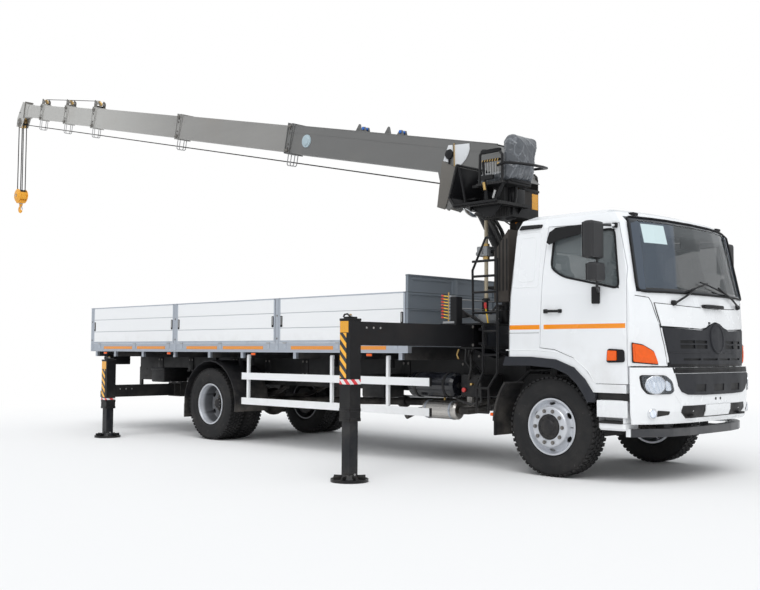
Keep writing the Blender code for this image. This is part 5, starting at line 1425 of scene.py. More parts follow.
class CRANE_OT_bumper_parts(PieceOperator, bpy.types.Operator):
    """Lower grille, headlamps, turn lamps, fog lamps and the blank plate"""
    bl_idname = "crane_truck.bumper_parts"
    bl_label = "Bumper and lamps"

    def make(self, context):
        """Make what the bumper carries, and the turn lamps above it."""
        own = sizes(context, "cab_sizes")
        self.lower_grille()
        for side, label in SIDES:
            self.lamps(side, label, own.lamp_lift)

    def lower_grille(self):
        """Dark middle of the bumper with three openings, and the intake with a blank plate."""
        outline = mirrored(
            [(-0.79, 1.094), (-0.755, 0.975), (-0.7, 0.915), (-0.6, 0.884), (-0.3, 0.876)])
        panel = Form("grille_grey").draped(outline, bumper_x, 0.011, 0.013).item("lower_grille")
        cuts = Form("grille_grey")
        for low, high in ((-0.48, -0.28), (-0.11, 0.11), (0.28, 0.48)):
            cuts.box((1.0, 1.5), (low, high), (0.912, 0.985), 0)
        settle(cut_away(panel, [cuts.item("cuts")]), "cab")
        dark = Form("black_plastic")
        dark.draped(mirrored([(-0.82, 1.1545), (-0.805, 1.1)]), bumper_x, 0.003, 0.005)
        dark.draped(mirrored([(-0.815, 1.205), (-0.815, 1.162)]), cab_x, 0.012, 0.014)
        dark.draped(mirrored([(-0.52, 1.0), (-0.52, 0.9)]), bumper_x, 0.003, 0.004)
        dark.draped(mirrored([(-0.67, 0.775), (-0.7, 0.715), (-0.6, 0.648)]), bumper_x, 0.004,
                    0.006)
        for side in (-1, 1):
            dark.draped(oval((side * 0.052, 0.832), (0.014, 0.014), 12), bumper_x, 0.004, 0.006)
            dark.box((1.262, 1.302), y_span(0.47, 0.6, side), (0.652, 0.676), 0.006)
        for z in (1.112, 1.135):
            dark.tube(
                on_front(finer([(-0.78, z), (0.78, z)], 0.08, False), bumper_x, 0.004), 0.006, 6)
        dark.piece("bumper_openings", "cab", "cab_trim")
        plate = Form("panel_white", "nut_steel")
        plate.draped(rounded(four((-0.27, 0.27), (0.66, 0.775)), 0.012), bumper_x, 0.016, 0.01)
        plate.piece("blank_front_plate", "cab", "cab_white")
        lip = Form("panel_white")
        for side in (-1, 1):
            crease = [(side * a, b) for a, b in ((0.8, 0.885), (0.72, 0.8), (0.68, 0.64))]
            lip.tube(on_front(finer(crease, 0.07, False), bumper_x, -0.002), 0.006, 6)
        lip.tube(on_front(finer([(-1.12, 0.618), (1.12, 0.618)], 0.08, False), bumper_x, -0.002),
                 0.007, 6)
        lip.piece("bumper_creases", "cab", "cab_white")

    def lamps(self, side, label, lift):
        """Headlamp, fog lamp and turn lamp of one side."""
        def over(points):
            """The outline on this side."""
            return [(side * a, b) for a, b in points]
        head = [(1.15, 1.082), (0.905, 1.08), (0.838, 1.025), (0.812, 0.925), (0.845, 0.895),
                (1.085, 0.892), (1.135, 0.96)]
        bowl_at = (side * 1.01, 0.986)
        form = Form("black_plastic", "lamp_bowl", "chrome")
        form.draped(over(rounded(head, 0.03)), bumper_x, 0.007, 0.01, 0.04)
        form.using("lamp_bowl")
        for reach, rise in ((0.084, 0.01), (0.06, 0.0125), (0.036, 0.015)):
            form.draped(oval(bowl_at, (reach * 1.12, reach), 24), bumper_x, rise, 0.006, 0.03)
        form.draped(over(rounded([(0.91, 1.035), (0.862, 1.005), (0.845, 0.93), (0.905, 0.925)],
                                 0.02)), bumper_x, 0.0095, 0.004)
        form.using("chrome").tube(
            on_front(oval(bowl_at, (0.098, 0.088), 28), bumper_x, 0.011), 0.0045, 6, True)
        form.piece("headlamp_inner_" + label, "cab", "window_glass")
        lens_piece = Form("lamp_glass")
        lens_piece.draped(
            over(rounded([(1.143, 1.076), (0.908, 1.073), (0.845, 1.02), (0.819, 0.928),
                          (0.85, 0.901), (1.082, 0.898), (1.128, 0.962)], 0.03)), bumper_x, 0.021,
            0.004, 0.04)
        lens_piece.piece("headlamp_lens_" + label, "cab", "window_glass")
        fog = Form("black_plastic", "lamp_bowl", "chrome")
        fog.draped(over(rounded([(0.985, 0.735), (0.85, 0.725), (0.85, 0.69), (0.985, 0.672)],
                                0.012)), bumper_x, 0.004, 0.006)
        spot = (side * 1.035, 0.704)
        x = bumper_x(*spot)
        way = (1.0, side * 0.35, 0)
        fog.using("lamp_bowl").turned([(0, 0.002), (0.036, 0.004), (0.043, -0.006), (0.043, -0.02),
                                       (0, -0.02)][::-1], (x + 0.006, *spot), way, 24)
        fog.using("chrome").turned([(0.041, -0.02), (0.041, 0.008), (0.047, 0.011), (0.053, 0.006),
                                    (0.055, -0.02)], (x + 0.004, *spot), way, 24, closed=True)
        fog.piece("fog_lamp_" + label, "cab", "window_glass")
        turn = [(1.214, 1.392), (1.1, 1.374), (0.985, 1.31), (0.932, 1.19), (1.19, 1.212)]
        base = Form("black_plastic", "amber_lens")
        base.draped(over(rounded([(1.217, 1.402), (1.1, 1.384), (0.978, 1.318), (0.922, 1.18),
                                  (1.2, 1.202)], 0.015)), cab_x, 0.005, 0.008, 0.04)
        base.using("amber_lens").draped(over(rounded(turn, 0.02)), cab_x, lift, 0.012, 0.04)
        base.draped(over(rounded([(1.19, 1.377), (1.105, 1.36), (1.0, 1.303), (0.955, 1.205),
                                  (1.17, 1.224)], 0.02)), cab_x, lift + 0.004, 0.008, 0.04)
        base.piece("turn_lamp_" + label, "cab", "window_glass")


class CRANE_OT_cab_sides(PieceOperator, bpy.types.Operator):
    """Door glass, handles, arch flares, rear vents, roof lamps and mirror glass"""
    bl_idname = "crane_truck.cab_sides"
    bl_label = "Cab sides and doors"

    def make(self, context):
        """Make both sides."""
        own = sizes(context, "cab_sizes")
        for side, label in SIDES:
            self.door(side, label, own)
            self.wall(side, label)
        self.rear(own)

    def door(self, side, label, own):
        """What rides on a door."""
        body = "door_%s_panel" % label
        pane = Form("door_glass")
        pane.draped(DOOR_WINDOW, side_wall, -0.016, 0.005, 0.08, side)
        pane.piece("door_window_" + label, body, "window_glass")
        form = Form("black_rubber", "black_plastic", "mirror")
        window = finer(rounded(DOOR_WINDOW, 0.07), 0.08)
        form.tube(on_side(window, side, 0.001), own.seal * 1.2, 8, True)
        form.using("black_plastic")
        form.draped(
            [(0.005, 2.455), (0.035, 2.56), (0.12, 2.605), (0.5, 2.612), (0.6, 2.595), (0.6, 2.55),
             (0.45, 2.52), (0.16, 2.47), (0.04, 2.43)], side_wall, 0.05, 0.01, 0.1, side)
        form.box((0.1, 0.56), y_span(cab_half(2.59) - 0.01, cab_half(2.59) + 0.046, side),
                 (2.588, 2.604), 0.004)
        y = cab_half(1.73)
        form.tube([(-0.005, side * (y - 0.01), 1.73), (0.005, side * (y + 0.026), 1.73),
                   (0.165, side * (y + 0.028), 1.728), (0.18, side * (y - 0.01), 1.727)], 0.014, 8)
        form.box((-0.03, 0.02), y_span(y - 0.004, y + 0.02, side), (1.708, 1.752), 0.008)
        form.box((0.15, 0.196), y_span(y - 0.004, y + 0.018, side), (1.709, 1.748), 0.008)
        form.box((0.56, 0.65), y_span(1.205, 1.242, side), (1.79, 1.965), 0.012)
        form.box((0.775, 0.825), y_span(1.15, 1.185, side), (2.55, 2.6), 0.006)
        form.draped(rounded([(0.725, 1.2), (0.928, 1.205), (0.924, 1.33), (0.738, 1.34)], 0.03),
                    side_wall, 0.012, 0.016, 0.08, side)
        for z0, z1, y0, y1, x in (
                (2.245, 2.58, 1.34, 1.525, 0.6552), (2.018, 2.167, 1.355, 1.52, 0.6902)):
            form.using("black_plastic")
            form.box((x - 0.01, x + 0.004), y_span(y0 - 0.006, y1 + 0.006, side),
                     (z0 - 0.006, z1 + 0.006), 0.005)
            form.using("mirror").box((x - 0.013, x - 0.009), y_span(y0, y1, side), (z0, z1), 0.001)
        form.piece("door_fittings_" + label, body, "cab_trim")
        lamp = Form("amber_lens", "panel_white")
        lamp.draped(rounded([(0.738, 1.222), (0.845, 1.224), (0.845, 1.318), (0.746, 1.322)],
                            0.012), side_wall, 0.024, 0.014, 0.06, side)
        lamp.using("panel_white").turned(
            [(0, 0.004), (0.034, 0.004), (0.052, 0.0), (0.052, -0.004), (0, -0.004)][::-1],
            (0.085, side * y, 1.728), (0, side, 0), 28)
        lamp.turned([(0, 0.005), (0.011, 0.004), (0.013, -0.003), (0, -0.003)][::-1],
                    (0.035, side * cab_half(1.64), 1.64), (0, side, 0), 14)
        lamp.piece("side_repeater_" + label, body, "cab_trim")

    def wall(self, side, label):
        """What rides on the cab's own wall."""
        flare = Form("flare_grey")
        outer = [(0.592, 0.885), (0.562, 0.892), (0.47, 1.028), (0.34, 1.148), (0.12, 1.228),
                 (-0.2, 1.253), (-0.528, 1.253)]
        inner = [(-0.56, 1.165), (-0.2, 1.168), (0.09, 1.147), (0.26, 1.085), (0.375, 0.985),
                 (0.458, 0.87), (0.5, 0.8), (0.575, 0.8)]
        flare.draped(finer(outer, 0.06, False) + finer(inner, 0.06, False), side_wall, 0.016, 0.05,
                     0.09, side)
        flare.tube(on_side(finer(inner[:-1], 0.06, False), side, 0.008), 0.011, 8)
        flare.piece("arch_flare_" + label, "cab", "cab_trim")
        form = Form("panel_white", "black_plastic", "black_rubber")
        for ring in ([(-0.445, 1.995), (-0.105, 1.995), (-0.09, 2.585), (-0.415, 2.585)],
                     [(-0.375, 2.055), (-0.165, 2.055), (-0.155, 2.53), (-0.35, 2.53)]):
            form.tube(on_side(finer(rounded(ring, 0.05), 0.1), side, -0.001), 0.005, 6, True)
        lip = [(0.585, 0.985), (0.505, 1.11), (0.35, 1.232), (0.12, 1.3), (-0.1, 1.322),
               (-0.528, 1.322)]
        form.tube(on_side(finer(lip, 0.06, False), side, -0.002), 0.006, 6)
        form.using("black_rubber")
        form.tube(on_side([(-0.525, 1.505), (-0.092, 1.505)], side, -0.001), 0.0025, 6)
        form.using("black_plastic")
        form.draped(rounded([(-0.385, 2.618), (-0.098, 2.622), (-0.09, 2.662), (-0.365, 2.668)],
                            0.012), side_wall, 0.018, 0.022, 0.08, side)
        for x in (-0.34, -0.28, -0.22, -0.16):
            form.tube(on_side([(x, 2.632), (x + 0.035, 2.632)], side, 0.019), 0.004, 6)
        form.piece("cab_wall_trim_" + label, "cab", "cab_white")
        roof = Form("black_plastic", "clear_lens")
        roof.box((0.645, 0.745), y_span(1.025, 1.085, side), (2.7, 2.728), 0.008)
        roof.using("clear_lens").box(
            (0.655, 0.735), y_span(1.032, 1.078, side), (2.722, 2.745), 0.008)
        roof.using("black_plastic").box(
            (0.8, 0.885), y_span(0.86, 0.96, side), (2.692, 2.722), 0.008)
        roof.piece("roof_lamps_" + label, "cab", "window_glass")

    def rear(self, own):
        """Rear window and the cab's rear wall ribs."""
        window = rounded(four((-0.55, 0.55), (2.03, 2.45)), 0.05)
        pane = Form("door_glass")
        pane.draped(four((-0.555, 0.555), (2.028, 2.452)), rear_wall, 0.02, 0.006, 0.12)
        pane.piece("rear_window", "cab", "window_glass")
        form = Form("black_rubber", "panel_white")
        form.tube(
            [(rear_wall(a, b) - 0.001, a, b) for a, b in finer(window, 0.12)], own.seal, 8, True)
        form.using("panel_white")
        for y in (-0.95, -0.72, 0.72, 0.95):
            form.tube([(-0.531, y, 1.17), (-0.531, y, 1.45),
                       (rear_wall(0, 1.92) - 0.001, y, 1.88)], 0.012, 6)
        form.piece("rear_wall_trim", "cab", "cab_trim")


class CRANE_OT_cab_inside(PieceOperator, bpy.types.Operator):
    """Dashboard binnacle, gear lever, sun blinds and papers seen through the glass"""
    bl_idname = "crane_truck.cab_inside"
    bl_label = "Cab inside"

    def make(self, context):
        """Make what shows through the glass."""
        form = Form("cab_trim", "black_plastic", "paper")
        form.slab([(0.56, 1.74), (0.8, 1.9), (0.78, 1.97), (0.6, 1.94), (0.52, 1.8)],
                  (0.34, 0.78), "Y", 0.012)
        form.box((0.6, 0.8), (-0.3, 0.1), (1.74, 1.86), 0.02)
        form.using("black_plastic")
        for y in (-0.58, 0.58):
            form.box((0.69, 0.71), (y - 0.22, y + 0.22), (2.46, 2.6), 0.006)
            form.tube([(-0.29, y - 0.18, 2.18), (-0.28, y - 0.1, 2.34), (-0.27, y + 0.1, 2.34),
                       (-0.29, y + 0.18, 2.18)], 0.05, 10)
        form.rod((0.24, 0.1, 1.24), (0.22, 0.12, 1.62), 0.012, 10)
        form.turned([(0, 0.04), (0.02, 0.035), (0.028, 0.01), (0.015, -0.02), (0, -0.02)][::-1],
                    (0.22, 0.12, 1.63), (0, 0, 1), 14)
        form.using("paper").draped(
            [(-0.72, 2.33), (-0.5, 2.33), (-0.52, 2.58), (-0.74, 2.58)], cab_x, -0.06, 0.002)
        form.box((0.8, 0.95), (0.36, 0.52), (1.882, 1.885), 0.0)
        form.piece("cab_inside", "cab", "cab_trim")


# ---- wheels ----
def tyre_form(form, middle, sizes_of, face=1):
    """A tyre about its middle: carcass with wall rings, and rows of tread blocks."""
    depth = sizes_of.depth
    carcass = TYRE_R - depth
    half = [(0.287, 0.1042), (0.302, 0.1043), (0.312, 0.118), (0.325, 0.1285), (0.333, 0.133),
            (0.341, 0.1345), (0.349, 0.133), (0.356, 0.1345), (0.4, 0.1392), (0.404, 0.1402),
            (0.41, 0.1392), (0.44, 0.1382), (0.47, 0.132), (0.49, 0.1245),
            (carcass - 0.004, 0.113), (carcass, 0.098), (carcass, 0.0)]
    profile = half + [(radius, -offset) for radius, offset in half[-2::-1]]
    form.turned(profile, middle, (0, face, 0), 72, closed=True)
    rows = ((-0.098, 0.048, 0.0, 0.1), (-0.048, 0.036, 0.5, -0.25), (0.0, 0.034, 0.0, 0.25),
            (0.048, 0.036, 0.5, -0.25), (0.098, 0.048, 0.0, 0.1))
    pitch = 2 * math.pi / sizes_of.lugs
    for offset, wide, phase, skew in rows:
        long = pitch * TYRE_R * (0.6 if abs(offset) > 0.09 else 0.74)
        made = grown("tread", [((0, 0, 0), (0, 0, 1))], Count=sizes_of.lugs,
                     Radius=TYRE_R - depth / 2 - 0.003, Block=(depth + 0.005, long, wide),
                     Skew=skew, Finish=finish("tyre"))
        turn = Matrix.Rotation(math.radians(-90 * face), 4, "X")
        spin = Matrix.Rotation(phase * pitch, 4, "Z")
        made.data.transform(
            Matrix.Translation(Vector(middle) + Vector((0, offset, 0))) @ turn @ spin)
        before = len(form.bm.faces)
        form.bm.from_mesh(made.data)
        form.own(before)
        bpy.data.objects.remove(made)
    return form


DISC = ((0.1345, 0.165), (0.198, 0.165), (0.209, 0.159), (0.218, 0.145), (0.231, 0.115),
        (0.246, 0.094), (0.258, 0.086), (0.267, 0.092), (0.274, 0.108), (0.282, 0.118),
        (0.2985, 0.118), (0.2985, 0.1105), (0.2868, 0.104), (0.2868, -0.104), (0.2985, -0.1105),
        (0.2985, -0.118), (0.278, -0.118), (0.268, 0.055), (0.258, 0.07), (0.24, 0.082),
        (0.224, 0.106), (0.211, 0.138), (0.2, 0.15), (0.1345, 0.15))
DEEP_DISC = (
    (0.085, 0.01), (0.188, 0.01), (0.2, 0.018), (0.226, 0.036), (0.246, 0.046), (0.256, 0.06),
    (0.272, 0.262), (0.28, 0.278), (0.2985, 0.278), (0.2985, 0.2705), (0.2868, 0.264),
    (0.2868, 0.056), (0.2985, 0.0495), (0.2985, 0.042), (0.272, 0.042), (0.252, 0.033),
    (0.23, 0.024), (0.204, 0.005), (0.186, -0.002), (0.085, -0.002))


HOLE_RING = 0.242                                   # hand holes, from the wheel's axis


def wheel_disc(name, profile, middle, face, holes):
    """A pressed wheel with hand holes, about the middle of its hub."""
    disc = Form("rim").turned(profile, middle, (0, face, 0), 72, closed=True).item(name)
    cuts = Form("rim")
    for hole in range(holes):
        angle = 2 * math.pi * (hole + 0.5) / holes
        at = (middle[0] + HOLE_RING * math.cos(angle), middle[2] + HOLE_RING * math.sin(angle))
        outline = []
        for across, along in oval((0, 0), (0.0165, 0.037), 16):
            outline.append((at[0] + across * math.cos(angle) - along * math.sin(angle),
                            at[1] + across * math.sin(angle) + along * math.cos(angle)))
        cuts.slab(outline, y_span(abs(middle[1]) - 0.2, abs(middle[1]) + 0.3,
                                  1 if middle[1] > 0 else -1), "Y", 0)
    return cut_away(disc, [cuts.item("cuts")])


def ring_spots(middle, radius, offset, count, face, start=0.0):
    """Spots round a wheel, all aiming outwards."""
    spots = []
    for index in range(count):
        angle = 2 * math.pi * (index + start) / count
        spots.append(((middle[0] + radius * math.cos(angle), middle[1] + face * offset,
                       middle[2] + radius * math.sin(angle)), (0, face, 0)))
    return spots


class CRANE_OT_front_wheels(PieceOperator, bpy.types.Operator):
    """Front tyres, pressed wheels with hand holes, hubs and nuts"""
    bl_idname = "crane_truck.front_wheels"
    bl_label = "Front wheels"

    def make(self, context):
        """Make both front wheels."""
        own = sizes(context, "wheel_sizes")
        for face, label in SIDES:
            body = "front_wheel_" + label
            middle = (0, face * FRONT_WHEEL_Y, TYRE_R)
            tyre = tyre_form(Form("tyre"), middle, own, face).piece(
                "tyre_front_" + label, body, "tyre", 50)
            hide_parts("front_tyre_" + label)
            disc = wheel_disc("wheel_front_" + label, DISC, middle, face, own.hand_holes)
            settle(disc, body)
            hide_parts("front_rim_" + label)
            hub = Form("hub_black")
            hub.turned([(0, 0.1), (0, 0.205), (0.058, 0.204), (0.076, 0.197), (0.083, 0.188),
                        (0.112, 0.185), (0.124, 0.178), (0.13, 0.164), (0.13, 0.1)], middle,
                       (0, face, 0), 40)
            hub.turned([(0, -0.116), (0.205, -0.116), (0.209, -0.108), (0.209, 0.05),
                        (0.195, 0.074), (0.15, 0.1), (0, 0.1)], middle, (0, face, 0), 40)
            hub.rod((middle[0] + 0.25, middle[1] + face * 0.085, middle[2]),
                    (middle[0] + 0.253, middle[1] + face * 0.13, middle[2] + 0.004), 0.005, 8)
            hub.piece("hub_front_" + label, body, "rim")
            screws("wheel_nuts_front_" + label, body,
                   ring_spots(middle, 0.17, 0.173, own.studs, face), 0.0155, 0.026, "nut_steel")
            screws("hub_bolts_front_" + label, body,
                   ring_spots(middle, 0.1, 0.1865, 8, face), 0.008, 0.01, "hub_black")


class CRANE_OT_rear_wheels(PieceOperator, bpy.types.Operator):
    """Twin rear tyres on deep wheels, with hubs and nuts"""
    bl_idname = "crane_truck.rear_wheels"
    bl_label = "Rear wheels"

    def make(self, context):
        """Make both pairs."""
        own = sizes(context, "wheel_sizes")
        for face, label in SIDES:
            body = "rear_wheel_pair_" + label
            middle = Vector((-WHEELBASE, face * REAR_WHEEL_Y, TYRE_R))
            form = Form("tyre")
            for step in (TWIN_STEP, -TWIN_STEP):
                tyre_form(form, middle + Vector((0, face * step, 0)), own, face)
            tyres = form.piece("tyres_rear_" + label, body, "tyre", 50)
            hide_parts("rear_wheels_" + label)
            outer = wheel_disc(
                "wheel_rear_outer_" + label, DEEP_DISC, middle, face, own.hand_holes)
            settle(outer, body)
            inner_profile = [(radius, -offset - 0.0045) for radius, offset in DEEP_DISC]
            inner_profile = [(radius, max(offset, -0.2775)) for radius, offset in inner_profile]
            inner = wheel_disc(
                "wheel_rear_inner_" + label, inner_profile, middle, face, own.hand_holes)
            settle(inner, body)
            hub = Form("hub_black")
            hub.turned([(0, -0.01), (0, 0.152), (0.06, 0.15), (0.074, 0.14), (0.08, 0.06),
                        (0.084, 0.04), (0.084, -0.01)], middle, (0, face, 0), 36)
            hub.turned([(0, -0.278), (0.205, -0.278), (0.208, -0.268), (0.208, -0.11),
                        (0.19, -0.075), (0.12, -0.04), (0, -0.04)], middle, (0, face, 0), 40)
            hub.piece("hub_rear_" + label, body, "rim")
            screws("wheel_nuts_rear_" + label, body,
                   ring_spots(middle, 0.165, 0.018, own.studs, face), 0.0155, 0.03, "nut_steel")
            screws("hub_bolts_rear_" + label, body,
                   ring_spots(middle, 0.068, 0.146, 8, face), 0.008, 0.014)


# ---- bed and chassis ----
GATE_SPANS = {"front": (-4.348, -1.996), "middle": (-6.799, -4.43), "rear": (-9.314, -6.881)}
POSTS = (-4.389, -6.84, -9.355)
TAPE = ((-8.955, -8.072), (-7.921, -7.113), (-6.53, -5.755), (-5.609, -4.687), (-4.09, -3.261),
        (-2.765, -2.313))
HINGE_XS = (-9.1, -8.0, -7.02, -6.66, -5.68, -4.57, -4.22, -3.18, -2.15)
GUARD_POSTS = (-5.1, -3.36, -2.35)


class CRANE_OT_gate_parts(PieceOperator, bpy.types.Operator):
    """End caps, top caps and latches of the drop sides"""
    bl_idname = "crane_truck.gate_parts"
    bl_label = "Gate fittings"

    def make(self, context):
        """Make the fittings of all seven gates."""
        low, top = BED_FLOOR_TOP + 0.004, GATE_TOP
        for side, label in SIDES:
            for place, (x0, x1) in GATE_SPANS.items():
                body = "gate_%s_%s" % (label, place)
                form = Form("silver", "black_plastic", "steel")
                for a, b in ((x0, x0 + 0.03), (x1 - 0.03, x1)):
                    form.box((a, b), y_span(BED_HALF - 0.033, BED_HALF + 0.003, side),
                             (low, top + 0.002), 0.002)
                form.box((x0, x1), y_span(BED_HALF - 0.034, BED_HALF + 0.003, side),
                         (top - 0.012, top + 0.005), 0.003)
                form.box((x0 + 0.03, x1 - 0.03), y_span(BED_HALF - 0.003, BED_HALF + 0.002, side),
                         (low, low + 0.03), 0.001)
                for x in (x0 + 0.052, x1 - 0.052):
                    form.using("black_plastic")
                    form.slab(rounded(four((x - 0.022, x + 0.022), (1.625, 1.775)), 0.012),
                              y_span(BED_HALF - 0.002, BED_HALF + 0.004, side), "Y", 0.001)
                    form.using("steel").box(
                        (x - 0.008, x + 0.008), y_span(BED_HALF + 0.002, BED_HALF + 0.01, side),
                        (1.655, 1.765), 0.003)
                form.piece("gate_trim_%s_%s" % (label, place), body, "bed_silver")
        form = Form("silver", "black_plastic")
        half = BED_HALF - 0.058
        form.box((BED_REAR - 0.003, BED_REAR + 0.034), (-half, half), (top - 0.012, top + 0.005),
                 0.003)
        for side in (-1, 1):
            form.box((BED_REAR - 0.003, BED_REAR + 0.033), y_span(half - 0.03, half, side),
                     (low, top), 0.002)
            form.using("black_plastic").box(
                (BED_REAR - 0.008, BED_REAR), y_span(half - 0.085, half - 0.045, side),
                (1.63, 1.77), 0.003)
            form.using("silver")
        form.piece("tailgate_trim", "tailgate_panel", "bed_silver")


class CRANE_OT_bed_parts(PieceOperator, bpy.types.Operator):
    """Hinges, post bolts, reflective tape, side markers and tail lamps of the bed"""
    bl_idname = "crane_truck.bed_parts"
    bl_label = "Bed fittings"

    def make(self, context):
        """Make what the bed's frame carries."""
        hinge, tape, lamp = (
            Form("silver", "steel"), Form("orange_tape"), Form("black_plastic", "amber_lens"))
        bolts = []
        for side in (-1, 1):
            def face(inner, outer):
                """A slice of the bed's outer face."""
                return y_span(BED_HALF + inner, BED_HALF + outer, side)
            for x in HINGE_XS:
                hinge.using("steel").rod((x - 0.035, side * (BED_HALF + 0.0045), BED_FLOOR_TOP),
                                         (x + 0.035, side * (BED_HALF + 0.0045), BED_FLOOR_TOP),
                                         0.0085, 12)
                hinge.using("silver").box(
                    (x - 0.028, x + 0.028), face(-0.002, 0.0055), (1.335, 1.405), 0.002)
            for zs in ((1.283, 1.2965), (1.392, 1.4045)):
                hinge.box((BED_REAR, BED_FRONT), face(-0.002, 0.003), zs, 0.001)
            for x0, x1 in TAPE:
                tape.box((x0, x1), face(-0.0005, 0.0022), (1.322, 1.368), 0)
            for x in (-8.9, -7.0, -4.9, -2.6):
                lamp.using("black_plastic").box(
                    (x - 0.055, x + 0.055), face(-0.03, 0.0), (1.235, 1.284), 0.004)
                lamp.using("amber_lens").box(
                    (x - 0.045, x + 0.045), face(-0.01, 0.01), (1.243, 1.273), 0.006)
            for x in POSTS:
                for z in (1.36, 1.47, 1.78):
                    bolts.append(((x, side * BED_HALF, z), (0, side, 0)))
                hinge.box((x - 0.04, x + 0.04), y_span(BED_HALF - 0.053, BED_HALF + 0.004, side),
                          (2.005, 2.018), 0.003)
                hinge.box((x - 0.03, x + 0.03), face(-0.002, 0.006), (1.31, 1.405), 0.002)
        hinge.piece("bed_trim", "chassis", "bed_silver")
        tape.piece("bed_tape", "chassis", "bed_silver")
        lamp.piece("side_markers", "chassis", "bed_silver")
        screws("bed_bolts", "chassis", bolts, 0.011, 0.008, "nut_steel")
        self.tail()

    def tail(self):
        """Lamps, a blank plate and the rear guard bar."""
        form = Form("black_plastic", "red_lens", "amber_lens", "clear_lens", "panel_white",
                    "chassis_black", "red_white")
        for side in (-1, 1):
            form.using("black_plastic").box(
                (-9.225, -9.135), y_span(0.64, 1.1, side), (1.06, 1.23), 0.012)
            for tone, inner, outer in (("red_lens", 0.655, 0.8), ("clear_lens", 0.805, 0.91),
                                       ("amber_lens", 0.915, 1.085)):
                form.using(tone).box(
                    (-9.24, -9.22), y_span(inner, outer, side), (1.078, 1.212), 0.008)
            form.using("black_plastic").box(
                (-9.2, -9.13), y_span(0.8, 0.9, side), (1.2, 1.3), 0.006)
            form.using("chassis_black").box(
                (-9.19, -9.12), y_span(0.38, 0.42, side), (0.52, 1.02), 0.004)
        form.using("panel_white").box((-9.245, -9.235), (-0.26, 0.26), (1.085, 1.195), 0.004)
        form.using("black_plastic").box((-9.237, -9.12), (-0.28, 0.28), (1.075, 1.205), 0.006)
        form.using("chassis_black").box((-9.26, -9.17), (-1.14, 1.14), (0.5, 0.615), 0.01)
        form.using("red_white").box((-9.2625, -9.259), (-1.12, 1.12), (0.53, 0.585), 0)
        form.piece("tail_lamps_and_guard", "chassis", "frame_black")


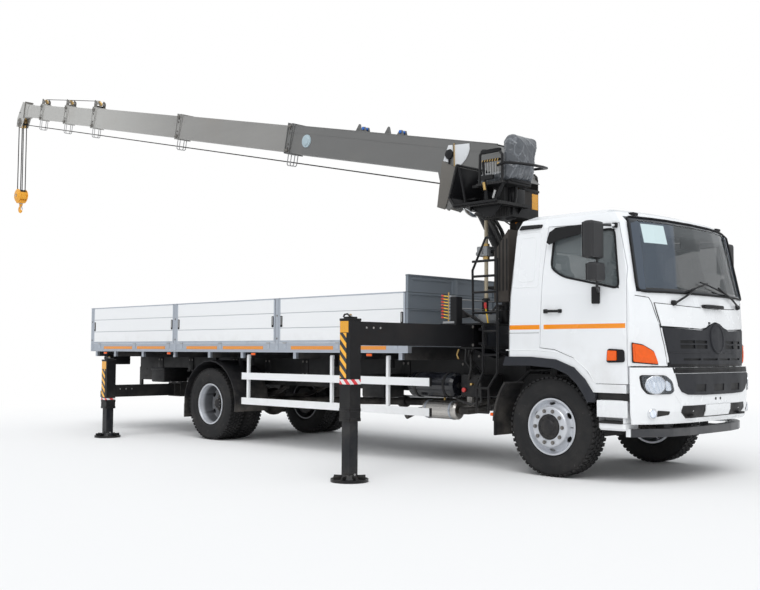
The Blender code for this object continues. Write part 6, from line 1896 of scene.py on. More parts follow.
class CRANE_OT_chassis_parts(PieceOperator, bpy.types.Operator):
    """Bolts, brackets, tank bands, boxes, valves and lines along the frame"""
    bl_idname = "crane_truck.chassis_parts"
    bl_label = "Chassis fittings"

    def make(self, context):
        """Make what the frame carries."""
        bolts = [((x / 100, side * 0.43, z), (0, side, 0)) for side in (-1, 1)
                 for x in range(-895, 60, 31) for z in (0.865, 0.985)]
        screws("rail_bolts", "chassis", bolts, 0.012, 0.009, "chassis_black")
        form = Form("chassis_black")
        spots = []
        for side in (-1, 1):
            for x in (-1.75, -2.75, -3.75, -4.75, -5.6, -6.4, -7.6, -8.5):
                form.box((x - 0.07, x + 0.07), y_span(0.425, 0.442, side), (0.93, 1.19), 0.006)
                spots += [((x + dx, side * 0.442, z), (0, side, 0)) for dx in (-0.04, 0.04)
                          for z in (0.97, 1.15)]
            for x in GUARD_POSTS:
                form.box((x - 0.035, x + 0.035), y_span(1.1, 1.166, side), (1.1, 1.2), 0.006)
        form.piece("frame_brackets", "chassis", "frame_black")
        screws("bracket_bolts", "chassis", spots, 0.013, 0.011)
        self.tanks()
        self.lines()
        self.guards()

    def tanks(self):
        """Bands, ends, cap and drain valves of the vessels."""
        form = Form("silver", "chassis_black", "brass")
        air_tank, muffler = (-0.86, 0.905), (-0.88, 0.615)
        for x in (-2.08, -1.62):
            form.using("chassis_black").turned(
                [(0.1515, -0.016), (0.1555, -0.016), (0.1555, 0.016), (0.1515, 0.016)],
                (x, *air_tank), (1, 0, 0), 40, closed=True)
        form.turned([(0, 0.02), (0.035, 0.02), (0.035, 0), (0, 0)], (-1.5, *air_tank), (1, 0, 0),
                    14)
        form.using("brass").rod((-1.72, -0.86, 0.762), (-1.72, -0.86, 0.728), 0.012, 8)
        for x in (-1.93, -1.55):
            form.using("silver").turned(
                [(0.1092, -0.012), (0.1125, -0.012), (0.1125, 0.012), (0.1092, 0.012)],
                (x, *muffler), (1, 0, 0), 40, closed=True)
        form.using("chassis_black").tube(
            [(-1.46, *muffler), (-1.36, -0.86, 0.615), (-1.27, -0.72, 0.63), (-1.1, -0.58, 0.7),
             (-0.7, -0.5, 0.74)], 0.043, 14)
        form.tube([(-2.0, -0.88, 0.6), (-2.1, -0.88, 0.59), (-2.17, -0.93, 0.56),
                   (-2.2, -1.02, 0.52)], 0.04, 14)
        for x in (-2.62, -1.8):
            form.box((x, x + 0.05), (0.518, 1.104), (0.514, 1.086), 0.072, steps=3)
        form.using("silver").turned([(0, 0.05), (0.048, 0.048), (0.055, 0.036), (0.055, 0.0),
                                     (0, -0.01)][::-1], (-1.72, 0.92, 1.078), (0, 0, 1), 20)
        form.piece("tank_bands", "chassis", "tank_black")

    def lines(self):
        """Boxes, the drive shaft's joints, air lines and valves."""
        form = Form("black_plastic", "chassis_black", "hose", "steel", "brass", "red")
        form.using("black_plastic").box((-7.8, -7.43), (-1.06, -0.62), (0.8, 1.02), 0.02)
        form.box((-7.808, -7.424), (-1.07, -0.61), (0.985, 1.028), 0.012)
        form.using("chassis_black").box((-7.7, -7.48), (-0.64, -0.425), (0.86, 0.96), 0.006)
        form.box((-1.42, -1.12), (-0.92, -0.5), (0.78, 1.04), 0.016)
        form.box((-3.1, -2.7), (-0.9, -0.52), (0.72, 1.0), 0.02)
        form.using("black_plastic").box((-3.11, -2.69), (-0.91, -0.51), (0.955, 1.01), 0.012)
        form.using("chassis_black").box((-2.95, -2.85), (-0.53, -0.425), (0.84, 0.92), 0.004)
        form.box((-1.32, -1.22), (-0.52, -0.425), (0.88, 0.96), 0.004)
        for at in ((-3.2, 0, 0.629), (-0.72, 0, 0.697)):
            form.turned([(0, -0.07), (0.075, -0.06), (0.085, 0), (0.075, 0.06), (0, 0.07)], at,
                        (1, 0, 0.03), 20)
        form.using("hose")
        for index, y in enumerate((-0.36, -0.33, -0.3, 0.31, 0.34)):
            form.tube([(-0.6, y, 1.02), (-2.0, y, 1.035), (-5.0, y, 1.035), (-8.6, y, 1.02)],
                      0.01 + 0.002 * (index % 2), 8)
        for path in ([(-1.18, -0.9, 1.0), (-1.05, -1.02, 0.94), (-1.02, -1.04, 0.74),
                      (-1.22, -0.98, 0.7), (-1.45, -0.95, 0.745)],
                     [(-1.3, -0.92, 0.98), (-1.2, -1.0, 1.12), (-1.22, -0.98, 1.26),
                      (-1.3, -0.84, 1.34)],
                     [(-1.26, -0.7, 1.03), (-1.34, -0.76, 1.16), (-1.32, -0.9, 1.25),
                      (-1.24, -0.98, 1.335)],
                     [(-7.62, -0.8, 0.81), (-7.6, -0.72, 0.77), (-7.52, -0.46, 0.8)]):
            form.tube(path, 0.013, 8)
        form.using("red").rod((-1.36, -0.925, 0.86), (-1.36, -0.945, 0.86), 0.026, 14)
        form.using("brass").rod((-1.24, -0.92, 0.93), (-1.24, -0.955, 0.93), 0.014, 10)
        form.piece("frame_lines", "chassis", "frame_black")

    def guards(self):
        """Bolts and end caps of the side guards, flaps' strips and the steps' treads."""
        spots = []
        form = Form("black_plastic", "tread_plate", "nut_steel", "amber_lens", "panel_white")
        for side in (-1, 1):
            for x in GUARD_POSTS:
                spots += [
                    ((x, side * 1.22, z), (0, side, 0)) for z in (0.578, 0.618, 0.928, 0.968)]
            for z0, z1 in ((0.551, 0.645), (0.9, 0.995)):
                for x in (-5.229, -1.645):
                    form.box((x, x + 0.018), y_span(1.193, 1.222, side), (z0 - 0.002, z1 + 0.002),
                             0.002)
            form.using("tread_plate").box(
                (0.628, 0.892), y_span(1.075, 1.222, side), (0.598, 0.622), 0.004)
            form.using("panel_white").box(
                (0.606, 0.946), y_span(1.196, 1.2215, side), (0.66, 0.826), 0.003)
            for rib in range(21):
                x = 0.612 + 0.0158 * rib
                form.box((x, x + 0.007), y_span(1.2205, 1.2235, side), (0.668, 0.818), 0)
            form.using("black_plastic").box(
                (0.604, 0.952), y_span(0.95, 1.196, side), (0.832, 0.899), 0.004)
            form.using("nut_steel").box(
                (-WHEELBASE - 0.662, -WHEELBASE - 0.654), y_span(0.65, 1.19, side), (0.462, 0.486),
                0.002)
            form.using("amber_lens").box(
                (-0.775, -0.735), y_span(1.1, 1.19, side), (0.6, 0.635), 0.006)
            form.using("black_plastic")
        form.piece("guard_caps_and_treads", "chassis", "guard_rail")
        screws("guard_bolts", "chassis", spots, 0.009, 0.006, "guard_rail")
        form = Form("chassis_black", "steel", "black_rubber")
        for side in (-1, 1):
            form.using("chassis_black")
            form.rod((-0.02, side * 0.53, 0.6), (-0.1, side * 0.5, 0.98), 0.03, 16)
            form.using("steel").rod(
                (-0.035, side * 0.527, 0.66), (-0.06, side * 0.516, 0.8), 0.02, 14)
            form.using("black_rubber").box(
                (-0.45, -0.4), y_span(0.4, 0.46, side), (0.93, 1.03), 0.01)
        form.piece("shock_absorbers", "chassis", "axle_black")


class CRANE_OT_headboard_parts(PieceOperator, bpy.types.Operator):
    """Ribs, top cap and thin rails of the headboard"""
    bl_idname = "crane_truck.headboard_parts"
    bl_label = "Headboard ribs"

    def make(self, context):
        """Make the ribs on both of its faces."""
        form = Form("headboard_blue")
        for y in (-0.411, 0.411):
            form.slab([(-1.984, y - 0.032), (-1.993, y - 0.018), (-1.993, y + 0.018),
                       (-1.984, y + 0.032), (-1.975, y + 0.032), (-1.975, y - 0.032)],
                      (1.46, 2.13), "Z", 0.003)
            form.slab(
                [(-1.95, y - 0.053), (-1.943, y - 0.04), (-1.943, y + 0.04), (-1.95, y + 0.053),
                 (-1.962, y + 0.053), (-1.962, y - 0.053)], (1.44, 2.198), "Z", 0.003)
        form.box((-1.996, -1.94), (-1.262, 1.262), (2.2, 2.222), 0.005)
        for z in (1.425, 1.797, 1.98):
            form.box((-1.949, -1.9435), (-1.24, 1.24), (z, z + 0.012), 0.001)
        form.piece("headboard_ribs", "chassis", "headboard_blue")


# ---- outriggers ----
LEGS = {"front": ((-1.176, -2.933), (-1.01, 2.933), 0.6, 1.62, 1.602, 0.07),
        "rear": ((-7.34, -2.09), (-7.17, 2.09), 0.43, 1.15, 0.778, 0.065)}


class CRANE_OT_outriggers(PieceOperator, bpy.types.Operator):
    """Collars, caps, warning tapes and pins of the outriggers, and the ribs of their feet"""
    bl_idname = "crane_truck.outriggers"
    bl_label = "Outriggers"

    def make(self, context):
        """Make the fittings of all four legs."""
        hose = sizes(context, "crane_sizes").hose
        for place, (*spots, low, top, beam_top, half) in LEGS.items():
            for (x, y), (side, label) in zip(spots, SIDES):
                tag = "%s_%s" % (place, label)
                self.housing(tag, (x, abs(y)), side, (low, top, beam_top, half), hose)
                self.leg(tag, x, y)

    def housing(self, tag, at, side, heights, hose):
        """What the sliding beam and its hollow leg carry."""
        (x, y), (low, top, beam_top, half) = at, heights
        form = Form("crane_black", "steel", "hazard", "yellow_tape", "red_white", "hose", "brass")

        def around(reach, zs, round_by=0.004):
            """A square sleeve or cap about the leg."""
            form.box((x - reach, x + reach), y_span(y - reach, y + reach, side), zs, round_by)
        around(0.0795, (top - 0.012, top + 0.012))
        around(0.05, (top + 0.01, top + 0.03))
        form.using("steel").rod((x, side * y, top + 0.028), (x, side * y, top + 0.046), 0.02, 6)
        form.using("crane_black")
        for z in (low + 0.002, low + 0.1):
            for dx, dy in ((0.0745, 0), (-0.0745, 0), (0, 0.0745), (0, -0.0745)):
                wide = 0.0785 if dy else 0.004
                deep = 0.0785 if dx else 0.004
                form.box((x + dx - wide, x + dx + wide),
                         y_span(y + dy - deep, y + dy + deep, side), (z, z + 0.03), 0.002)
        outer = y + 0.0752
        face = y_span(outer - 0.002, outer + 0.0015, side)
        band = (0.97, 1.02) if beam_top > 1 else (0.545, 0.585)
        form.using("hazard").box((x - 0.072, x + 0.02), face, (band[1] + 0.012, top - 0.135), 0)
        form.using("yellow_tape").box((x - 0.072, x + 0.05), face, (top - 0.13, top - 0.016), 0)
        form.using("red_white").box((x - 0.0745, x + 0.0745), face, band, 0)
        form.box((x + 0.074, x + 0.0768), y_span(y - 0.0745, y + 0.0745, side), band, 0)
        form.using("steel")
        for step in range(3):
            across = y - 0.16 - 0.1 * step
            form.rod((x - half - 0.0012, side * across, beam_top - 0.06),
                     (x + half + 0.0012, side * across, beam_top - 0.06), 0.011, 10)
        form.using("hose").tube(
            [(x - 0.045, side * (y + 0.055), top + 0.028),
             (x - 0.045, side * (y + 0.04), top + 0.052),
             (x + 0.01, side * (y + 0.052), top + 0.056),
             (x + 0.045, side * (y + 0.05), top + 0.028)], hose * 0.7, 8)
        form.using("brass").rod((x, side * y, top + 0.044), (x, side * y, top + 0.058), 0.013, 6)
        form.piece("outrigger_fittings_" + tag, "beam_" + tag, "crane_black")

    def leg(self, tag, x, y):
        """Ribs, ball socket and pin above a foot."""
        form = Form("crane_black", "steel")
        for step in range(8):
            angle = math.radians(45 * step + 22.5)
            turn = (Matrix.Translation((x, y, 0)) @ Matrix.Rotation(angle, 4, "Z"))
            form.box((0.07, 0.172), (-0.005, 0.005), (0.022, 0.062), 0.002, turn)
        form.turned([(0, 0.094), (0.062, 0.094), (0.07, 0.085), (0.072, 0.05), (0.06, 0.022),
                     (0, 0.022)][::-1], (x, y, 0), (0, 0, 1), 28)
        form.turned([(0.18, 0.02), (0.18, 0.031), (0.1905, 0.031), (0.1915, 0.004),
                     (0.186, 0.001)], (x, y, 0), (0, 0, 1), 40, closed=True)
        form.using("steel").rod((x - 0.078, y, 0.074), (x + 0.078, y, 0.074), 0.012, 10)
        form.piece("foot_" + tag, "jack_" + tag, "crane_black")


# ---- crane ----
SLEW = (-1.25, 0.0)                                 # the slewing axis


def slew_ring(count, radius, z, first=0.0):
    """Spots round the slewing axis that aim up, the first one at an angle in degrees."""
    angles = [math.radians(360 / count * step + first) for step in range(count)]
    return [((SLEW[0] + radius * math.cos(angle), radius * math.sin(angle), z), (0, 0, 1))
            for angle in angles]


class CRANE_OT_crane_base(PieceOperator, bpy.types.Operator):
    """Levers, pump lines, slewing bolts and tie plates of the crane's base"""
    bl_idname = "crane_truck.crane_base"
    bl_label = "Crane base"

    def make(self, context):
        """Make what stands still below the slewing ring."""
        own = sizes(context, "crane_sizes")
        self.levers(own.levers)
        self.lines(own.hose)
        bolts = slew_ring(24, 0.285, 1.8, 7.5)
        for side in (-1, 1):
            for z in (1.38, 1.585):
                for x in (-1.24, -1.09, -0.95):
                    bolts.append(((x, side * 1.1, z), (0, side, 0)))
            for x in (-1.52, -1.3, -1.0):
                bolts.append(((x, side * 0.46, 1.25), (0, side, 0)))
        screws("base_bolts", "chassis", bolts, 0.0125, 0.012, "nut_steel")

    def levers(self, count):
        """A valve bank a side, joined by rods, with red-tipped levers."""
        for side, label in SIDES:
            form = Form("valve_grey", "yellow", "red", "brass", "steel", "crane_black")

            def level(inner, outer):
                """A slice across the truck on this side."""
                return y_span(inner, outer, side)
            form.using("valve_grey").box((-1.47, -1.3), level(1.075, 1.185), (1.622, 1.652), 0.005)
            for index in range(count):
                z = 1.685 + 0.036 * index
                y = side * 1.13
                form.using("valve_grey").box(
                    (-1.385, -1.352), level(1.088, 1.172), (z - 0.014, z + 0.014), 0.004)
                form.using("yellow").tube([(-1.375, y, z), (-1.44, y - side * 0.008, z + 0.004),
                                           (-1.515, y - side * 0.012, z + 0.014)], 0.0065, 6)
                form.using("red").rod(
                    (-1.51, y - side * 0.012, z + 0.0135), (-1.545, y - side * 0.012, z + 0.018),
                    0.0115, 10, round_by=0.003)
            form.using("brass").rod(
                (-1.405, side * 1.155, 1.64), (-1.405, side * 1.155, 1.985), 0.009, 10)
            form.using("steel")
            for z in (1.7, 1.8, 1.9):
                form.rod((-1.31, side * 1.1, z), (-1.285, side * 0.34, z), 0.008, 8)
            form.using("crane_black").box((-1.33, -1.26), level(0.6, 0.64), (1.62, 1.93), 0.004)
            form.using("yellow").tube([(-0.935, side * 1.02, 1.625), (-0.945, side * 1.03, 1.72),
                                       (-0.955, side * 1.04, 1.8)], 0.008, 8)
            form.using("red").rod((-0.955, side * 1.04, 1.79), (-0.958, side * 1.043, 1.86), 0.016,
                                  12, round_by=0.005)
            form.piece("lever_bank_" + label, "chassis", "crane_black")

    def lines(self, radius):
        """Slewing motor, filter, lamp brackets and the hoses of the base."""
        form = Form("crane_black", "valve_grey", "hose", "steel", "brass", "yellow", "leg_black")
        motor, filter_at = (-1.03, -0.56), (-1.05, 0.62)
        form.rod((*motor, 1.62), (*motor, 1.79), 0.085, 24, round_by=0.01)
        form.rod((*motor, 1.785), (*motor, 1.9), 0.055, 20, round_by=0.012)
        form.box((-1.13, -0.94), (-0.48, -0.3), (1.62, 1.74), 0.012)
        form.rod((*filter_at, 1.62), (*filter_at, 1.97), 0.07, 24, round_by=0.01)
        form.using("steel").rod((*filter_at, 1.96), (*filter_at, 1.985), 0.078, 20)
        form.using("valve_grey").box((-1.16, -1.0), (-0.93, -0.74), (1.62, 1.73), 0.012)
        form.box((-1.12, -1.02), (0.78, 0.95), (1.62, 1.71), 0.01)
        form.using("hose")
        for index in range(5):
            form.tube([(-1.33, -1.085, 1.66 + 0.03 * index), (-1.3, -1.04, 1.78 - 0.02 * index),
                       (-1.24, -0.98 + 0.02 * index, 1.72), (-1.18 + 0.015 * index, -0.93, 1.66)],
                      radius * 0.75, 8)
            form.tube([(-1.34, -0.92 + 0.028 * index, 1.345), (-1.35, -0.92 + 0.028 * index, 1.2),
                       (-1.33, -0.85 + 0.028 * index, 1.1), (-1.28, -0.74 + 0.02 * index, 1.02)],
                      radius, 8)
        for start, end in (((-1.03, -0.475, 1.84), (-1.14, -0.34, 1.7)),
                           ((-1.03, -0.615, 1.84), (-1.08, -0.8, 1.73)),
                           ((-1.05, 0.69, 1.8), (-1.07, 0.86, 1.71))):
            middle = [(a + b) / 2 for a, b in zip(start, end)]
            middle[2] += 0.06
            form.tube([start, middle, end], radius, 8)
        form.using("leg_black")
        for side in (-1, 1):
            form.box((-0.925, -0.908), y_span(0.52, 1.06, side), (1.37, 1.595), 0.003)
            for xs in ((-1.02, -1.0), (-1.26, -1.24)):
                form.slab([(side * 0.44, 1.21), (side * 0.44, 1.34), (side * 0.9, 1.34)], xs, "X",
                          0.002)
        form.using("brass").tube(
            [(-1.4, -0.98, 1.33), (-1.42, -0.99, 1.27), (-1.38, -1.01, 1.22)], 0.01, 8)
        form.piece("base_lines", "chassis", "crane_black")


class CRANE_OT_column(PieceOperator, bpy.types.Operator):
    """Hoses, bolts, reflector and welded ribs of the slewing column, and its winch"""
    bl_idname = "crane_truck.column"
    bl_label = "Column and winch"

    def make(self, context):
        """Make what turns with the column."""
        own = sizes(context, "crane_sizes")
        form = Form("crane_black", "tan_pipe", "hose", "steel", "brass", "yellow_tape",
                    "valve_grey", "orange_tape")
        for step in range(8):
            angle = math.radians(45 * step + 22.5)
            turn = Matrix.Translation((*SLEW, 0)) @ Matrix.Rotation(angle, 4, "Z")
            if abs(math.sin(angle)) > 0.5:
                form.box((0.14, 0.245), (-0.007, 0.007), (1.868, 1.97), 0.002, turn)
        form.box((-1.362, -1.088), (-0.155, 0.155), (2.495, 2.525), 0.004)
        form.box((-1.302, -1.063), (-0.156, 0.156), (3.255, 3.285), 0.004)
        form.using("yellow_tape").box((-1.0762, -1.0735), (0.015, 0.138), (3.045, 3.235), 0)
        form.using("orange_tape").box((-1.205, -1.175), (-0.1495, -0.1465), (2.86, 3.25), 0)
        form.using("hose")
        for index in range(5):
            y = -0.1 + 0.05 * index
            form.tube(
                [(-1.37, y, 1.9), (-1.372, y, 2.2), (-1.372, y, 2.46), (-1.345, y, 2.56),
                 (-1.312, y, 2.66), (-1.312, y, 3.0), (-1.33, y * 0.9, 3.12)], own.hose * 0.8, 8)
        for index in range(3):
            y = -0.165 - 0.028 * index
            form.tube([(-1.14, y, 1.92), (-1.13, y, 2.3), (-1.12, y, 2.86)], own.hose, 8)
        for index in range(6):
            y = -0.235 - 0.032 * index
            out = 0.012 * (index % 3)
            form.tube(
                finer([(-1.66 + out, y, 3.0), (-1.52, y, 2.965 - out), (-1.42 + out, y, 2.9),
                       (-1.345 + out, y, 2.79), (-1.285 + out, y, 2.66), (-1.262, y * 0.8, 2.48),
                       (-1.25, -0.165, 2.28)], 0.05, False), own.hose * 1.25, 8)
        form.using("tan_pipe")
        pipe = (-1.455, -0.4)
        form.rod((*pipe, 1.93), (*pipe, 2.9), 0.024, 20)
        form.using("valve_grey").box((-1.545, -1.385), (-0.475, -0.325), (2.46, 2.58), 0.01)
        form.rod((-1.545, -0.4, 2.5), (-1.6, -0.4, 2.5), 0.024, 12)
        form.using("crane_black")
        for z in (2.06, 2.5):
            form.box((-1.46, -1.33), (-0.4, -0.13), (z, z + 0.035), 0.004)
        form.rod((*pipe, 1.9), (*pipe, 1.95), 0.045, 16)
        form.using("brass").rod((*pipe, 2.58), (*pipe, 2.615), 0.042, 6)
        form.rod((*pipe, 2.425), (*pipe, 2.46), 0.042, 6)
        form.using("steel")
        for z in (2.5, 2.54):
            form.rod((-1.46, -0.475, z), (-1.46, -0.5, z), 0.014, 6)
        form.piece("column_fittings", "crane_post", "crane_black")
        screws("column_bolts", "crane_post", slew_ring(20, 0.255, 1.87), 0.011,
               0.012, "nut_steel")
        self.winch()

    def winch(self):
        """Turns of rope on the drum, its flanges' rims, motor and brake."""
        form = Form("rope", "crane_black", "steel", "hose")
        x, z = WINCH
        profile = []
        first, pitch, turns = 0.178, 0.0195, 11
        for index in range(turns):
            y = first + pitch * index
            profile += [(0.108, y), (0.121, y + 0.005), (0.1245, y + 0.00975), (0.121, y + 0.0145)]
        last = first + pitch * turns
        profile += [(0.108, last), (0.1, last), (0.1, first)]
        form.turned(profile, (x, 0, z), (0, 1, 0), 40, closed=True)
        form.using("crane_black")
        for y in (0.15, 0.402):
            form.turned([(0.146, y), (0.146, y + 0.023), (0.158, y + 0.023), (0.158, y)],
                        (x, 0, z), (0, 1, 0), 44, closed=True)
        form.turned([(0, 0.46), (0.112, 0.46), (0.112, 0.5), (0.09, 0.515), (0.085, 0.6),
                     (0.06, 0.615), (0, 0.615)], (x, 0, z), (0, 1, 0), 32)
        form.box((-1.33, -1.07), (0.424, 0.442), (2.5, 2.66), 0.006)
        form.box((-1.3, -1.1), (0.14, 0.442), (2.455, 2.475), 0.004)
        form.using("steel").rod((x, 0.61, z), (x, 0.63, z), 0.035, 6)
        form.using("hose")
        for dx in (-0.04, 0.04):
            form.tube(
                [(x + dx, 0.57, z + 0.06), (x + dx, 0.56, z + 0.14), (x + dx * 0.8, 0.42, z + 0.2),
                 (x + dx * 0.5, 0.2, z + 0.2), (x + dx * 0.5, 0.145, z + 0.2)], 0.013, 8)
        form.piece("winch_fittings", "crane_post", "crane_black")


class CRANE_OT_operator_place(PieceOperator, bpy.types.Operator):
    """Foot plate, guard sheets, armrests, levers and back bar at the operator's seat"""
    bl_idname = "crane_truck.operator_place"
    bl_label = "Operator's place"

    def make(self, context):
        """Make what surrounds the seat."""
        form = Form("crane_black", "cover_grey", "black_plastic", "steel", "brass", "red",
                    "yellow", "mirror", "tread_plate", "valve_grey")
        foot = limits("operator_platform")[0][0] + 0.096         # front edge of the foot plate

        def ahead(points):
            """Points given from the foot plate's front edge."""
            return [(foot + spot[0], *spot[1:]) for spot in points]
        form.slab(
            ahead([(-0.015, 3.02), (-0.08, 3.12), (-0.075, 3.14), (0.03, 3.48), (0.044, 3.48),
                   (-0.058, 3.12), (0.005, 3.02)]), (-0.955, -0.435), "Y", 0.001)
        form.slab(ahead([(0.0, 3.02), (-0.065, 3.12), (0.05, 3.49), (0.1, 3.49), (0.3, 3.24),
                         (0.34, 3.02)]), (-0.424, -0.416), "Y", 0.001)
        form.tube(
            ahead([(0.17, -0.965, 3.03), (0.13, -0.965, 3.22), (0.065, -0.965, 3.47)]), 0.013, 8)
        form.tube([(foot + 0.02, -0.985, 3.02), (-0.84, -0.985, 3.02)], 0.02, 10)
        form.tube(ahead([(-0.055, -0.9, 3.3), (-0.08, -0.9, 3.32), (-0.055, -0.9, 3.44),
                         (-0.025, -0.9, 3.45)]), 0.009, 8)
        form.using("tread_plate").box((foot + 0.02, -1.0), (-0.95, -0.44), (3.019, 3.026), 0.001)
        form.using("crane_black").box((-1.16, -0.9), (-0.66, -0.36), (3.02, 3.215), 0.01)
        for y in (-0.9, -0.49):
            form.slab([(-0.84, 2.985), (-1.3, 2.985), (-1.06, 2.86), (-0.95, 2.86)],
                      (y - 0.006, y + 0.006), "Y", 0.001)
        form.tube([(-0.9, -0.62, 2.9), (-0.86, -0.6, 3.1), (-0.84, -0.62, 3.22)], 0.018, 8)
        form.tube([(-1.12, -0.85, 3.03), (-1.1, -0.85, 3.22)], 0.016, 8)
        form.box((-1.1, -0.82), (-0.955, -0.905), (3.585, 3.632), 0.014)
        form.using("black_plastic").box((-1.1, -0.92), (-0.955, -0.915), (3.28, 3.335), 0.012)
        form.box((-1.08, -0.83), (-0.95, -0.91), (3.485, 3.515), 0.01)
        for index in range(7):
            x = -1.075 + 0.037 * index
            form.using("brass").rod(
                (x, -0.953, 3.49 - 0.002 * index), (x + 0.012, -0.953, 3.508), 0.0055, 6)
            form.using("steel").rod((x, -0.935, 3.33), (x - 0.004, -0.935, 3.485), 0.0045, 6)
        form.using("brass").rod((-1.03, -0.955, 3.16), (-1.045, -0.957, 3.25), 0.017, 10)
        form.rod((-0.86, -0.94, 3.43), (-0.84, -0.94, 3.46), 0.014, 8)
        form.using("steel").rod((-0.93, -0.93, 3.06), (-0.9, -0.93, 3.15), 0.015, 10)
        form.using("crane_black").rod((-1.02, -0.93, 3.03), (-1.07, -0.94, 3.5), 0.017, 10)
        form.rod((-0.91, -0.91, 3.03), (-0.8, -0.9, 3.25), 0.02, 10)
        form.tube(
            [(-0.86, -0.94, 3.43), (-0.74, -0.95, 3.445), (-0.6, -0.9, 3.425), (-0.47, -0.8, 3.4),
             (-0.46, -0.62, 3.4), (-0.55, -0.42, 3.425), (-0.74, -0.39, 3.44)], 0.016, 10)
        form.box((-0.78, -0.72), (-0.86, -0.48), (3.245, 3.275), 0.006)
        form.using("black_plastic").rod((-1.4, -0.72, 3.03), (-1.38, -0.72, 3.11), 0.012, 8)
        form.box((-1.47, -1.33), (-0.77, -0.67), (3.1, 3.125), 0.006)
        form.using("mirror")
        form.turned([(0, 0.03), (0.055, 0.022), (0.095, 0.0), (0.095, -0.006), (0, -0.006)][::-1],
                    (-1.3, -0.9, 2.925), (-0.4, -0.4, -0.8), 28)
        form.using("black_plastic").rod((-1.295, -0.895, 2.932), (-1.29, -0.88, 2.99), 0.012, 8)
        form.piece("operator_place", "crane_post", "crane_black")


# ---- boom ----
ROPE_UP = -0.205                                    # the rope below the boom, above the foot pin
GUIDE = (-2.41, 3.455)                              # sheave that turns the rope along the boom
GUIDE_Y = 0.068                                     # beside the lift cylinder's rod
WINCH = (-1.2, 2.58)                                # axle of the winch's drum
COLLAR = 0.016                                      # how far a section's collar stands off it


def rope_at(along):
    """The hoist rope's place below the boom."""
    return ROPE_UP + 0.05 * (along - 1.37) / 11.7


def tower_height(index):
    """Height of the sheave bracket at the end of a section."""
    return 0.17 - 0.012 * index


class CRANE_OT_boom_base(PieceOperator, bpy.types.Operator):
    """Angle dial, lugs, pin boss and cylinder bracket of the first boom section"""
    bl_idname = "crane_truck.boom_base"
    bl_label = "First boom section"

    def make(self, context):
        """Make what the first section carries."""
        form = Form("cover_grey", "steel", "boom_dark", "blue", "black_plastic", "dial_white",
                    "boss_blue", "brass")
        bracket = [(-2.4, 3.805), (-2.15, 3.668), (-1.955, 3.6), (-1.915, 3.38),
                   (-2.02, 3.315), (-2.27, 3.36), (-2.35, 3.15), (-2.487, 3.195)]
        for side in (-1, 1):
            form.using("cover_grey").slab(bracket, y_span(0.1252, 0.14, side), "Y", 0.004)
            form.using("steel").turned(
                [(0, 0.012), (0.045, 0.012), (0.052, 0.004), (0.052, -0.006), (0, -0.006)][::-1],
                (-2.02, side * 0.14, 3.4), (0, side, 0), 24)
            form.using("boss_blue").turned(
                [(0, 0.022), (0.06, 0.022), (0.066, 0.014), (0.096, 0.01), (0.1, 0.0),
                 (0.1, -0.01), (0, -0.01)][::-1], (-5.125, side * 0.1255, 4.465), (0, side, 0), 36)
        x, z = GUIDE
        form.using("steel").rod((x, -0.126, z), (x, 0.126, z), 0.022, 20)
        form.turned([(0.022, -0.05), (0.052, -0.045), (0.04, 0), (0.052, 0.045), (0.022, 0.05)],
                    (x, GUIDE_Y, z), (0, 1, 0), 28, closed=True)
        fan = [(-2.18, 3.682), (-2.195, 3.98), (-1.945, 3.965)]
        for step in range(1, 6):
            angle = math.radians(-15 * step)
            fan.append((-2.18 + 0.25 * math.cos(angle), 3.965 + 0.283 * math.sin(angle)))
        form.using("dial_white").slab(fan, (-0.1345, -0.125), "Y", 0.001)
        form.slab([(-2.385, 3.795), (-2.29, 3.765), (-2.215, 3.9), (-2.23, 3.985), (-2.295, 3.99)],
                  (-0.1345, -0.125), "Y", 0.001)
        form.using("black_plastic").turned(
            [(0, 0.03), (0.04, 0.028), (0.062, 0.016), (0.068, 0.0), (0, 0)][::-1],
            (-2.278, -0.1345, 3.868), (0, -1, 0), 28)
        form.box((-2.285, -2.262), (-0.15, -0.134), (3.74, 3.81), 0.004)
        form.using("brass").rod((-2.188, -0.14, 3.7), (-2.192, -0.14, 4.0), 0.006, 8)
        for x, z in ((-3.991, 4.425), (-3.257, 4.265)):
            along = (Vector((x, 0, z)) - PIN).dot(BOOM_WAY)
            top = BOOM_AXIS + 0.215
            for side in (-1, 1):
                form.using("boom_dark").boom_slab(
                    [(along - 0.07, top - 0.004), (along + 0.07, top - 0.004),
                     (along + 0.03, top + 0.075), (along - 0.03, top + 0.075)],
                    y_span(0.03, 0.045, side), 0.004)
            form.using("blue").rod(
                along_boom(along, top + 0.048, -0.062), along_boom(along, top + 0.048, 0.062),
                0.022, 16, round_by=0.004)
        for side in (-1, 1):
            for up in (0.215, -0.215):
                form.using("boom_dark").rod(
                    along_boom(0.42, BOOM_AXIS + up * 0.985, side * 0.123),
                    along_boom(4.44, BOOM_AXIS + up * 0.985, side * 0.123), 0.006, 6)
            form.boom_slab(four((0.3, 4.42), (0.255, 0.262)), y_span(0.1245, 0.1275, side), 0)
        form.piece("boom_base_fittings", "boom_1", "boom_grey")


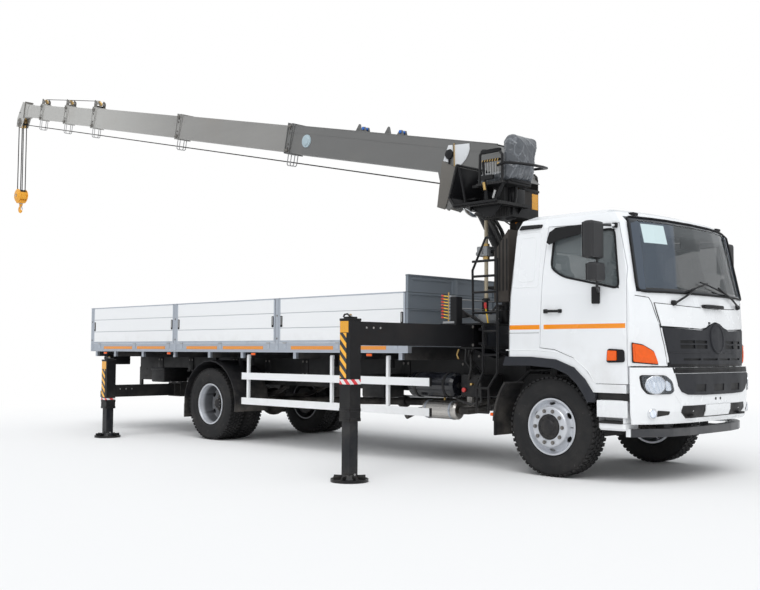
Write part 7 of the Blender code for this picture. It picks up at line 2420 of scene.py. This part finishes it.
class CRANE_OT_boom_sections(PieceOperator, bpy.types.Operator):
    """Edge bands, wear pads and hanging rope loops at the end of each boom section"""
    bl_idname = "crane_truck.boom_sections"
    bl_label = "Boom section ends"

    def make(self, context):
        """Make the end fittings of the five sections that another slides in."""
        for index, (_, end, depth, width) in enumerate(SECTIONS[:5], 1):
            form = Form("boom_light" if index > 1 else "boom_dark", "cover_grey", "steel", "brass",
                        "crane_black")
            low, top = BOOM_AXIS - depth / 2 - COLLAR, BOOM_AXIS + depth / 2 + COLLAR
            half = width / 2 + COLLAR
            self.bands(form, end, (low, top), half)
            self.loop(form, end, low, width)
            if index > 2:
                self.tower(form, end, top, half, tower_height(index))
            form.piece("section_end_%d" % index, "boom_%d" % index, "boom_grey")
            pads = [((along_boom(end - 0.06, BOOM_AXIS + up * depth, side * half)), (0, side, 0))
                    for side in (-1, 1) for up in (-0.34, -0.2, 0.2, 0.34)]
            screws("pad_bolts_%d" % index, "boom_%d" % index, pads, 0.012, 0.01)

    def bands(self, form, end, ups, half):
        """A raised band round each edge of a collar, with nubs at its corners."""
        low, top = ups
        for along in (end - 0.118, end - 0.016):
            for side in (-1, 1):
                form.boom_slab(four((along, along + 0.014), (low, top)),
                               y_span(half - 0.004, half + 0.006, side), 0.002)
            for up, rise in ((low, -0.006), (top, 0.006)):
                form.boom_slab(four((along, along + 0.014), (up - 0.004, up + 0.004 + rise)),
                               (-half - 0.006, half + 0.006), 0.001)
        form.using("cover_grey")
        for side in (-1, 1):
            for up in (low + 0.045, top - 0.045):
                form.rod(
                    along_boom(end - 0.095, up, side * (half + 0.006)),
                    along_boom(end - 0.025, up, side * (half + 0.006)), 0.024, 12, round_by=0.008)

    def loop(self, form, end, low, width):
        """A hanging loop that keeps the rope below a section."""
        form.using("steel")
        hang, half = rope_at(end) - 0.055, min(width / 2 - 0.01, 0.065)
        along = end - 0.1
        path = [(low + 0.004, -half), (hang + 0.02, -half), (hang, -half + 0.02),
                (hang, half - 0.02), (hang + 0.02, half), (low + 0.004, half)]
        for at in (along, along + 0.075):
            form.tube([along_boom(at, *spot) for spot in path], 0.0075, 8)
        form.tube([along_boom(along, hang, 0), along_boom(along + 0.075, hang, 0)], 0.0075, 8)

    def tower(self, form, end, top, half, height):
        """Sheaves in a bracket over a collar."""
        for side in (-1, 1):
            form.using("cover_grey").boom_slab(
                [(end - 0.118, top - 0.02), (end - 0.004, top - 0.02), (end - 0.004, top + height),
                 (end - 0.03, top + height + 0.012), (end - 0.1, top + height - 0.02),
                 (end - 0.118, top + height - 0.05)], y_span(half - 0.03, half - 0.018, side),
                0.003)
        for along, up in ((end - 0.04, height - 0.032), (end - 0.085, height - 0.058)):
            form.using("steel").rod(along_boom(along, top + up, -half + 0.012),
                                    along_boom(along, top + up, half - 0.012), 0.012, 10)
            form.using("brass").turned(
                [(0.012, -0.02), (0.036, -0.018), (0.027, 0), (0.036, 0.018), (0.012, 0.02)],
                along_boom(along, top + up), (0, 1, 0), 20, closed=True)
        form.using("crane_black").boom_slab(
            four((end - 0.016, end - 0.004), (top - 0.01, top + height - 0.09)),
            (-half + 0.02, half - 0.02), 0.001)


class CRANE_OT_boom_head(PieceOperator, bpy.types.Operator):
    """End plate, sheaves and rope guards of the boom's head"""
    bl_idname = "crane_truck.boom_head"
    bl_label = "Boom head"

    def make(self, context):
        """Make what the last section carries."""
        form = Form("cover_grey", "brass", "steel", "crane_black", "yellow")
        _, end, depth, width = SECTIONS[5]
        low, top = BOOM_AXIS - depth / 2, BOOM_AXIS + depth / 2
        half = width / 2 + 0.018
        form.boom_slab(four((end - 0.03, end + 0.002), (low - 0.03, top + 0.06)),
                       (-half - 0.012, half + 0.012), 0.006)
        form.boom_slab([(end, top - 0.02), (end + 0.13, top - 0.05), (end + 0.13, top),
                        (end, top + 0.03)], (-0.045, 0.045), 0.004)
        for side in (-1, 1):
            form.using("cover_grey").turned(
                [(0, 0.012), (0.03, 0.012), (0.036, 0.006), (0.1, 0.004), (0.106, -0.002),
                 (0, -0.002)][::-1], along_boom(*HEAD, side * half), (0, side, 0), 32)
            form.using("steel").rod(
                along_boom(*HEAD, side * half), along_boom(*HEAD, side * (half + 0.03)), 0.02, 6)
            form.rod(along_boom(end + 0.2, 0.1, -half - 0.01),
                     along_boom(end + 0.2, 0.1, half + 0.01), 0.014, 10)
            form.using("yellow").boom_slab(
                [(HEAD[0] - 0.02, HEAD[1] + 0.065), (HEAD[0] + 0.06, HEAD[1] + 0.085),
                 (HEAD[0] + 0.09, HEAD[1] - 0.01), (HEAD[0] + 0.03, HEAD[1] - 0.03)],
                y_span(half - 0.001, half + 0.003, side), 0)
        form.using("brass")
        for y in (-0.028, 0.028):
            form.turned([(0.052, y - 0.018), (0.112, y - 0.02), (0.116, y - 0.014),
                         (0.1, y - 0.003), (0.1, y + 0.003), (0.116, y + 0.014), (0.112, y + 0.02),
                         (0.052, y + 0.018)], along_boom(*HEAD), (0, 1, 0), 36, closed=True)
        form.using("crane_black")
        form.rod(along_boom(end + 0.06, HEAD[1] - 0.02, -half),
                 along_boom(end + 0.06, HEAD[1] - 0.02, half), 0.016, 12)
        form.piece("boom_head_fittings", "boom_6", "boom_grey")


class CRANE_OT_hoist_rope(PieceOperator, bpy.types.Operator):
    """Hoist rope from the winch below the boom to its head, and the cable above its end"""
    bl_idname = "crane_truck.hoist_rope"
    bl_label = "Hoist rope"

    def make(self, context):
        """Make a straight run between spots on each two bodies."""
        radius = sizes(context, "crane_sizes").rope
        drum_top = 0.115
        start = Vector((WINCH[0], 0.19, WINCH[1] + drum_top))
        roller = Vector((GUIDE[0], GUIDE_Y, GUIDE[1] + 0.04 + radius))
        self.run("rope_from_winch", "crane_post", "boom_1", start, roller, radius)
        spots = [along_boom(end - 0.06, rope_at(end)) for _, end, _, _ in SECTIONS[:5]]
        spots.append(along_boom(SECTIONS[5][1] - 0.02, rope_at(SECTIONS[5][1])))
        form = Form("rope").rod(roller, spots[0], radius, 8)
        form.piece("rope_along_base", "boom_1", "rod_chrome", 60)
        for index in range(5):
            self.run("rope_run_%d" % (index + 2), "boom_%d" % (index + 1), "boom_%d" % (index + 2),
                     spots[index], spots[index + 1], radius)
        form = Form("rope").tube([spots[5], along_boom(HEAD[0] - 0.075, rope_at(13.8) - 0.005),
                                  along_boom(HEAD[0] - 0.02, HEAD[1] - 0.104)], radius, 8)
        form.piece("rope_to_head", "boom_6", "rod_chrome", 60)
        tops = []
        for index in (3, 4, 5):
            _, end, depth, _ = SECTIONS[index - 1]
            up = BOOM_AXIS + depth / 2 + COLLAR + tower_height(index) + 0.004
            tops.append(along_boom(end - 0.04, up, 0))
        self.run("cable_4", "boom_3", "boom_4", tops[0], tops[1], 0.007)
        self.run("cable_5", "boom_4", "boom_5", tops[1], tops[2], 0.007)

    def run(self, name, first, last, start, end, radius):
        """One straight run between two points; the two bodies it is given are not used."""
        made = Form("rope").rod(start, end, radius, 8).item(name)
        made.data.polygons.foreach_set("use_smooth", [True] * len(made.data.polygons))
        made.data.set_sharp_from_angle(angle=math.radians(60))
        ends = [tuple(spot + Vector((FRONT_AXLE, 0, 0))) for spot in (start, end)]
        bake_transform(made)


class CRANE_OT_hook(PieceOperator, bpy.types.Operator):
    """Four falls of rope, the sheave block and the swivel hook with its latch"""
    bl_idname = "crane_truck.hook"
    bl_label = "Hook block"

    def make(self, context):
        """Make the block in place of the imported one."""
        own = sizes(context, "crane_sizes")
        x, z = along_boom(*HEAD).x, along_boom(*HEAD).z
        top = z - HOOK_DROP
        form = Form("hook_orange", "rope", "steel", "crane_black", "brass")
        egg = []
        for step in range(28):
            angle = 2 * math.pi * step / 28
            wide = 0.155 if math.sin(angle) > 0 else 0.155 - 0.045 * math.sin(angle) ** 2
            egg.append((x + wide * math.cos(angle), top - 0.155 + 0.15 * math.sin(angle)))
        for side in (-1, 1):
            form.using("hook_orange").slab(egg, y_span(0.072, 0.092, side), "Y", 0.006)
            form.turned([(0, 0.018), (0.07, 0.016), (0.082, 0.008), (0.088, 0), (0, 0)][::-1],
                        (x, side * 0.092, top - 0.145), (0, side, 0), 32)
            form.using("steel").rod(
                (x, side * 0.105, top - 0.145), (x, side * 0.124, top - 0.145), 0.024, 6)
        form.using("hook_orange")
        form.box((x - 0.14, x + 0.14), (-0.074, 0.074), (top - 0.235, top - 0.075), 0.02)
        form.box((x - 0.085, x + 0.085), (-0.08, 0.08), (top - 0.315, top - 0.225), 0.022)
        form.using("crane_black")
        for y in (-0.035, 0.035):
            form.turned([(0.02, y - 0.024), (0.128, y - 0.024), (0.132, y - 0.018), (0.116, y),
                         (0.132, y + 0.018), (0.128, y + 0.024), (0.02, y + 0.024)],
                        (x, 0, top - 0.145), (0, 1, 0), 40, closed=True)
        form.using("rope")
        for way in (-1, 1):
            for y in (-0.035, 0.035):
                form.tube([(x + way * 0.1045, y, z), (x + way * 0.112, y, top - 0.06)],
                          own.rope * 1.25, 8)
        form.using("hook_orange").rod(
            (x, 0, top - 0.375), (x, 0, top - 0.3), 0.036, 24, round_by=0.006)
        form.using("steel").rod((x, 0, top - 0.335), (x, 0, top - 0.318), 0.046, 6)
        form.using("hook_orange")
        self.bend(form, Vector((x, 0, top - 0.43)))
        form.using("steel").slab(
            [(x + 0.01, top - 0.372), (x + 0.028, top - 0.375), (x + 0.086, top - 0.455),
             (x + 0.074, top - 0.462)], (-0.01, 0.01), "Y", 0.002)
        hook = form.piece("hook_block_fine", "hook", "hook_yellow")
        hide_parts("hook_block")

    def bend(self, form, middle):
        """The hook's bowl, thickest at its bottom, as one loft."""
        bm = bmesh.new()
        loops = []
        spots = [(0.0, 0.1, 0.026), (0.0, 0.072, 0.026)]
        for step in range(14):
            angle = math.radians(100 + 232 * step / 13)
            thick = 0.024 + 0.012 * math.sin(math.pi * step / 13) ** 2 - 0.012 * (step / 13) ** 6
            spots.append((0.062 * math.cos(angle), 0.062 * math.sin(angle) - 0.012, thick))
        for index, (dx, dz, thick) in enumerate(spots):
            before = spots[max(index - 1, 0)]
            after = spots[min(index + 1, len(spots) - 1)]
            way = Vector((after[0] - before[0], 0, after[1] - before[1])).normalized()
            across = Vector((way.z, 0, -way.x))
            loop = []
            for side in range(12):
                angle = 2 * math.pi * side / 12
                arm = (across * math.cos(angle) * thick
                       + Vector((0, 1, 0)) * math.sin(angle) * thick * 0.8)
                loop.append(bm.verts.new(middle + Vector((dx, 0, dz)) + arm))
            loops.append(loop)
        for lower, upper in zip(loops, loops[1:]):
            for side in range(12):
                turn = (side + 1) % 12
                bm.faces.new((lower[side], lower[turn], upper[turn], upper[side]))
        bm.faces.new(loops[0][::-1])
        bm.faces.new(loops[-1])
        form.take(bm)


# ---- seat ----
def padded_shape(name, form, pressure, reach, held):
    """Swell a closed shape with cloth, keep each point within reach, and hold what rests."""
    made = form.item(name)
    remesh = made.modifiers.new("even", "REMESH")
    remesh.mode = "VOXEL"
    remesh.voxel_size = 0.0065
    to_mesh(made)
    before = [vertex.co.copy() for vertex in made.data.vertices]
    swell = made.modifiers.new("swell", "CLOTH")
    swell.settings.use_pressure = True
    swell.settings.uniform_pressure_force = pressure
    swell.settings.effector_weights.gravity = 0
    for frame_at in range(1, 21):
        bpy.context.scene.frame_set(frame_at)
    to_mesh(made)
    bpy.context.scene.frame_set(1)
    for vertex, start in zip(made.data.vertices, before):
        step = vertex.co - start
        if step.length > reach:
            step *= reach / step.length
        vertex.co = start + step * held(start)
    return made


def puckered(made, seams, depth, wide):
    """Draw the surface in along its seams."""
    mesh = made.data
    normals = [vertex.normal.copy() for vertex in mesh.vertices]
    for vertex, normal in zip(mesh.vertices, normals):
        near = min(seam(vertex.co) for seam in seams)
        if near < wide:
            share = 1 - near / wide
            vertex.co -= normal * depth * share * share * (3 - 2 * share)


def creased(made, centre, depth):
    """Loose diagonal folds of a film wrapped round a pad, made by a few crossing waves."""
    normals = [vertex.normal.copy() for vertex in made.data.vertices]
    for vertex, normal in zip(made.data.vertices, normals):
        spot = vertex.co - centre
        first = math.sin(19 * spot.y + 15 * spot.z + 1.6 * math.sin(9 * spot.z + 5 * spot.x))
        last = math.sin(13 * spot.z - 18 * spot.x + 10 * spot.y + 1.2 * math.sin(11 * spot.y))
        ridge = (1 - abs(first)) ** 3 + 0.7 * (1 - abs(last)) ** 3
        vertex.co += normal * depth * ridge


class CRANE_OT_seat(PieceOperator, bpy.types.Operator):
    """Operator's seat: two padded shapes in a creased film, with piping and a shell"""
    bl_idname = "crane_truck.seat"
    bl_label = "Operator's seat"

    def make(self, context):
        """Make the cushion, the back and their shell."""
        base, front, rear, near, far = 3.2505, -1.25, -0.86, -0.868, -0.472
        shape = Form("vinyl")
        shape.box((front + 0.008, rear), (near + 0.006, far - 0.006), (base, base + 0.118), 0.045,
                  steps=5)
        cushion = padded_shape("seat_cushion", shape, 4.0, 0.018, lambda spot: min(
            max((spot.z - base) / 0.04, 0.0), 1.0))
        puckered(cushion, [lambda spot: abs(spot.z - base - 0.058),
                           lambda spot: abs(abs(spot.y - (near + far) / 2) - 0.115)
                           if spot.z > base + 0.07 else 1.0], 0.006, 0.012)
        self.close(cushion, Vector((-1.05, -0.67, base)), 0.004)
        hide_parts("operator_seat")
        shape = Form("vinyl")
        rest = [(-0.915, base + 0.012), (-0.73, base + 0.008), (-0.68, base + 0.13),
                (-0.64, base + 0.42), (-0.65, base + 0.5), (-0.7, base + 0.538),
                (-0.79, base + 0.534), (-0.835, base + 0.47), (-0.88, base + 0.16)]
        shape.slab(rest, (-0.882, -0.448), "Y", 0.05, 4)
        back = padded_shape("seat_back", shape, 4.0, 0.02, lambda spot: 1.0)
        middle = (near + far) / 2
        for vertex in back.data.vertices:
            share = min(max((vertex.co.z - base - 0.36) / 0.22, 0.0), 1.0)
            vertex.co.y = middle + (vertex.co.y - middle) * (1 - 0.16 * share * share)
        puckered(
            back, [lambda spot: abs(abs(spot.y - middle) - 0.112) if spot.x < -0.76 else 1.0,
                   lambda spot: abs(spot.z - base - 0.2) if spot.x < -0.76 else 1.0], 0.004, 0.014)
        self.close(back, Vector((-0.78, -0.67, base)), 0.005)
        form = Form("black_plastic", "vinyl")
        form.box((-1.275, -0.745), (-0.882, -0.458), (3.244, 3.252), 0.006)
        form.rod((-0.845, -0.885, 3.285), (-0.845, -0.455, 3.285), 0.016, 12)
        form.using("vinyl")
        welt = rounded(four((-1.231, -0.889), (near + 0.012, far - 0.012)), 0.04)
        form.tube([(x, y, base + 0.0595) for x, y in finer(welt, 0.05)], 0.0045, 6, True)
        form.piece("seat_shell", "crane_post", "seat_cover")

    def close(self, made, centre, depth):
        """Smooth, crease and settle a pad."""
        finer_mesh = made.modifiers.new("smooth", "SUBSURF")
        finer_mesh.levels = finer_mesh.render_levels = 1
        to_mesh(made)
        creased(made, centre, depth)
        if not made.data.materials:
            made.data.materials.append(finish("vinyl"))
        settle(made, "crane_post", 60)


# ---- registration ----
GROUPS = (("cab_sizes", CabSizes), ("wheel_sizes", WheelSizes), ("crane_sizes", CraneSizes),
          ("stage_look", StageLook))
OPERATORS = (
    CRANE_OT_stage, CRANE_OT_frame_finishes, CRANE_OT_cab_front, CRANE_OT_bumper_parts,
    CRANE_OT_cab_sides, CRANE_OT_cab_inside, CRANE_OT_front_wheels, CRANE_OT_rear_wheels,
    CRANE_OT_gate_parts, CRANE_OT_bed_parts, CRANE_OT_chassis_parts, CRANE_OT_headboard_parts,
    CRANE_OT_outriggers, CRANE_OT_crane_base, CRANE_OT_column, CRANE_OT_operator_place,
    CRANE_OT_boom_base, CRANE_OT_boom_sections, CRANE_OT_boom_head, CRANE_OT_hoist_rope,
    CRANE_OT_hook, CRANE_OT_seat)


class CRANE_PT_pieces(bpy.types.Panel):
    """Sizes and pieces of the crane truck"""
    bl_idname = "CRANE_PT_pieces"
    bl_label = "Crane truck"
    bl_space_type = "VIEW_3D"
    bl_region_type = "UI"
    bl_category = "Crane truck"

    def draw(self, context):
        """List the sizes and the operators."""
        for name, group in GROUPS:
            box = self.layout.box()
            for label in group.__annotations__:
                box.prop(getattr(context.scene, name), label)
        for operator in OPERATORS:
            self.layout.operator(operator.bl_idname)


def register():
    """Add the groups, operators and panel."""
    for name, group in GROUPS:
        bpy.utils.register_class(group)
        setattr(bpy.types.Scene, name, PointerProperty(type=group))
    for item in OPERATORS + (CRANE_PT_pieces,):
        bpy.utils.register_class(item)


def unregister():
    """Take them away again."""
    for item in reversed(OPERATORS + (CRANE_PT_pieces,)):
        bpy.utils.unregister_class(item)
    for name, group in reversed(GROUPS):
        delattr(bpy.types.Scene, name)
        bpy.utils.unregister_class(group)


def main():
    """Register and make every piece."""
    register()
    for operator in OPERATORS:
        family, name = operator.bl_idname.split(".")
        getattr(getattr(bpy.ops, family), name)()


if __name__ == "__main__":
    main()
